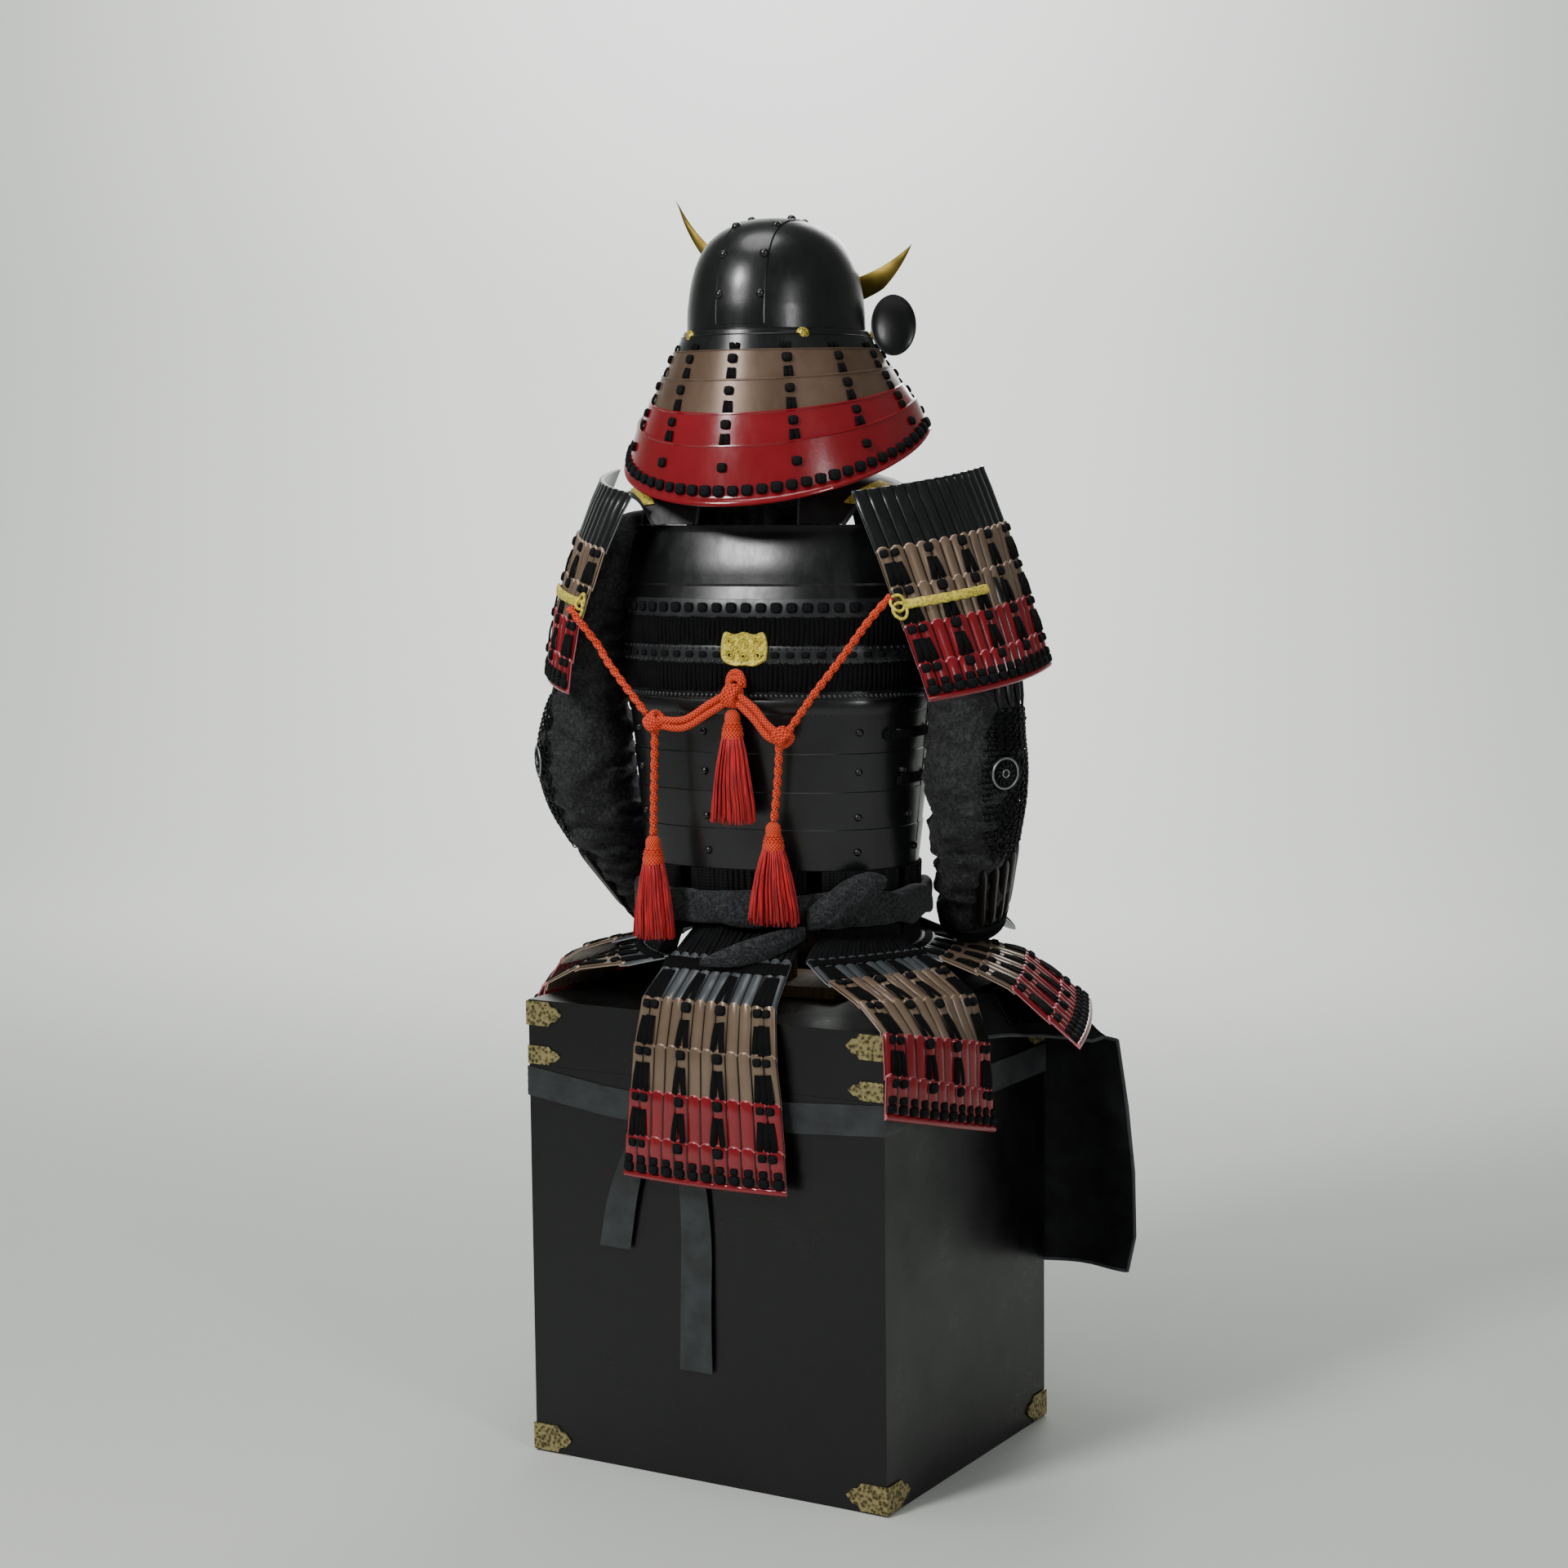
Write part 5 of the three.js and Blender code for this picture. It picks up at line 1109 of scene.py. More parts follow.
@dataclass
class Panel:
    """A laced panel: ribbed lames that lap downwards, each knotted and laced to the one above."""

    name: str
    node: str
    strip: Strip
    ribs: int
    first: int
    length: float
    half: float
    singles: tuple[float, ...]
    doubles: tuple[float, ...]
    finishes: tuple[Finish, ...] = (GREY_RIBS, BROWN_RIBS, BROWN_RIBS, RED_RIBS, RED_RIBS)
    foot_knots: int = 12
    scallop: float = 5
    comb: bool = True

    def columns(self) -> tuple[Array, Array]:
        """The columns of a ribbed skin: the places across, and the place in the rib, from -1 to 1."""
        steps = np.array([-1, -0.86, -0.45, 0, 0.45, 0.86])
        x = np.append(np.tile(steps, self.ribs), 1.0)
        u = np.append(np.repeat(np.arange(self.ribs), len(steps)) + (np.tile(steps, self.ribs) + 1) / 2,
                      self.ribs)
        return u / self.ribs * 2 - 1, np.abs(x)

    def ridge(self, x: Array) -> Array:
        """How far a rib stands up at a place in it."""
        return 2.5 * (1 - x ** 2.6) - 0.4 * (x > 0.95)

    def out(self, v: Number) -> Number:
        """How far a lame stands out from the strip at a share of its length."""
        return mix(2.6, 0.3, np.clip(v, 0, 1))

    def lame(self, build: Build, k: int) -> None:
        """Adds one lame.

        Args:
            build: the mesh that takes it.
            k: which lame, from the top.
        """
        last = k == len(self.finishes) - 1
        u, x = self.columns()
        ridge = self.ridge(x)
        lift = x ** 2.4 * self.scallop / self.length
        levels = [(0, -0.9, 0.5), (0.012, -0.2, 0.8), (0.045, 0, 1), (0.3, 0, 1), (0.6, 0, 1)]
        levels += [(0.8, 0, 1), (0.84, 0, 0.2), (0.87, 1.8, 0), (0.92, 2.9, 0), (0.97, 2.2, 0),
                   (1, 0.2, 0)] if last \
            else [(0.98, 0, 1), (1.17, 0, 1)]
        outer, inner = [], []
        for v, more, share in levels:
            s = self.first + k + lift * (1 - min(v, 1)) + v
            outer.append(self.strip.place(u, s, self.out(v) + more + ridge * share))
            inner.append(self.strip.place(u, s, self.out(v) - 1.9 + 0 * u))
        build.wall(np.array(outer), np.array(inner), us=(u + 1) / 2 * self.ribs * 10,
                   vs=np.array([v * self.length + (1000 if last and v > 0.82 else 0)
                                for v, _, _ in levels]))

    def lace(self, laces: Repeats, u: Sequence[float], s: Sequence[float], out: Sequence[float],
             width: float) -> None:
        """Adds one flat lace between two places.

        Args:
            laces: the repeats that take it.
            u: its places across at its two ends.
            s: its places down.
            out: how far its middle stands off the lame.
            width: its share of the pattern's width.
        """
        ends = self.strip.place(np.array(u), np.array(s), np.array(out))
        face = self.strip.normal((u[0] + u[1]) / 2, (s[0] + s[1]) / 2)
        laces.put(ends.mean(0), ends[1] - ends[0], face,
                  (width, float(np.linalg.norm(ends[1] - ends[0])) / 1000, 1))

    def spot(self, knots: Repeats, u: float, s: float, out: float, size: float = 1.0) -> None:
        """Adds one knot at a place."""
        at = self.strip.place(u, s, out)
        down = self.strip.place(u, s + 0.05, out) - at
        knots.put(at, down, self.strip.normal(u, s), (size, size, size))

    def lacing(self, laces: Repeats, knots: Repeats, rounds: Repeats) -> None:
        """Adds the knots and fans of every lame, and the rows of knots at the foot.

        Args:
            laces: takes the flat laces.
            knots: takes the square knots.
            rounds: takes the round knots.
        """
        pitch = 1 / self.half
        for k in range(len(self.finishes)):
            top = self.first + k
            last = k == len(self.finishes) - 1
            if k == 0 and self.comb:
                for u in np.linspace(-0.96, 0.96, int(self.half * 2 / 6.6)):
                    self.lace(laces, (u, u), (top + 0.13, top + 0.37), (4.3, 3.9), 1.2)
            for column in self.singles + self.doubles if k or self.comb else ():
                double = column in self.doubles
                spots = (-5.9 * pitch, 5.9 * pitch) if double else (0.0,)
                if k:
                    for shift in spots:
                        self.spot(knots, column + shift, top + 0.2, self.out(0.2) + 2.2,
                                  0.84 if double else 1.0)
                if last:
                    continue
                strands = (-1, 0, 1) if double else (-0.5, 0.5)
                gather, spread = (6.2, 8.3) if double else (5.2, 12)
                for strand in strands:
                    self.lace(laces, (column + strand * gather * pitch, column + strand * spread * pitch),
                              (top + 0.45, top + 1.04),
                              (self.out(0.45) + 2.8, 4.6), 1.5)
        foot = self.first + len(self.finishes) - 1
        for u in np.linspace(-1 + 7 * pitch, 1 - 7 * pitch, self.foot_knots):
            self.spot(rounds, u, foot + 0.555, self.out(0.6) + 2.4, 0.85)
            self.spot(rounds, u, foot + 0.745, self.out(0.75) + 2.0, 1.08)

    def build(self, laces: Repeats, knots: Repeats, rounds: Repeats) -> None:
        """Builds the lames, one piece for each finish, and adds their lacing."""
        for finish in dict.fromkeys(self.finishes if self.comb else self.finishes[1:]):
            build = Build()
            for k, own in enumerate(self.finishes):
                if own is finish:
                    self.lame(build, k)
            show(build.mesh(f"{self.name}_{finish.slot}", 50), f"{self.name}_{finish.slot}", finish,
                 [self.node])
        self.lacing(laces, knots, rounds)


# The lines across each skirt from its first lame down, as the solids have them: x, y and z of the
# middle, where it faces, its half width, its bow and its tilt.
SKIRTS = {
    "back": [(-15, 160, 612, 92, 79, 6), (-15, 212, 570, 91, 88, 5), (-15, 224, 518, 90, 95, 6),
             (-15, 227, 464, 90, 101),
             (-15, 229, 410, 90, 106), (-15, 230, 357, 90, 109)],
    "right_back": [(-150, 84, 612, 151, 76), (-196, 108, 597, 155, 84), (-242, 122, 577, 162, 92, 8, -6),
                   (-271, 126, 536, 170, 98, 8, -20), (-275, 126, 487, 172, 102, 8, -26),
                   (-277, 126, 434, 172, 105, 8, -26)],
    "right_side": [(-143, -56, 611, 201, 70), (-182, -70, 602, 201, 78), (-221, -85, 593, 201, 86, 8, 4),
                   (-260, -100, 579, 201, 91, 6, 8), (-299, -115, 547, 201, 94, 6, 10),
                   (-337, -130, 513, 201, 95, 6, 10)],
    "right_front": [(-62, -172, 612, 258, 74), (-72, -216, 590, 262, 82), (-80, -246, 544, 267, 90),
                    (-86, -250, 490, 270, 96),
                    (-90, -252, 436, 270, 100), (-94, -253, 383, 270, 103)],
    "left_front": [(92, -164, 612, 302, 74), (106, -212, 590, 290, 82), (112, -246, 544, 277, 90),
                   (116, -250, 490, 271, 96),
                   (120, -252, 436, 270, 100), (124, -253, 383, 270, 103)],
    "left_side": [(166, -14, 611, 355, 66, 10), (206, -17, 602, 351, 78, 10), (246, -29, 590, 347, 84, 10),
                  (284, -42, 570, 344, 88, 10), (319, -53, 534, 344, 90, 10), (350, -62, 495, 344, 91, 10)],
    "left_back": [(124, 110, 604, 46, 67), (174, 106, 594, 34, 76), (225, 84, 580, 18, 84, 5, 4),
                  (268, 57, 555, 6, 88, 4, 4),
                  (281, 47, 504, 2, 90, 5), (286, 43, 450, 1, 91, 5)],
}


@dataclass
class Skirts:
    """The seven skirts that hang round the waist, with the curtain of cords above each one."""

    bend: float = 636
    cords: int = 24

    def strip(self, name: str, index: int) -> Strip:
        """The strip of one skirt.

        Args:
            name: which skirt.
            index: its number round the waist, from the middle of the back.

        Returns:
            Its strip: two rings on the cuirass's form, then its lames.
        """
        middle = 90 + index * 7 * CELL

        def ring(z: float) -> Callable[[Array], Array]:
            """The section on the cuirass's form at a height."""
            return lambda u: turned(torso(middle + u * 3 * CELL, z, 0))

        return Strip([ring(DO_BOTTOM - 0.45), ring(self.bend), *[Section(*row) for row in SKIRTS[name]]])

    def curtain(self, name: str, strip: Strip) -> None:
        """Builds the lining and the hanging cords above one skirt's first lame."""
        lining, cords = Build(), Build()
        u = np.linspace(-1, 1, 25)
        s = np.array([0, 0.5, 1, 1.5, 2, 2.1])
        grid_u, grid_s = np.meshgrid(u, s)
        lining.wall(strip.place(grid_u, grid_s, -0.6), strip.place(grid_u, grid_s, -2.2), us=u * 75,
                    vs=s * 70)
        for i, across in enumerate(np.linspace(-0.965, 0.965, self.cords)):
            s = np.concatenate([np.linspace(0.02, 1.8, 8), [2.02, 2.12]])
            out = 1.5 + 0.8 * np.sin(s * 2.2 + i * 1.7)
            cords.tube(strip.place(across + 0 * s, s, out), 2.9, 6, 0.6, strip.normal(across, 1.0))
        show(lining.mesh(f"{name}_lining"), f"{name}_lining", CLOTH, [f"kusazuri_{name}"])
        show(cords.mesh(f"{name}_cords", 70), f"{name}_cords", LACE, [f"kusazuri_{name}"])

    def build(self, laces: Repeats, knots: Repeats, rounds: Repeats) -> None:
        """Builds all seven."""
        for index, name in enumerate(SKIRTS):
            strip = self.strip(name, index)
            self.curtain(name, strip)
            Panel(f"skirt_{name}", f"kusazuri_{name}", strip, 12, 2, 55, 96, (-0.27, 0.235),
                  (-0.82, 0.82)).build(laces, knots, rounds)


@dataclass
class ShoulderGuards:
    """The two shoulder guards with their gilt bars and rings."""

    rows: tuple = ((201, 52, 1160, 29, 101), (213, 56, 1136, 28, 103), (231, 60, 1096, 27, 104),
                   (248, 64, 1054, 26, 104),
                   (265, 68, 1012, 25, 105), (282, 72, 970, 24, 105), (298, 76, 927, 23, 105))
    tucks: tuple = (8, 9, 11, 14, 18, 28, 40)

    def strip(self, side: int) -> Strip:
        """The strip of one guard, 1 for the left and -1 for the right."""

        def section(row: Sequence[float], tuck: float) -> Callable[[Array], Array]:
            """One line across the guard; the left one hangs closer to the arm."""
            left = Section(row[0] + 10.5 - (tuck if side > 0 else 0), *row[1:], 27, -14)
            return lambda u: turned(left(u * side) * vec(side, 1, 1))

        return Strip([section(row, tuck) for row, tuck in zip(self.rows, self.tucks)])

    def top(self, word: str, strip: Strip, panel: Panel) -> None:
        """Builds the ribbed plate at the top, rolled at its edge."""
        u, x = panel.columns()
        s = np.array([0, 0.03, 0.08, 0.2, 0.6, 1, 1.5, 2, 2.15])
        roll, share = np.array([0.5, 2.4, 2.6, 0.9, 0.8, 0.7, 0.5, 0.3, 0.2]), np.array([0, 0, 0.6, 1, 1, 1,
                                                                                         1, 1, 1])
        across, down = np.meshgrid(u, s)
        build = Build()
        build.wall(strip.place(across, down, roll[:, None] + share[:, None] * panel.ridge(x)),
                   strip.place(across, down, -1.8),
                   us=(u + 1) / 2 * panel.ribs * 10, vs=s * 30 + 5)
        show(build.mesh(f"guard_top_{word}", 50), f"guard_top_{word}", IRON_RIBS, [f"sode_{word}"])

    def bar(self, word: str, side: int, strip: Strip) -> None:
        """Builds the scalloped gilt bar and the two rings that take the cord."""
        build = Build()
        u = np.linspace(0.94, -0.1, 61) * side
        wave = 4.6 + 0.9 * np.abs(np.sin(np.linspace(0, math.pi * 8, 61)))
        rows_out, rows_in = [], []
        for share, out in ((-1, 0), (-0.85, 1.1), (0, 1.9), (0.85, 1.1), (1, 0)):
            s = 3.55 + share * wave / 43
            rows_out.append(strip.place(u, s, 7.2 + out))
            rows_in.append(strip.place(u, s, 6.0))
        build.wall(np.array(rows_out), np.array(rows_in), us=u * 104, vs=np.arange(5) * 3.0)
        rim = strip.place(0.99 * side, 3.55, 7.5)
        face = strip.normal(0.99 * side, 3.55)
        down = unit(strip.plain(0.99 * side, 3.8) - strip.plain(0.99 * side, 3.4))
        across = np.cross(down, face)
        angles = full_turn(24)
        for shift, tip in ((0, 0.35), (9, -0.35)):
            middle = rim - down * 2 + down * shift + face * tip
            line = middle + np.outer(np.cos(angles) * 8, across) + np.outer(np.sin(angles) * 9.5, down)
            build.tube(line + np.outer(np.sin(angles * 2) * 1.2, face), 1.8, 8, closed=True)
        show(build.mesh(f"guard_bar_{word}", 60), f"guard_bar_{word}", FILIGREE)

    def build(self, laces: Repeats, knots: Repeats, rounds: Repeats) -> None:
        """Builds both."""
        for side, word in ((1, "left"), (-1, "right")):
            strip = self.strip(side)
            panel = Panel(f"guard_{word}", f"sode_{word}", strip, 14, 1, 43, 104, (-0.45, 0, 0.45),
                          (-0.88, 0.88),
                          (IRON_RIBS, BROWN_RIBS, BROWN_RIBS, RED_RIBS, RED_RIBS), foot_knots=14,
                          comb=False)
            self.top(word, strip, panel)
            panel.build(laces, knots, rounds)
            self.bar(word, side, strip)


@dataclass
class Cuirass:
    """The cuirass: riveted plates below, laced bands above, a plain plate at the top of the back."""

    back: tuple = ((709, 0, 91.5), (756, 1.2, 91.5), (757, 0, 91.5), (800, 1.2, 91.5), (801, 0, 91.5),
                   (845, 1.2, 91.5),
                   (846, 0, 91.5), (906, 1.4, 91.5), (908, 2.6, 91.5), (925, 1.6, 91.5), (957, 1.6, 84),
                   (973, 2.8, 79),
                   (1008, 1.2, 70), (1022, 2.6, 67), (1038, 0.6, 64), (1041, 2.8, 62), (1100, 1.8, 55),
                   (1108, 4.2, 54))
    front: tuple = ((709, 0, 87.5), (757, 1.2, 87.5), (758, 0, 87.5), (845, 1.2, 87.5), (846, 0, 87.5),
                    (925, 1.4, 84),
                    (973, 2.6, 72), (1022, 1.2, 62), (1041, 2.6, 57), (1088, 3.8, 52))
    wall: float = 3

    def half(self, name: str, node: str, table: tuple, middle: float) -> None:
        """Builds one half's plates as a fine wall.

        Args:
            name: the piece's name.
            node: the solid that it stands for.
            table: rows of height, how far out, and how far round.
            middle: 90 for the back, 270 for the front.
        """
        rows = np.array(table, float)
        heights = np.unique(np.concatenate([rows[:, 0], np.arange(rows[0, 0], rows[-1, 0], 9),
                                            rows[:, 0] - 0.5]))
        heights = heights[heights >= rows[0, 0]]
        u = np.linspace(-1, 1, 97)
        grid_u, z = np.meshgrid(u, heights)
        out = np.interp(z, rows[:, 0], rows[:, 1])
        reach = np.interp(z, rows[:, 0], rows[:, 2])
        flange = np.where((z > 1040) & (z < 1100) & (middle == 90),
                          np.clip((np.abs(grid_u) - 0.93) / 0.03, 0, 1) * 2.4, 0)
        outer = torso(middle + grid_u * reach, z, out + flange)
        inner = torso(middle + grid_u * reach, z, -self.wall)
        build = Build()
        build.wall(turned(outer), turned(inner), us=u * 280, vs=heights)
        show(build.mesh(name, 35), name, BLACK, [node])

    def face(self, angle: float, z: float) -> Array:
        """The way that the cuirass faces at a place."""
        across = torso(angle + 1, z, 0) - torso(angle - 1, z, 0)
        return unit(turned(np.cross(across, vec(0, 0, 1))) - turned(vec(0, 0, 0)))

    def angles(self, middle: float, z: float, pitch: float, edge: float = 0.97) -> Array:
        """Angles evenly spaced round one half at a height."""
        table = np.array(self.back if middle == 90 else self.front, float)
        reach = float(np.interp(z, table[:, 0], table[:, 2])) * edge
        fine = np.linspace(middle - reach, middle + reach, 400)
        line = torso(fine, z, 0)
        run = np.concatenate([[0], np.cumsum(np.linalg.norm(np.diff(line, axis=0), axis=1))])
        return np.interp(np.linspace(0, run[-1], int(run[-1] / pitch) + 1), run, fine)

    def band(self, build: Build, middle: float, low: float, high: float, out: float, tooth: float = 0,
             pitch: float = 17.3) -> None:
        """Adds a raised band round one half, its lower edge cut in scallops.

        Args:
            build: the mesh that takes it.
            middle: 90 or 270.
            low: its lower edge.
            high: its upper edge.
            out: how far it stands out.
            tooth: how deep the scallops are.
            pitch: how wide a scallop is.
        """
        angles = self.angles(middle, (low + high) / 2, 2.9, 0.985)
        count = np.arange(len(angles)) * 2.9 / pitch
        edge = tooth * np.abs(np.sin(count * math.pi)) ** 0.6
        rows_out, rows_in = [], []
        for share, less in ((0, 0.8), (0.12, 0), (0.5, -0.2), (0.88, 0), (1, 0.8)):
            z = mix(low - edge, high, share)
            rows_out.append(turned(torso(angles, z, out - less)))
            rows_in.append(turned(torso(angles, z, -1)))
        build.wall(np.array(rows_out), np.array(rows_in), us=count * pitch, vs=np.arange(5) * 4.0)

    def ropes(self, laces: Repeats, middle: float, low: float, high: float) -> None:
        """Adds a band of upright laces side by side."""
        for i, angle in enumerate(self.angles(middle, (low + high) / 2, 5.6, 0.95)):
            a, b = turned(torso(angle, high, 3.4)), turned(torso(angle + 0.35 * math.sin(i), low, 3.0))
            laces.put((a + b) / 2, b - a, self.face(angle, low),
                      (1.0, float(np.linalg.norm(b - a)) / 1000, 1.25))

    def row(self, spots: Repeats, middle: float, z: float, out: float, pitch: float, size: float,
            edge: float = 0.94) -> None:
        """Adds a row of knots or heads round one half."""
        for angle in self.angles(middle, z, pitch, edge):
            spots.put(turned(torso(angle, z, out)), vec(0, 0, -1), self.face(angle, z), (size, size, size))

    def rivets(self, rivets: Repeats) -> None:
        """Adds the rivets that hold the lower plates."""
        for z in (730, 771, 824, 870):
            drift = (870 - z) / 20
            for x, back in ((-134 + drift, True), (47, True), (146 - drift, True), (-168, True),
                            (-120, False), (-45, False),
                            (45, False), (120, False)):
                angle = angle_at(x, z, back)
                rivets.put(turned(torso(angle, z, 1.0)), vec(0, 0, 1), self.face(angle, z))

    def straps(self) -> None:
        """Builds the two tie straps at the armour's right side, where the halves meet."""
        build = Build()
        for z, low, high in ((866, 148, 186), (812, 158, 188)):
            angles = np.linspace(low, high, 16)
            rows_out = [turned(torso(angles, z + h, 5.2 - less))
                        for h, less in ((-5, 0.6), (-4, 0), (4, 0), (5, 0.6))]
            rows_in = [turned(torso(angles, z + h, 2.4)) for h in (-5, -4, 4, 5)]
            build.wall(np.array(rows_out), np.array(rows_in), us=angles * 3, vs=np.array([0, 1, 9, 10.0]))
            for angle in (low + 3, high - 4):
                middle = turned(torso(angle, z, 5.4))
                line = [middle + vec(0, 0, 7 * math.sin(a)) + self.side(angle, z) * 4 * math.cos(a)
                        for a in full_turn(16)]
                build.tube(np.array(line), 1.2, 6, closed=True)
        show(build.mesh("cuirass_side_ties"), "cuirass_side_ties", LACE)

    def side(self, angle: float, z: float) -> Array:
        """The way round the cuirass at a place."""
        return unit(turned(torso(angle + 1, z, 0)) - turned(torso(angle - 1, z, 0)))

    def build(self, laces: Repeats, knots: Repeats, rivets: Repeats) -> None:
        """Builds both halves, their bands, laces, knots, beads and rivets."""
        self.half("cuirass_back", "do_back", self.back, 90)
        self.half("cuirass_front", "do_front", self.front, 270)
        beads = Repeats("cuirass_beads", GREY, 0.06)
        ovals = Repeats("cuirass_oval_knots", LACE, 0.05)
        bands, foot = Build(), Build()
        for middle in (90, 270):
            self.band(bands, middle, 1004, 1024, 3.6, 3.5)
            self.band(bands, middle, 950, 970, 4.0, 2.0, 8.7)
            self.band(foot, middle, 893, 908, 2.7, 3.0, 5.9)
            self.ropes(laces, middle, 971, 1003)
            self.ropes(laces, middle, 918, 950)
            self.row(knots, middle, 1014, 4.4, 17.3, 1.0)
            self.row(ovals, middle, 960, 4.2, 17.5, 0.62)
            self.row(beads, middle, 912.5, 3.4, 6.0, 1.0)
            self.row(beads, middle, 952.5, 4.6, 8.7, 0.7)
            self.row(beads, middle, 967.5, 4.6, 8.7, 0.7)
        show(bands.mesh("cuirass_bands"), "cuirass_bands", GREY)
        show(foot.mesh("cuirass_serrated_band"), "cuirass_serrated_band", BLACK)
        self.rivets(rivets)
        beads.make(dome_shape(2.7, 1.6, 8))
        ovals.make(knot_shape(17, 12, 4.5))
        self.straps()


@dataclass
class ShoulderStraps:
    """The padded straps with their wings, piped at the edge and trimmed with gilt."""

    rows: tuple = ((101, 1109.15, 64, 118, 0), (90, 1141, 62, 138, 6), (62, 1166, 60, 166, 20),
                   (22, 1176, 60, 178, 30),
                   (-30, 1168, 60, 164, 24), (-76, 1138, 62, 130, 8), (-113, 1089.2, 62, 112, 0))

    def skin(self, side: int, u: Array, rows: Array, down: float) -> Array:
        """A skin of the strap at a depth below its face."""
        grid = []
        for y, z, inside, outside, fall in rows:
            steep = float(np.clip((abs(y) - 45) / 45, 0.2, 1))
            inward = -1 if y > 0 else 1
            grid.append(np.stack([side * mix(inside, outside, u), y + inward * down * steep + 0 * u,
                                  z - fall * u * u - down * (1 - steep * 0.8)], -1))
        return turned(np.array(grid))

    def collar(self) -> None:
        """Builds the dark cloth that closes the space between the straps, behind the post."""
        u, t = np.meshgrid(np.linspace(-1, 1, 61), np.linspace(0, 1, 26))
        z = 1062 + t * (130 - 54 * np.clip((np.abs(u) - 0.52) / 0.1, 0, 1))
        wave = 2.2 * np.sin(u * 31 + z * 0.01) + 2.0 * np.sin(u * 11 - z * 0.05 + 1)
        face = np.stack([u * 96, 70 - 16 * u * u + wave, z], -1)
        build = Build()
        build.wall(turned(face), turned(face - vec(0, 1.6, 0)), us=u[0] * 96, vs=t[:, 0] * 130)
        piece = show(build.mesh("collar_cloth", 60), "collar_cloth", CREPE)

    def build(self) -> None:
        """Builds both straps, their piping and their gilt trims."""
        self.collar()
        rows = curve(self.rows, 61)
        rows[:, 1] = np.minimum(rows[:, 1], 1176.5)
        for side, word in ((1, "left"), (-1, "right")):
            pad, edge, trim = Build(), Build(), Build()
            u = np.linspace(0, 1, 21)
            quilt = 0.5 * np.cos(u * math.pi * 8)
            top = self.skin(side, u, rows, 0) + quilt[None, :, None] * vec(0, 0, 1)
            pad.wall(top, self.skin(side, u, rows, 4), us=u * 100, vs=np.linspace(0, 320, len(rows)))
            show(pad.mesh(f"strap_pad_{word}"), f"strap_pad_{word}", LEATHER, [f"strap_{word}"])
            edge.tube(self.skin(side, vec(1.0), rows, 2)[:, 0], 3.0, 8)
            edge.tube(self.skin(side, vec(0.0), rows, 2)[:, 0], 2.4, 8)
            show(edge.mesh(f"strap_piping_{word}"), f"strap_piping_{word}", PIPING)
            part = rows[6:20]
            across = np.linspace(0.78, 0.97, 7)
            trim.wall(self.skin(side, across, part, -2.6), self.skin(side, across, part, -0.3),
                      us=across * 100,
                      vs=np.linspace(0, 60, len(part)))
            show(trim.mesh(f"strap_trim_{word}"), f"strap_trim_{word}", FILIGREE)


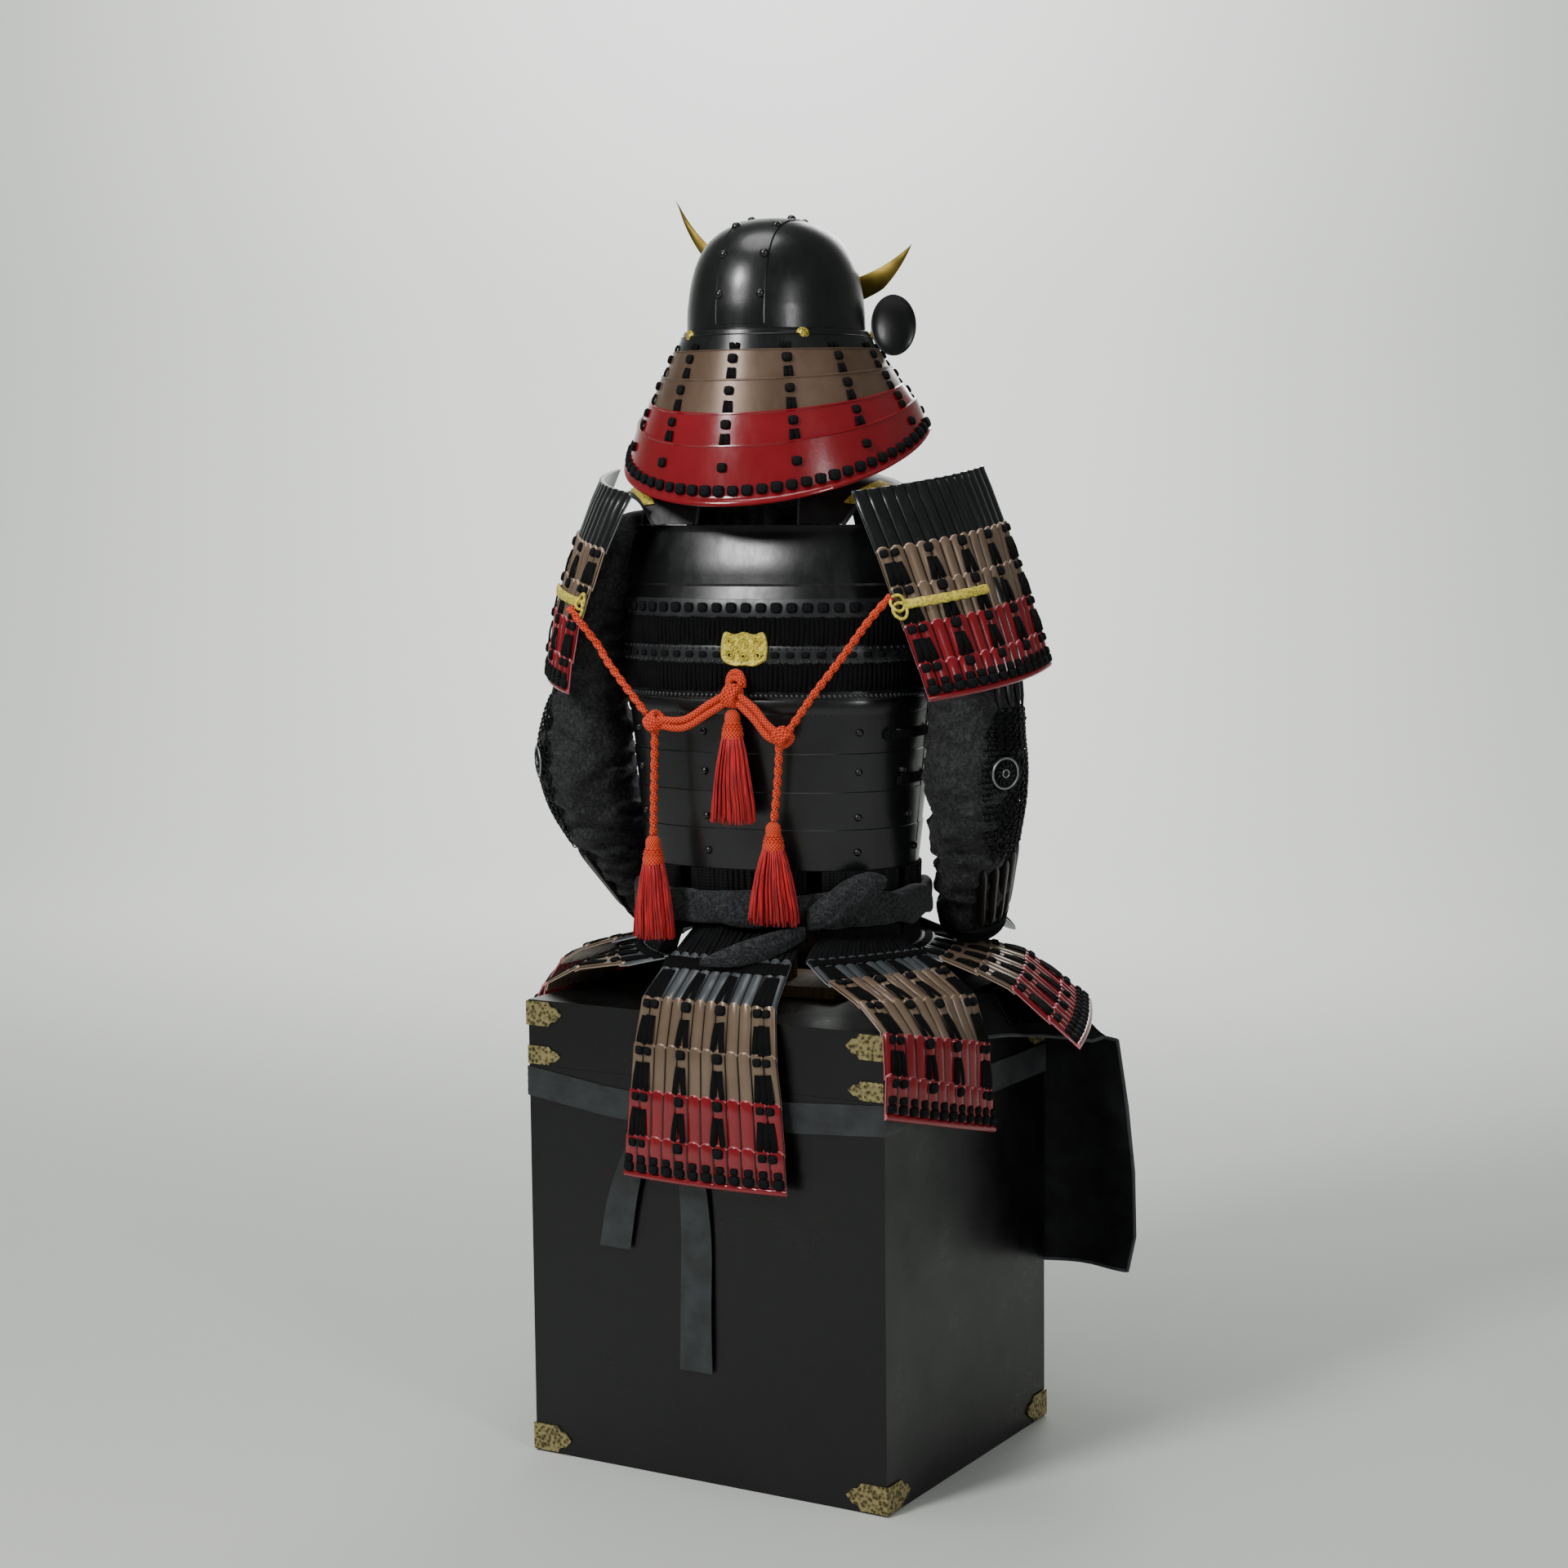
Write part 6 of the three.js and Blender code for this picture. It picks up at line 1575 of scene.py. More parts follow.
@dataclass
class Helmet:
    """The helmet: bowl, band, bosses, peak, crest and ears."""

    wide: float = 103
    deep: float = 119
    rows: tuple = ((1308, 1.03), (1309.2, 1.045), (1329, 1.04), (1331.4, 1.03), (1332.6, 0.998),
                   (1347, 0.995), (1362, 0.985),
                   (1392, 0.94), (1418, 0.855), (1438, 0.725), (1452, 0.54), (1460.5, 0.3), (1463, 0.001))

    def share(self, z: Number) -> Number:
        """The share of the rim's size at a height."""
        table = np.array(self.rows)
        return np.interp(z, table[:, 0], table[:, 1])

    def over(self, x: Number, turn: Number, out: float) -> Array:
        """Points over the crown.

        Args:
            x: the distance from the middle, to the left.
            turn: degrees from the back rim up over the crown to the front.
            out: how far off the bowl.

        Returns:
            Points in the part's frame.
        """
        x, turn = np.broadcast_arrays(np.asarray(x, float), np.radians(np.asarray(turn, float)))
        low, high = np.zeros(x.shape), np.full(x.shape, 200.0)
        fine = curve(self.rows[5:], 200)
        for _ in range(36):
            reach = (low + high) / 2
            z = 1345 + reach * np.sin(turn)
            limit = np.where(z > 1463, 0, np.interp(z, fine[:, 0], fine[:, 1]))
            inside = np.hypot(x / self.wide, reach * np.cos(turn) / self.deep) < limit
            low, high = np.where(inside, reach, low), np.where(inside, high, reach)
        reach = low + out
        return turned(np.stack([x * (1 + out / 110), reach * np.cos(turn), 1345 + reach * np.sin(turn)],
                               -1))

    def bowl(self, rivets: Repeats) -> None:
        """Builds the bowl, the strip over its crown and the seams beside it."""
        rim = np.array(self.rows[:6])
        dome = curve(self.rows[5:], 44)
        rows = np.vstack([rim[:5], dome])
        angles = np.radians(np.linspace(0, 360, 97)[:-1])
        circle = np.stack([np.cos(angles) * self.wide, np.sin(angles) * self.deep, 0 * angles], -1)
        outer = np.array([circle * share + vec(0, 0, z) for z, share in rows])
        inner = np.array([circle * max(share - 0.026, 0.0008) + vec(0, 0, z - (2.6 if share < 0.9 else 0))
                          for z, share in rows])
        build = Build()
        build.wall(turned(outer), turned(inner), ring=True, us=np.arange(97) * 7.0, vs=rows[:, 0])
        show(build.mesh("helmet_bowl_shell", 30), "helmet_bowl_shell", BLACK, ["helmet_bowl"])
        strip = Build()
        x, turn = np.meshgrid(np.linspace(-29, 29, 15), np.linspace(-4, 184, 64))
        strip.wall(self.over(x, turn, 0.9), self.over(x, turn, -0.8), us=x[0], vs=turn[:, 0] * 2)
        for edge in (-29.5, 29.5):
            strip.tube(self.over(edge, np.linspace(-4, 184, 64), 0.5), 1.0, 6)
        show(strip.mesh("helmet_crown_strip", 40), "helmet_crown_strip", BLACK)
        for turn in (13, 36, 61, 84, 104, 126, 148, 170):
            for x in (-25, 25):
                at, beyond = self.over(x, turn, 0.9), self.over(x, turn, 5)
                rivets.put(at, vec(0, 0, 1) if turn < 50 or turn > 130 else vec(0.1, 1, 0), beyond - at,
                           (1.15, 1.15, 1.15))

    def bosses(self) -> None:
        """Builds the gilt bosses round the helmet's band."""
        build = Build()
        for angle in (50, 130, 205, 335):
            c, s = math.cos(math.radians(angle)), math.sin(math.radians(angle))
            at = turned(vec(self.wide * 1.052 * c, self.deep * 1.052 * s, 1325))
            away = at - turned(vec(0, 0, 1325))
            build.lathe([(7.5, -0.6), (7.5, 0.6), (6.4, 1.2), (5.6, 0.9), (4.4, 1.4), (3.4, 2.8),
                         (1.4, 3.4), (0.1, 3.5)], 24, at, away)
            for k in range(10):
                turn = k * math.pi / 5
                one = unit(np.cross(away, vec(0, 0, 1)))
                build.lathe([(0.9, -0.3), (0.8, 0.6), (0.1, 1.0)], 6,
                            at + unit(away) * 1.0 + one * 5.2 * math.cos(turn)
                            + vec(0, 0, 5.2 * math.sin(turn)), away)
        show(build.mesh("helmet_bosses", 40), "helmet_bosses", GILT_BOSS)

    def peak(self) -> None:
        """Builds the peak with its rolled edge."""
        rows = curve([(0.9, 1324), (21.7, 1317), (40.7, 1303)], 14)
        angles = np.linspace(210, 330, 65)
        c, s = np.cos(np.radians(angles)), np.sin(np.radians(angles))
        far = np.cos(np.radians((angles - 270) * 1.15))

        def skin(down: float) -> Array:
            """One face of the peak."""
            return turned(np.array([np.stack([(self.wide * 1.035 + (out - 0.7) * far + 0.7) * c,
                                              (self.deep * 1.035 + (out - 0.7) * far + 0.7) * s,
                                              z - down + 0 * c], -1)
                                    for out, z in rows]))

        build = Build()
        build.wall(skin(0), skin(2.2), us=angles * 2, vs=rows[:, 0])
        build.tube(skin(1.0)[-1], 2.2, 8)
        show(build.mesh("helmet_peak_plate"), "helmet_peak_plate", BLACK, ["helmet_peak"])

    def crest(self) -> None:
        """Builds the crescent, ridged along its middle, and its foot."""
        arcs = []
        for z, radius, left, right in ((1548.6, 185, (192, 1506), (-118, 1440)),
                                       (1596, 202, (192, 1506), (-118, 1440))):
            ends = [math.atan2(tip[1] - z, tip[0] - 10) for tip in (right, left)]
            angles = np.linspace(ends[0], ends[1], 90)
            reach = np.interp(np.linspace(0, 1, 90), [0, 0.16, 0.97, 1],
                              [math.hypot(-128, 1440 - z), radius, radius, math.hypot(182, 1506 - z)])
            arcs.append(np.stack([10 + reach * np.cos(angles), z + reach * np.sin(angles)], -1))
        front, rear = [], []
        for t in np.linspace(0, 1, 7):
            line = mix(arcs[0], arcs[1], t)
            bulge = 0.25 + 0.95 * (1 - (2 * t - 1) ** 2)
            front.append(np.stack([line[:, 0], -147.2 - bulge + 0 * line[:, 0], line[:, 1]], -1))
            rear.append(np.stack([line[:, 0], -147.2 + bulge + 0 * line[:, 0], line[:, 1]], -1))
        build = Build()
        build.wall(turned(np.array(front)), turned(np.array(rear)), us=np.arange(90) * 4.0,
                   vs=np.arange(7) * 4.0)
        show(build.mesh("crest_crescent", 50), "crest_crescent", GILT, ["helmet_crest"])
        foot = Build()
        foot.block((2.4, -148, 1335), (17.6, -120, 1369))
        foot.points = [turned(points) for points in foot.points]
        show(foot.mesh("crest_foot", 40, 1.5), "crest_foot", IRON)

    def ears(self) -> None:
        """Builds the two hollowed oval ears."""
        for side, word in ((1, "left"), (-1, "right")):
            angle = math.radians(-24 * side)
            away = vec(-math.sin(angle), math.cos(angle), 0)
            at = vec(side * 122, -68, 1340) - away * 2.6
            profile = [(0.1, -4.6), (12, -4.2), (24, -2.8), (32, -0.8), (35.4, 0.4), (36, 1.4), (35.6, 2.5),
                       (34.4, 2.6), (33, 1.8), (24, -0.6), (12, -2.2), (0.1, -2.6)]
            build = Build()
            build.lathe(profile, 48, vec(0, 0, 0), away, (0.75, 1))
            build.points = [turned(points + at) for points in build.points]
            show(build.mesh(f"ear_{word}", 50), f"ear_{word}", BLACK, [f"helmet_ear_{word}"])

    def build(self, rivets: Repeats) -> None:
        """Builds the helmet without its neck guard."""
        self.bowl(rivets)
        self.bosses()
        self.peak()
        self.crest()
        self.ears()


@dataclass
class NeckGuard:
    """The five lames round the neck, each laced to the one above."""

    table: tuple = ((109.4, 126, 1326, 0), (117, 131, 1304, 4), (129, 140, 1268, 16), (141, 148, 1229, 32),
                    (152, 155, 1193, 48),
                    (166, 164, 1130, 71))
    outs: tuple = (0, 3.3, 6.6, 9.9, 13.6)
    columns: tuple = (-116, -87, -58, -29, 0, 29, 58, 87, 116)

    def point(self, angle: Number, down: Number, out: Number) -> Array:
        """Points on the guard.

        Args:
            angle: degrees from the middle of the back.
            down: the place down, counted in lames.
            out: how far out.

        Returns:
            Points in the part's frame.
        """
        angle, down, out = np.broadcast_arrays(np.asarray(angle, float), np.asarray(down, float),
                                               np.asarray(out, float))
        c, s = np.cos(np.radians(angle)), np.sin(np.radians(angle))
        wide, deep, z, rise = (np.interp(down, np.arange(6), [row[k] for row in self.table])
                               for k in range(4))
        return turned(np.stack([-(wide + out) * s, (deep + out) * c, z + rise * (1 - np.maximum(c, -0.2))],
                               -1))

    def face(self, angle: float, down: float) -> Array:
        """The way that the guard faces at a place."""
        across = self.point(angle + 1, down, 0) - self.point(angle - 1, down, 0)
        along = self.point(angle, min(down + 0.1, 5), 0) - self.point(angle, down - 0.1, 0)
        facing = unit(np.cross(across, along))
        return facing if np.dot(facing, self.point(angle, down, 10)
                                - self.point(angle, down, 0)) > 0 else -facing

    def spot(self, knots: Repeats, angle: float, down: float, out: float, size: float) -> None:
        """Adds one knot."""
        along = self.point(angle, min(down + 0.1, 5), out) - self.point(angle, down, out)
        knots.put(self.point(angle, down, out), along, self.face(angle, down), (size, size, size))

    def build(self, laces: Repeats, knots: Repeats) -> None:
        """Builds the lames and adds their lacing."""
        for k, finish in enumerate((BLACK, BROWN, BROWN, RED, RED)):
            out = self.outs[k]
            last = k == 4
            levels = [(k - 0.175 if k else 0, -0.7), (k - 0.165 if k else 0.02, 0.7),
                      (k - 0.13 if k else 0.04, 0.9), (k - 0.1 if k else 0.07, -0.1)]
            levels += [(k + v, 0) for v in (0.2, 0.5, 0.8)]
            levels += [(4.86, 0), (4.9, 2.2), (4.94, 3.4), (4.98, 2.8),
                       (5, 1.2)] if last else [(k + 0.93, 0), (k + 0.97, 0.7), (k + 1, 0.2)]
            angles = np.linspace(-118, 118, 119)
            outer = np.array([self.point(angles, down, out + more) for down, more in levels])
            inner = np.array([self.point(angles, down, out - 2.0) for down, _ in levels])
            build = Build()
            build.wall(outer, inner, us=angles * 2.4, vs=np.array([d for d, _ in levels]) * 40)
            show(build.mesh(f"neck_{k + 1}", 40), f"neck_{k + 1}", finish, [f"neck_lame_{k + 1}"])
            for column in self.columns:
                if k:
                    self.spot(knots, column, k + (0.3 if last else 0.18), out + 1.2, 0.92)
                if last:
                    continue
                for shift in (-1, 1):
                    a = self.point(column + shift * (0.95 if k else 1.9), k + 0.48, out + 1.3)
                    b = self.point(column + shift * 1.3, k + 0.9, out + 1.3)
                    laces.put((a + b) / 2, b - a, self.face(column, k + 0.7),
                              (1.1, float(np.linalg.norm(b - a)) / 1000, 1.0))
        steps = np.linspace(-115, 115, 400)
        line = self.point(steps, 4.72, 14)
        run = np.concatenate([[0], np.cumsum(np.linalg.norm(np.diff(line, axis=0), axis=1))])
        for angle in np.interp(np.arange(4, run[-1] - 4, 17), run, steps):
            self.spot(knots, float(angle), 4.72, 14.6, 1.06)


@dataclass
class Cords:
    """The cords of the back: two runs, the bow, two pendants and three tassels."""

    diameter: float = 10
    run_right: tuple = ((-195, 155, 1029), (-183, 155.5, 1017), (-168, 156, 1000), (-150, 151, 979),
                        (-134, 152, 958),
                        (-118, 153, 938), (-104, 153, 921), (-92, 153, 905), (-81, 153, 890),
                        (-70.5, 152, 876.2))
    run_left: tuple = ((200, 159, 1014), (191, 158.5, 1003), (180, 156, 988), (168, 150, 970),
                       (158, 151, 954),
                       (146, 152, 939), (135, 152, 925), (125, 152, 913), (116, 152, 902),
                       (107.6, 152, 892))
    pendant_left: tuple = ((98, 149, 873.1), (98.5, 149, 850), (100, 148, 820), (101.5, 147, 785),
                           (103, 146, 750))
    pendant_right: tuple = ((-57, 149, 857.2), (-56, 149, 838), (-54, 148, 815), (-51, 147, 790),
                            (-48.5, 146, 771))

    def cord(self, name: str, route: Sequence[Sequence[float]]) -> None:
        """Builds one free cord of two strands laid together.

        Args:
            name: the solid that it stands for.
            route: its listed points.
        """
        line = turned(curve(route, 60))
        ahead = unit(np.gradient(line, axis=0))
        side = unit(np.cross(ahead, vec(0, 1, 0.2)))
        over = np.cross(side, ahead)
        reach = np.linspace(0, length_of(line), len(line))
        build = Build()
        for k in range(2):
            turn = reach / 26 * 2 * math.pi + k * math.pi
            shift = (side * np.cos(turn)[:, None] + over * np.sin(turn)[:, None]) * self.diameter * 0.2
            build.tube(line + shift, self.diameter * 0.29, 12)
        piece = show(build.mesh(f"{name}_braid", 70), f"{name}_braid", CORD, [name])

    def bow(self) -> None:
        """Builds the bow: strands between the end knots through the middle knot, and the loop above."""
        build = Build()
        routes = [[(98, 150, 885), (60, 150, 886), (28, 149, 905), (4, 148, 918)],
                  [(98, 150, 879), (62, 150, 876), (30, 150, 893), (4, 148, 909)],
                  [(-2, 148, 918), (-26, 149, 901), (-42, 150, 883), (-60, 150, 869)],
                  [(-2, 148, 909), (-26, 150, 888), (-44, 151, 868), (-62, 150, 861)],
                  [(96, 146, 882), (62, 145, 881), (30, 144, 899), (4, 143, 913)],
                  [(-2, 143, 913), (-26, 144, 894), (-44, 145, 875), (-60, 146, 865)]]
        for route in routes:
            build.tube(turned(curve(route, 26)), 4.2, 10)
        for x, y, z, wide, high, lean in ((1, 148, 914, 10, 11, 0.3), (98, 150, 883, 10, 9, -0.7),
                                          (-62, 150, 868, 10, 9, 0.7)):
            for k in (-1, 0, 1):
                angles = full_turn(20)
                across, up = vec(math.cos(lean), 0, math.sin(lean)), vec(-math.sin(lean), 0, math.cos(lean))
                line = vec(x, y, z) + across * k * wide * 0.52
                line = line + np.outer(np.cos(angles) * high * (1 - 0.12 * abs(k)), up)
                line = line + np.outer(np.sin(angles) * 6.5, vec(0, 1, 0))
                line = line + np.outer(np.sin(angles) * 2.5, across)
                build.tube(turned(line), 4.0, 10, closed=True)
        angles = np.linspace(-0.6 * math.pi, 0.6 * math.pi, 22)
        for lift in (0, 7):
            line = np.stack([-1 + np.sin(angles) * (9 - lift * 0.3), 141 + lift * 0.35 + 0 * angles,
                             928 + np.cos(angles) * (13 - lift)], -1)
            build.tube(turned(line), 3.9, 10)
        show(build.mesh("bow_strands", 70), "bow_strands", CORD, ["cord_bow"])

    def plate(self) -> None:
        """Builds the pierced gilt plate that carries the bow."""
        outline = curve([(-27, -12), (-28.6, 5), (-24, 20), (-12, 17.6), (0, 20.5), (12, 17.6), (24, 20),
                         (28.6, 5), (27, -12), (13, -19),
                         (0, -18.5), (-13, -19), (-27, -12)], 73)[:-1]
        build = Build()
        outer, inner = [], []
        for share, lift in ((1, 0.0), (0.99, 1.6), (0.93, 2.4), (0.86, 1.2), (0.6, 1.6), (0.3, 2.2),
                            (0.02, 2.4)):
            ring = np.stack([outline[:, 0] * share - 8, 131.2 + lift + 0 * outline[:, 0],
                             outline[:, 1] * share + 966], -1)
            outer.append(turned(ring))
            inner.append(turned(ring * vec(1, 0, 1) + vec(0, 130.2, 0)))
        build.wall(np.array(outer), np.array(inner), ring=True)
        for x, z, size in ((-17, -6, 6), (17, -6, 6), (-17, 9, 6), (17, 9, 6), (0, -8, 6), (0, 7, 7),
                           (-8.5, 0, 5), (8.5, 0, 5)):
            turn = np.linspace(0, 3.4 * math.pi, 34)
            reach = size * (1 - turn / 14)
            flip = -1 if x < 0 else 1
            line = np.stack([x + flip * reach * np.cos(turn) - 8, 133.6 + 0 * turn,
                             z + reach * np.sin(turn) + 966], -1)
            build.tube(turned(line), 1.15, 6)
        show(build.mesh("bow_plate_scrolls", 60), "bow_plate_scrolls", FILIGREE, ["bow_plate"])

    def tassel(self, name: str, x: float, y: float, z: float, length: float, foot: float,
               strands: Repeats) -> None:
        """Builds one tassel: a bound head, and a skirt of strands on Geometry Nodes.

        Args:
            name: the solid that it stands for.
            x: its head's place.
            y: its head's place.
            z: its head's top.
            length: its whole length.
            foot: the skirt's half width at its foot.
            strands: takes the strands.
        """
        head = Build()
        head.lathe([(0.1, 0), (5, -1), (8.4, -5), (9.2, -11), (8.2, -17), (10.8, -22), (13, -28), (12, -34),
                    (0.1, -35)], 28,
                   turned(vec(x, y, z)), vec(0, 0, 1))
        for depth in (-16, -19, -22):
            angles = full_turn(24)
            reach = 8.8 + (-16 - depth) * 0.35
            head.tube(turned(np.stack([x + reach * np.cos(angles), y + reach * np.sin(angles),
                                       z + depth + 0 * angles], -1)), 1.4, 6, closed=True)
        show(head.mesh(f"{name}_head", 60), f"{name}_head", CORD, [name])
        rng = np.random.default_rng(abs(int(x * 7)) + 5)
        for _ in range(330):
            angle, share = rng.uniform(0, 2 * math.pi), math.sqrt(rng.uniform(0.02, 1))
            c, s = math.cos(angle), math.sin(angle)
            reach = length - rng.uniform(0, 7) - 3 * share
            start = turned(vec(x + 11.4 * share * c, y + 11.4 * share * s, z - 29))
            end = turned(vec(x + foot * share * c + rng.normal(0, 0.8), y + foot * 0.5 * share * s,
                             z - reach))
            strands.put(start, start - end, vec(c, s, 0),
                        (1, float(np.linalg.norm(end - start)) / 100, foot * share / 25))

    def build(self) -> None:
        """Builds every cord, the plate and the tassels."""
        self.cord("cord_run_left", self.run_left)
        self.cord("cord_run_right", self.run_right)
        self.cord("cord_pendant_left", self.pendant_left)
        self.cord("cord_pendant_right", self.pendant_right)
        self.bow()
        self.plate()
        strands = Repeats("tassel_strands", TASSEL, 0.03)
        self.tassel("tassel_left", 103.2, 147, 749.6, 124, 25, strands)
        self.tassel("tassel_right", -48.2, 148, 770.6, 121, 31, strands)
        self.tassel("tassel_middle", 1, 147.5, 898.4, 133, 27, strands)
        strand = Build()
        drop = np.linspace(0, 1, 6)
        line = np.stack([0.5 * np.sin(drop * 9), -100 * drop, 2.2 * np.sin(drop * math.pi)], -1)
        strand.tube(line, 0.95, 5)
        strands.make(strand.mesh("strand", 80))


@dataclass
class Sleeves:
    """The two sleeves of crumpled crepe, with splints, mail, elbow discs, wrist ties and hand plates."""

    rows: tuple = ((150, 8, 1082, 46), (184, 9, 1070, 50), (218, 11, 1040, 55), (235, 12, 1000, 55.5),
                   (239, 13, 952, 54),
                   (243, 15, 905, 56), (244, 16, 865, 57), (245, 16, 828, 59), (243, 8, 792, 57),
                   (236, -10, 757, 53),
                   (227, -36, 722, 49), (218, -62, 688, 45), (210, -86, 656, 41), (206, -98, 641, 38),
                   (203, -108, 628, 36))
    tucks: tuple = (0, 0, 6.6, 10.6, 8.6, 8.6, 2, 0, 0, 0, 0, 0, 0, 0, 0)
    press: float = 0.09

    def fine(self, side: int) -> Array:
        """The sleeve's line and radius; the left one is tucked in under its guard."""
        table = np.array(self.rows, float)
        if side > 0:
            table[:, 0] -= self.tucks
            table[:, 3] -= self.tucks
        return curve(table, 141)

    def point(self, side: int, t: Number, angle: Number, out: Number) -> Array:
        """Points on a sleeve.

        Args:
            side: 1 for the left, -1 for the right.
            t: the place down, from 0 to 1.
            angle: degrees round it; the outer side is 0 on the left and 180 on the right.
            out: how far off its form.

        Returns:
            Points in the armour's frame.
        """
        t, angle, out = np.broadcast_arrays(np.asarray(t, float), np.asarray(angle, float),
                                            np.asarray(out, float))
        fine = self.fine(side)
        steps = np.linspace(0, 1, 141)
        x, y, z, radius = (np.interp(t, steps, fine[:, k]) for k in range(4))
        ahead = np.gradient(fine[:, :3], axis=0)
        along = unit(np.stack([side * np.interp(t, steps, ahead[:, 0]), np.interp(t, steps, ahead[:, 1]),
                               np.interp(t, steps, ahead[:, 2])], -1))
        sideways = unit(np.cross(along, vec(0, 1, 0)))
        backward = np.cross(sideways, along)
        a = np.radians(angle)
        facing = a if side > 0 else math.pi - a
        reach = radius * (1 - self.press * np.maximum(0, np.cos(facing - math.pi))) + out
        return np.stack([side * x, y, z],
                        -1) + (sideways * np.cos(a)[..., None]
                               + backward * np.sin(a)[..., None]) * reach[..., None]

    def at_height(self, z: float) -> float:
        """The place down a sleeve at a height."""
        fine = curve(self.rows, 141)
        return float(np.interp(-z, -fine[:, 2], np.linspace(0, 1, 141)))

    def cloth(self, side: int, word: str) -> None:
        """Builds the crumpled tube of cloth."""
        t, angle = np.meshgrid(np.linspace(0, 1, 112), np.linspace(0, 360, 65)[:-1], indexing="ij")
        base = self.point(side, t, angle, 0)
        facing = np.cos(np.radians(angle if side > 0 else 180 - angle))
        wave = noise(base * vec(1, 1, 2.2), 46, 11 + side) * 2.6 + noise(base * vec(1, 1, 1.6), 19,
                                                                         23 + side) * 1.6
        crease = 1 - 2 * np.abs(noise(base * vec(0.6, 0.6, 1.7), 60, 31 + side))
        free = np.clip(np.maximum((930 - base[..., 2]) / 40, 0.4 - facing), 0.3, 1)
        lift = (wave + np.clip(crease, -1, 1) * 3.2) * free * np.clip(np.minimum(t, 1 - t) * 14, 0.15, 1)
        outer = self.point(side, t, angle, lift + 0.4)
        inner = self.point(side, t, angle, lift - 1.5)
        build = Build()
        build.wall(turned(outer), turned(inner), ring=True, us=np.linspace(0, 330, 65), vs=t[:, 0] * 520)
        piece = show(build.mesh(f"sleeve_cloth_{word}", 60), f"sleeve_cloth_{word}", CREPE,
                     [f"sleeve_{word}"])

    def splints(self, side: int, word: str) -> None:
        """Builds the long lacquered splints of the upper arm and forearm."""
        build = Build()
        spans = ((1032, 896, (-42, -26, -10, 6, 22, 38)), (738, 652, (-50, -33, -16, 1, 18, 35, 52)))
        for high, low, places in spans:
            for place in places:
                angle = place if side > 0 else 180 - place
                t = np.linspace(self.at_height(high), self.at_height(low), 14)
                cap = np.sqrt(np.clip(1 - np.abs(np.linspace(-1, 1, 14)) ** 6, 0.05, 1))
                rows = []
                for shift in np.linspace(-1, 1, 7):
                    width = 6.4 * shift * cap * (1 if high > 900 else 0.85)
                    out = 4.2 + 2.6 * (1 - shift * shift) * cap
                    rows.append(turned(self.point(side, t, angle
                                                  + np.degrees(width / 55) * (1 if side > 0 else -1), out)))
                under = [turned(self.point(side, t, angle
                                           + np.degrees(6.4 * shift * cap / 55) * (1 if side > 0 else -1),
                                           2.4 + 0 * t))
                         for shift in np.linspace(-1, 1, 7)]
                build.wall(np.array(rows), np.array(under), us=t * 500, vs=np.arange(7) * 2.0)
        show(build.mesh(f"sleeve_splints_{word}", 45), f"sleeve_splints_{word}", BLACK)

    def mail(self, side: int, links: Repeats) -> None:
        """Adds the mail over the elbow: links that lie in turn flat and on edge."""
        down = unit(vec(0, 0, -1))
        for i, z in enumerate(np.arange(892, 742, -5.2)):
            t = self.at_height(z)
            for j, place in enumerate(np.arange(-62, 66, 5.6)):
                place = place + (2.8 if i % 2 else 0)
                edge = 62 - 20 * abs((z - 820) / 75) ** 2
                if abs(place) > edge:
                    continue
                angle = place if side > 0 else 180 - place
                at, away = turned(self.point(side, t, angle, 3.4)), turned(self.point(side, t, angle, 9))
                face = unit(away - at)
                tilt = 0.75 if (i + j) % 2 else -0.75
                across = unit(np.cross(down, face))
                links.put(at, down, face * math.cos(tilt) + across * math.sin(tilt))

    def disc(self, side: int, word: str) -> None:
        """Builds the elbow disc: a bright rim, petals and a small hub."""
        angle = 36 if side > 0 else 144
        t = self.at_height(828)
        near, far = turned(self.point(side, t, angle, 2.4)), turned(self.point(side, t, angle, 12))
        away = far - near
        plate, rim = Build(), Build()
        plate.lathe([(0.1, -1), (19, -1), (19.4, 1), (17.5, 2.2), (14, 1.6), (6, 2.6), (0.1, 3.2)], 40,
                    near, away)
        one = unit(np.cross(away, vec(0, 0, 1)))
        two = np.cross(unit(away), one)
        for k in range(12):
            turn = k * math.pi / 6
            line = [near + unit(away) * (2.4 + 1.0 * math.sin(math.pi * s))
                    + (one * math.cos(turn + 0.5 * s) + two * math.sin(turn + 0.5 * s)) * (5 + 9 * s)
                    for s in np.linspace(0, 1, 8)]
            plate.tube(np.array(line), np.array([0.9, 1.4, 1.8, 2.0, 2.0, 1.8, 1.3, 0.8]), 6)
        turns = full_turn(40)
        for reach, lift, wire in ((17.6, 2.4, 1.5), (4.4, 3.4, 1.1)):
            rim.tube(near + unit(away) * lift + np.outer(np.cos(turns) * reach, one)
                     + np.outer(np.sin(turns) * reach, two), wire, 8, closed=True)
        show(plate.mesh(f"elbow_disc_{word}", 45), f"elbow_disc_{word}", IRON, [f"elbow_boss_{word}"])
        show(rim.mesh(f"elbow_rim_{word}", 60), f"elbow_rim_{word}", PALE_IRON)

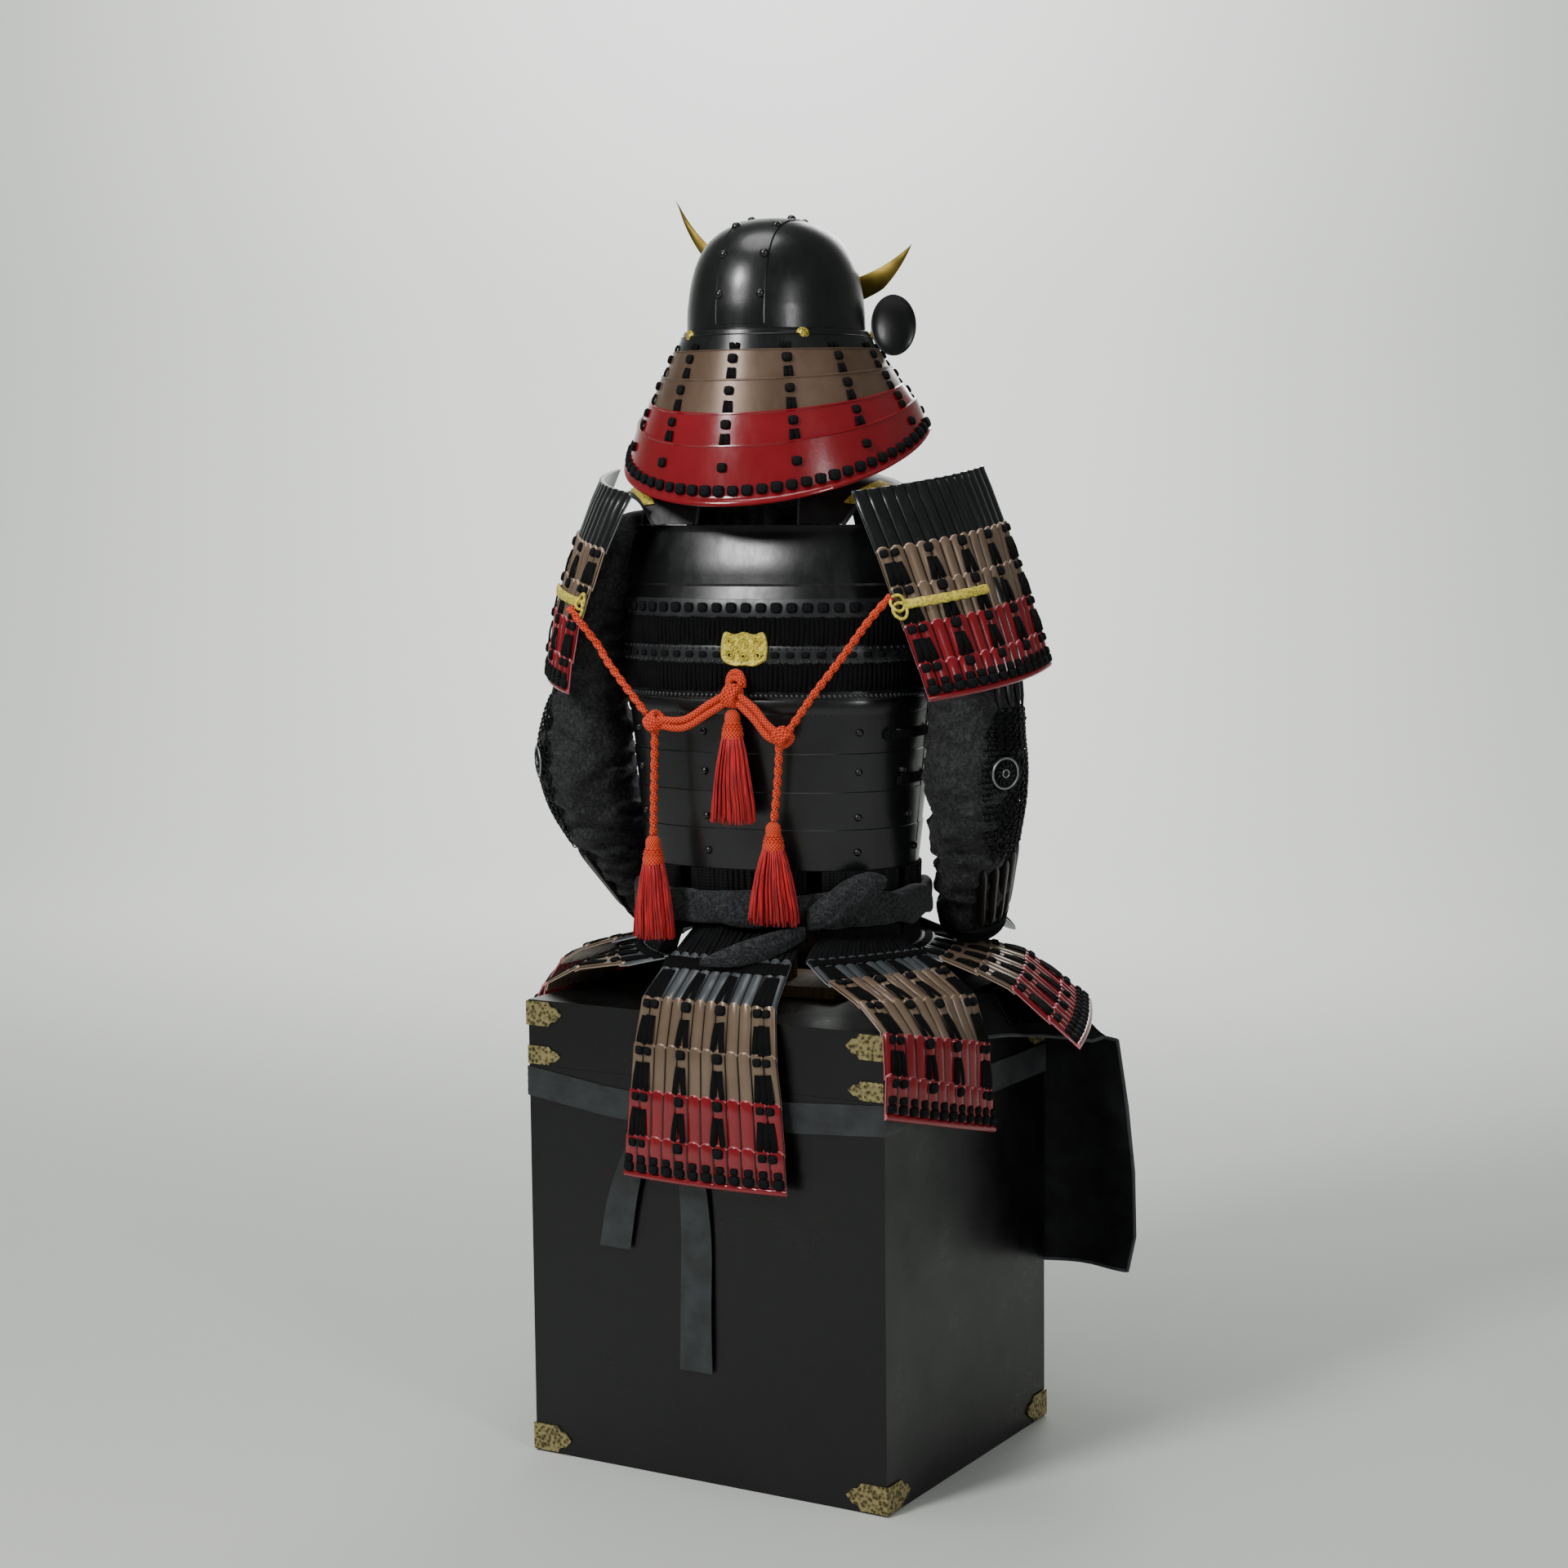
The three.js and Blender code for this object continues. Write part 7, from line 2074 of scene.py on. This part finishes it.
    def wrist(self, side: int, word: str) -> None:
        """Builds the cords tied round the wrist and the plate over the hand."""
        ties = Build()
        for z, lean in ((648, 0.0), (641, 1.6), (634, -1.2)):
            angles = np.linspace(0, 360, 41)[:-1]
            t = self.at_height(z) + 0.004 * np.sin(np.radians(angles + lean * 50))
            ties.tube(turned(self.point(side, t, angles, 3.0)), 3.1, 8, closed=True)
        show(ties.mesh(f"wrist_ties_{word}", 60), f"wrist_ties_{word}", LACE)
        rows = curve([(202, -137.3, 650, 33, 19), (200, -154, 638, 39, 17), (197, -176, 624, 41, 14),
                      (193, -199, 614, 34, 9), (190, -215, 610, 15, 3)], 30)
        u = np.linspace(-1, 1, 33)
        ridge = 1.0 * np.abs(np.cos(u * math.pi * 2.5)) ** 2
        skin = [np.array([np.stack([side * (r[0] + u * r[3]), r[1] + 0 * u,
                                    r[2] - r[4] * u * u - down + lift], -1) for r in rows])
                for down, lift in ((0, ridge), (2.4, 0 * ridge))]
        plate = Build()
        plate.wall(turned(skin[0]), turned(skin[1]), us=u * 40, vs=np.arange(30) * 3.0)
        show(plate.mesh(f"hand_guard_{word}", 40), f"hand_guard_{word}", BLACK, [f"hand_plate_{word}"])

    def build(self) -> None:
        """Builds both sleeves."""
        links = Repeats("mail_links", IRON, 0.04)
        for side, word in ((1, "left"), (-1, "right")):
            self.cloth(side, word)
            self.splints(side, word)
            self.mail(side, links)
            self.disc(side, word)
            self.wrist(side, word)
        links.make(ring_shape(3.3, 0.85, 9, 4))


@dataclass
class Belt:
    """The rolled belt of crepe, its crossing end and the leaf-shaped end that hangs out."""

    z: float = 664
    half: float = 20
    inside: float = 1.4

    def ring(self) -> None:
        """Builds the roll round the waist, twisted like wrung cloth."""
        angles = np.linspace(0, 360, 361)[:-1]
        sides = 28
        rows = []
        for k in range(sides):
            turn = 2 * math.pi * k / sides
            c, s = math.cos(turn), math.sin(turn)
            twist = np.sin(np.radians(angles * 14) + turn * 2) * 1.7 + np.sin(np.radians(angles * 23)
                                                                              + turn * 3 + 1) * 0.7
            swell = 1.6 * np.sin(np.radians(angles * 9))
            up = np.sign(s) * abs(s) ** 0.8 * (self.half + swell + twist * 0.8)
            out = self.inside + 8.4 + math.copysign(abs(c) ** 0.7,
                                                    c) * (8.0 + 0.5 * (swell + twist)) + (0.6 * twist
                                                                                          if c > 0 else 0)
            rows.append(torso(angles, self.z + 0 * angles, np.maximum(out, self.inside))
                        + up[:, None] * vec(0, 0, 1))
        grid = np.array(rows).transpose(1, 0, 2)
        build = Build()
        grid = np.concatenate([grid, grid[:1]])
        build.grid(turned(grid), ring=True, us=np.arange(sides + 1) * 3.4, vs=np.arange(361) * 3.0)
        piece = show(build.mesh("belt_roll", 70), "belt_roll", BELT_CREPE, ["belt"])

    def end(self, name: str, node: str, rows: Sequence[Sequence[float]]) -> None:
        """Builds one end of the belt.

        Args:
            name: the piece's name.
            node: the solid that it stands for.
            rows: angle, height, how far out, half height and thickness along it.
        """
        placed = []
        for angle, z, out, half, thick in rows:
            base = torso(angle, self.z, out)
            placed.append((base[0], base[1], z, half, thick))
        fine = curve(placed, 44)
        away = unit(fine[:, :3] * vec(1, 1, 0))
        rings = []
        for i, row in enumerate(fine):
            turns = full_turn(32)
            crease = 1 + 0.10 * np.sin(turns * 5 + i * 0.22) + 0.05 * np.sin(turns * 9 - i * 0.35)
            rings.append(row[:3] + np.outer(np.sin(turns) * row[3] * (0.94 + 0.06 * crease), vec(0, 0, 1))
                         + np.outer(np.cos(turns) * row[4] * crease, away[i]))
        rings = [mix(rings[0], fine[0, :3], 0.97), mix(rings[0], fine[0, :3], 0.25), *rings,
                 mix(rings[-1], fine[-1, :3], 0.25), mix(rings[-1], fine[-1, :3], 0.97)]
        build = Build()
        start = build.grid(turned(np.array(rings)), ring=True, us=np.arange(33) * 3.0,
                           vs=np.arange(len(rings)) * 3.0)
        build.face([start + k for k in range(32)][::-1])
        build.face([start + (len(rings) - 1) * 32 + k for k in range(32)])
        piece = show(build.mesh(name, 70), name, BELT_CREPE, [node])

    def build(self) -> None:
        """Builds the roll and both ends."""
        self.ring()
        self.end("belt_over", "belt_crossing",
                 ((146, 697, 23.4, 7, 5), (137, 693, 26.4, 17, 8.5), (128, 682, 27.4, 21, 9.5),
                                                (120, 668, 27.4, 20, 9), (112, 656, 25.5, 13, 6)))
        self.end("belt_leaf", "belt_tail",
                 ((111, 641.5, 28.5, 7, 4), (105.5, 636, 43, 12, 4), (99, 628.6, 60, 15, 4),
                                            (92, 619.4, 75, 13, 4), (86, 610.4, 82, 4, 2)))


@dataclass
class Apron:
    """The two cloth panels of the thigh apron, piped at the edge, and the tape tied round the box."""

    rows: tuple = ((40, 552.9, 124, 262, 34, 0), (-40, 555, 120, 272, 44, 0), (-106, 556, 104, 280, 56, 0),
                   (-170, 555, 40, 292, 68, 0),
                   (-206, 554, 9, 304, 76, 0), (-216, 534, 8, 316, 52, 1), (-218, 480, 8, 334, 0, 3),
                   (-219, 400, 8, 348, 0, 5),
                   (-220, 320, 8, 357, 0, 7), (-221, 240, 8, 358, 0, 8), (-221, 196, 9, 348, 0, 8))
    lid_edge: float = 244

    def skin(self, side: int, u: Array, rows: Array, under: float) -> Array:
        """A skin of one panel at a depth below its face."""
        grid = []
        for y, z, inside, outside, drop, fold in rows:
            past = np.maximum(u - 1, 0)
            x = mix(inside, self.lid_edge, np.minimum(u, 1)) + (outside - self.lid_edge) * past
            wave = fold * np.cos(x / outside * math.pi * 5)
            hangs = float(np.clip((545 - z) / 10, 0, 1))
            lies = 1 - hangs
            grid.append(np.stack([side * (x - under * lies * past * 0.9), y - wave + under * hangs,
                                  z - drop * past ** 1.3 - under * lies * (1 - past * 0.5)], -1))
        return np.array(grid)

    def panel(self, side: int, word: str, links: Repeats) -> None:
        """Builds one panel with its piping, and adds the mail on its upper part."""
        table = np.array(self.rows)
        steps = np.concatenate([np.linspace(i, i + 1, 9)[:-1] for i in range(10)] + [[10]])
        rows = np.stack([np.interp(steps, np.arange(11), table[:, k]) for k in range(6)], 1)
        u = np.linspace(0, 2, 71)
        outer = self.skin(side, u, rows, 0)
        sway = noise(outer * vec(1, 0.4, 0.35), 120, 7 + side) * 1.6 * np.clip((540 - rows[:, 1]) / 60, 0,
                                                                               1)[:, None]
        inner = self.skin(side, u, rows, 1.8) - sway[..., None] * vec(0, 1, 0)
        outer = outer - sway[..., None] * vec(0, 1, 0)
        build, edge = Build(), Build()
        build.wall(outer, inner, us=u * 170, vs=np.linspace(0, 640, len(rows)))
        piece = show(build.mesh(f"apron_cloth_{word}", 60), f"apron_cloth_{word}", CLOTH, [f"apron_{word}"])
        middle = (outer + inner) / 2
        edge.tube(np.vstack([middle[:, -1], middle[-1][::-1][1:]]), 2.4, 8)
        show(edge.mesh(f"apron_piping_{word}", 70), f"apron_piping_{word}", PIPING)
        for i, row in enumerate(np.linspace(1.2, 4.0, 38)):
            line = np.stack([np.interp([row], np.arange(11), table[:, k]) for k in range(6)], 1)
            for j, place in enumerate(np.linspace(0.85, 1.8, 27)):
                here = self.skin(side, vec(place + (0.016 if i % 2 else 0)), line, -2.2)[0, 0]
                beyond = self.skin(side, vec(place + 0.05), line, -2.2)[0, 0]
                across = unit(beyond - here)
                face = unit(np.cross(across, vec(0, 1, 0)) * (1 if side > 0 else -1))
                face = face if face[2] > 0 else -face
                tilt = 0.75 if (i + j) % 2 else -0.75
                links.put(here, vec(0, 1, 0), face * math.cos(tilt) + across * math.sin(tilt))

    def band(self) -> None:
        """Builds the tape's band, its knot and its two loose ends."""
        build = Build()
        wide, deep = 240, 204.25
        corners = [(wide, -deep), (wide, deep), (wide * 0.55, deep), (wide * 0.2, deep), (-wide, deep),
                   (-wide, -deep), (wide, -deep)]
        sag = np.array([0, 0, 14, 20, 0, 0, 0], float)
        heights = np.linspace(-35, 0, 12)
        outer, inner = [], []
        for h in heights:
            ring_out, ring_in = [], []
            for i in range(6):
                for t in np.linspace(0, 1, 16, endpoint=False):
                    x, y = mix(np.array(corners[i]), np.array(corners[i + 1]), t)
                    drop = mix(sag[i], sag[i + 1], t)
                    pleat = 0.45 * math.sin(h * 0.7 + (x + y) * 0.02) + 0.25 * math.sin(h * 1.9 + x * 0.05)
                    for ring, far in ((ring_out, 1.75 + 0.3 * pleat), (ring_in, 0.45)):
                        ring.append((x + math.copysign(far, x), y + math.copysign(far, y), 470 + h - drop))
            outer.append(ring_out)
            inner.append(ring_in)
        build.wall(np.array(outer), np.array(inner), ring=True, us=np.arange(97) * 16.0, vs=heights)
        show(build.mesh("tape_round_box", 50), "tape_round_box", TAPE, ["tape_band"])
        knot = Build()
        middle = vec(43, deep + 7.8, 441.5)
        for lean, wide_share in ((0.5, 1.0), (-0.4, 0.85)):
            turns = full_turn(28)
            line = middle + np.stack([np.cos(turns) * 13 * wide_share, np.sin(turns) * 2.2,
                                      np.sin(turns) * 5 + np.cos(turns) * 5 * lean], -1)
            knot.tube(line, 5.2, 10, 0.75, closed=True)
        knot.lathe([(0.1, -5), (6, -4), (9, 0), (7, 3.4), (0.1, 5)], 20, middle, vec(0, 1, 0), (1, 0.9))
        show(knot.mesh("tape_knot_folds", 60), "tape_knot_folds", TAPE, ["tape_knot"])
        tails = (("long", ((8, 209, 132, 22, -1), (7, 208.6, 210, 21, 1), (6, 209, 300, 20, -1),
                           (14, 208.6, 380, 17, 1), (31, 210, 429.4, 8, 0)), (0.044, 0.31)),
                 ("short", ((118, 210, 266, 21, -1), (105, 209, 330, 20, 1), (84, 210, 390, 15, 0),
                            (55.4, 211, 429.1, 7, 0)), (0.042, 0.185)))
        for word, table, flat in tails:
            rows = curve(table, 60)
            u = np.linspace(-1, 1, 17)
            shift = noise(np.stack([u * 30 + 0 * u, 0 * u, 0 * u], -1), 25, 4)
            faces = [np.array([np.stack([r[0] + u * r[3],
                                         r[1] + 0.8 + r[4] * u * u * 0.8
                                         + 0.55 * np.sin(u * 4 + r[2] * 0.035) + 0.2 * shift - under,
                                         r[2] + 0 * u], -1) for r in rows]) for under in (0, 1.2)]
            tail = Build()
            tail.wall(faces[0], faces[1], us=u * 21, vs=rows[:, 2])
            piece = show(tail.mesh(f"tape_end_{word}", 60), f"tape_end_{word}", TAPE, [f"tape_tail_{word}"])

    def build(self) -> None:
        """Builds both panels and the tape."""
        links = Repeats("apron_mail_links", IRON, 0.04, 9)
        self.panel(1, "left", links)
        self.panel(-1, "right", links)
        links.make(ring_shape(3.2, 0.9, 8, 4))
        self.band()


@dataclass
class Box:
    """The armour box with its brass, and the wooden stand inside the armour."""

    def boards(self) -> None:
        """Gives the box's body and lid their lacquer."""
        for node in ("box_body", "box_lid"):
            self.dress(node, BOX)

    def dress(self, node: str, finish: Finish) -> None:
        """Gives a flat solid its own finish."""
        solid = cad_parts[node]
        solid.data.materials.clear()
        solid.data.materials.append(finish.material())

    def brass(self) -> None:
        """Gives the corners their brass, and builds the leaves at the lid's foot and the nails."""
        nails = Repeats("brass_nails", BRASS, 0.05)
        leaf = ((0, -1), (0.64, -1), (0.72, -0.6), (0.84, -0.55), (1, 0), (0.84, 0.55), (0.72, 0.6),
                (0.64, 1), (0, 1))
        extra = Build()
        for place, sx, sy in (("left_back", 1, 1), ("right_back", -1, 1), ("left_front", 1, -1),
                              ("right_front", -1, -1)):
            self.dress(f"brass_foot_{place}", BRASS)
            self.dress(f"brass_lid_{place}", BRASS)
            for z, half, length in ((18, 16, 54), (534, 14.5, 50), (484, 11, 46)):
                for along_x in (True, False):
                    for share, height in ((0.14, 0.6), (0.14, -0.6), (0.55, 0.6), (0.55, -0.6), (0.84, 0)):
                        s = share * length
                        at = vec(sx * (240.3 - s), sy * 206.6,
                                 z + height * half) if along_x else vec(sx * 242.3, sy * (204.55 - s),
                                                                        z + height * half)
                        nails.put(at, vec(0, 0, 1), vec(0, sy, 0) if along_x else vec(sx, 0, 0))
                    if z != 484:
                        continue
                    rows = []
                    for depth in (2.0, 0.3):
                        if along_x:
                            rows.append(np.array([(sx * (240.3 - a * length), sy * (204.25 + depth),
                                                   z + h * half) for a, h in leaf]))
                        else:
                            rows.append(np.array([(sx * (240 + depth), sy * (204.55 - a * length),
                                                   z + h * half) for a, h in leaf]))
                    start = extra.add(np.array(rows))
                    for k in range(9):
                        extra.face([start + k, start + (k + 1) % 9, start + 9 + (k + 1) % 9, start + 9 + k])
                    extra.face([start + k for k in range(9)])
                    extra.face([start + 9 + k for k in range(9)][::-1])
        show(extra.mesh("lid_foot_leaves", 30, 0.5), "lid_foot_leaves", BRASS)
        nails.make(dome_shape(1.7, 1.2, 8))

    def stand(self) -> None:
        """Builds the stand: a board, a post, a yoke and a round head block."""
        build = Build()
        build.block((-86, -58, 550.3), (86, 58, 564.3))
        build.lathe([(0.1, 556), (17, 556), (17, 1400), (0.1, 1400)], 40, vec(0, 0, 0), vec(0, 0, 1))
        for side in (-1, 1):
            ends = np.array([(0, 20, 1168.5), (side * 158, 20, 1138)], float)
            build.tube(curve(ends, 12), np.linspace(14, 12, 12), 24)
        angles = np.linspace(-math.pi / 2, math.pi / 2, 20)
        build.lathe([(max(56 * math.cos(a), 0.1), 40 * math.sin(a)) for a in angles], 40, vec(0, 0, 1416.6),
                    vec(0, 0, 1), (50 / 56, 1))
        build.points = [turned(points) for points in build.points]
        show(build.mesh("wooden_stand", 40, 0.8), "wooden_stand", CEDAR, ["stand"])

    def build(self) -> None:
        """Builds the box's finishes, brass and the stand."""
        self.boards()
        self.brass()
        self.stand()


def main() -> None:
    """Builds the whole armour in order."""
    logging.basicConfig(level=logging.INFO, format="%(name)s: %(message)s")
    Studio().build()
    Cords().build()
    laces = Repeats("laces", LACE, 0.05)
    knots = Repeats("square_knots", LACE, 0.06)
    rounds = Repeats("round_knots", LACE, 0.06)
    rivets = Repeats("rivets", BLACK, 0.04)
    Skirts().build(laces, knots, rounds)
    ShoulderGuards().build(laces, knots, rounds)
    Cuirass().build(laces, knots, rivets)
    NeckGuard().build(laces, knots)
    Helmet().build(rivets)
    laces.make(ribbon_shape(5.2, 2.4, 1.0))
    knots.make(knot_shape(13, 12, 3.6))
    rounds.make(knot_shape(13, 11, 3.6))
    rivets.make(dome_shape(4.6, 3.6, 16))
    ShoulderStraps().build()
    Sleeves().build()
    Belt().build()
    Apron().build()
    Box().build()


if __name__ == "__main__":
    main()
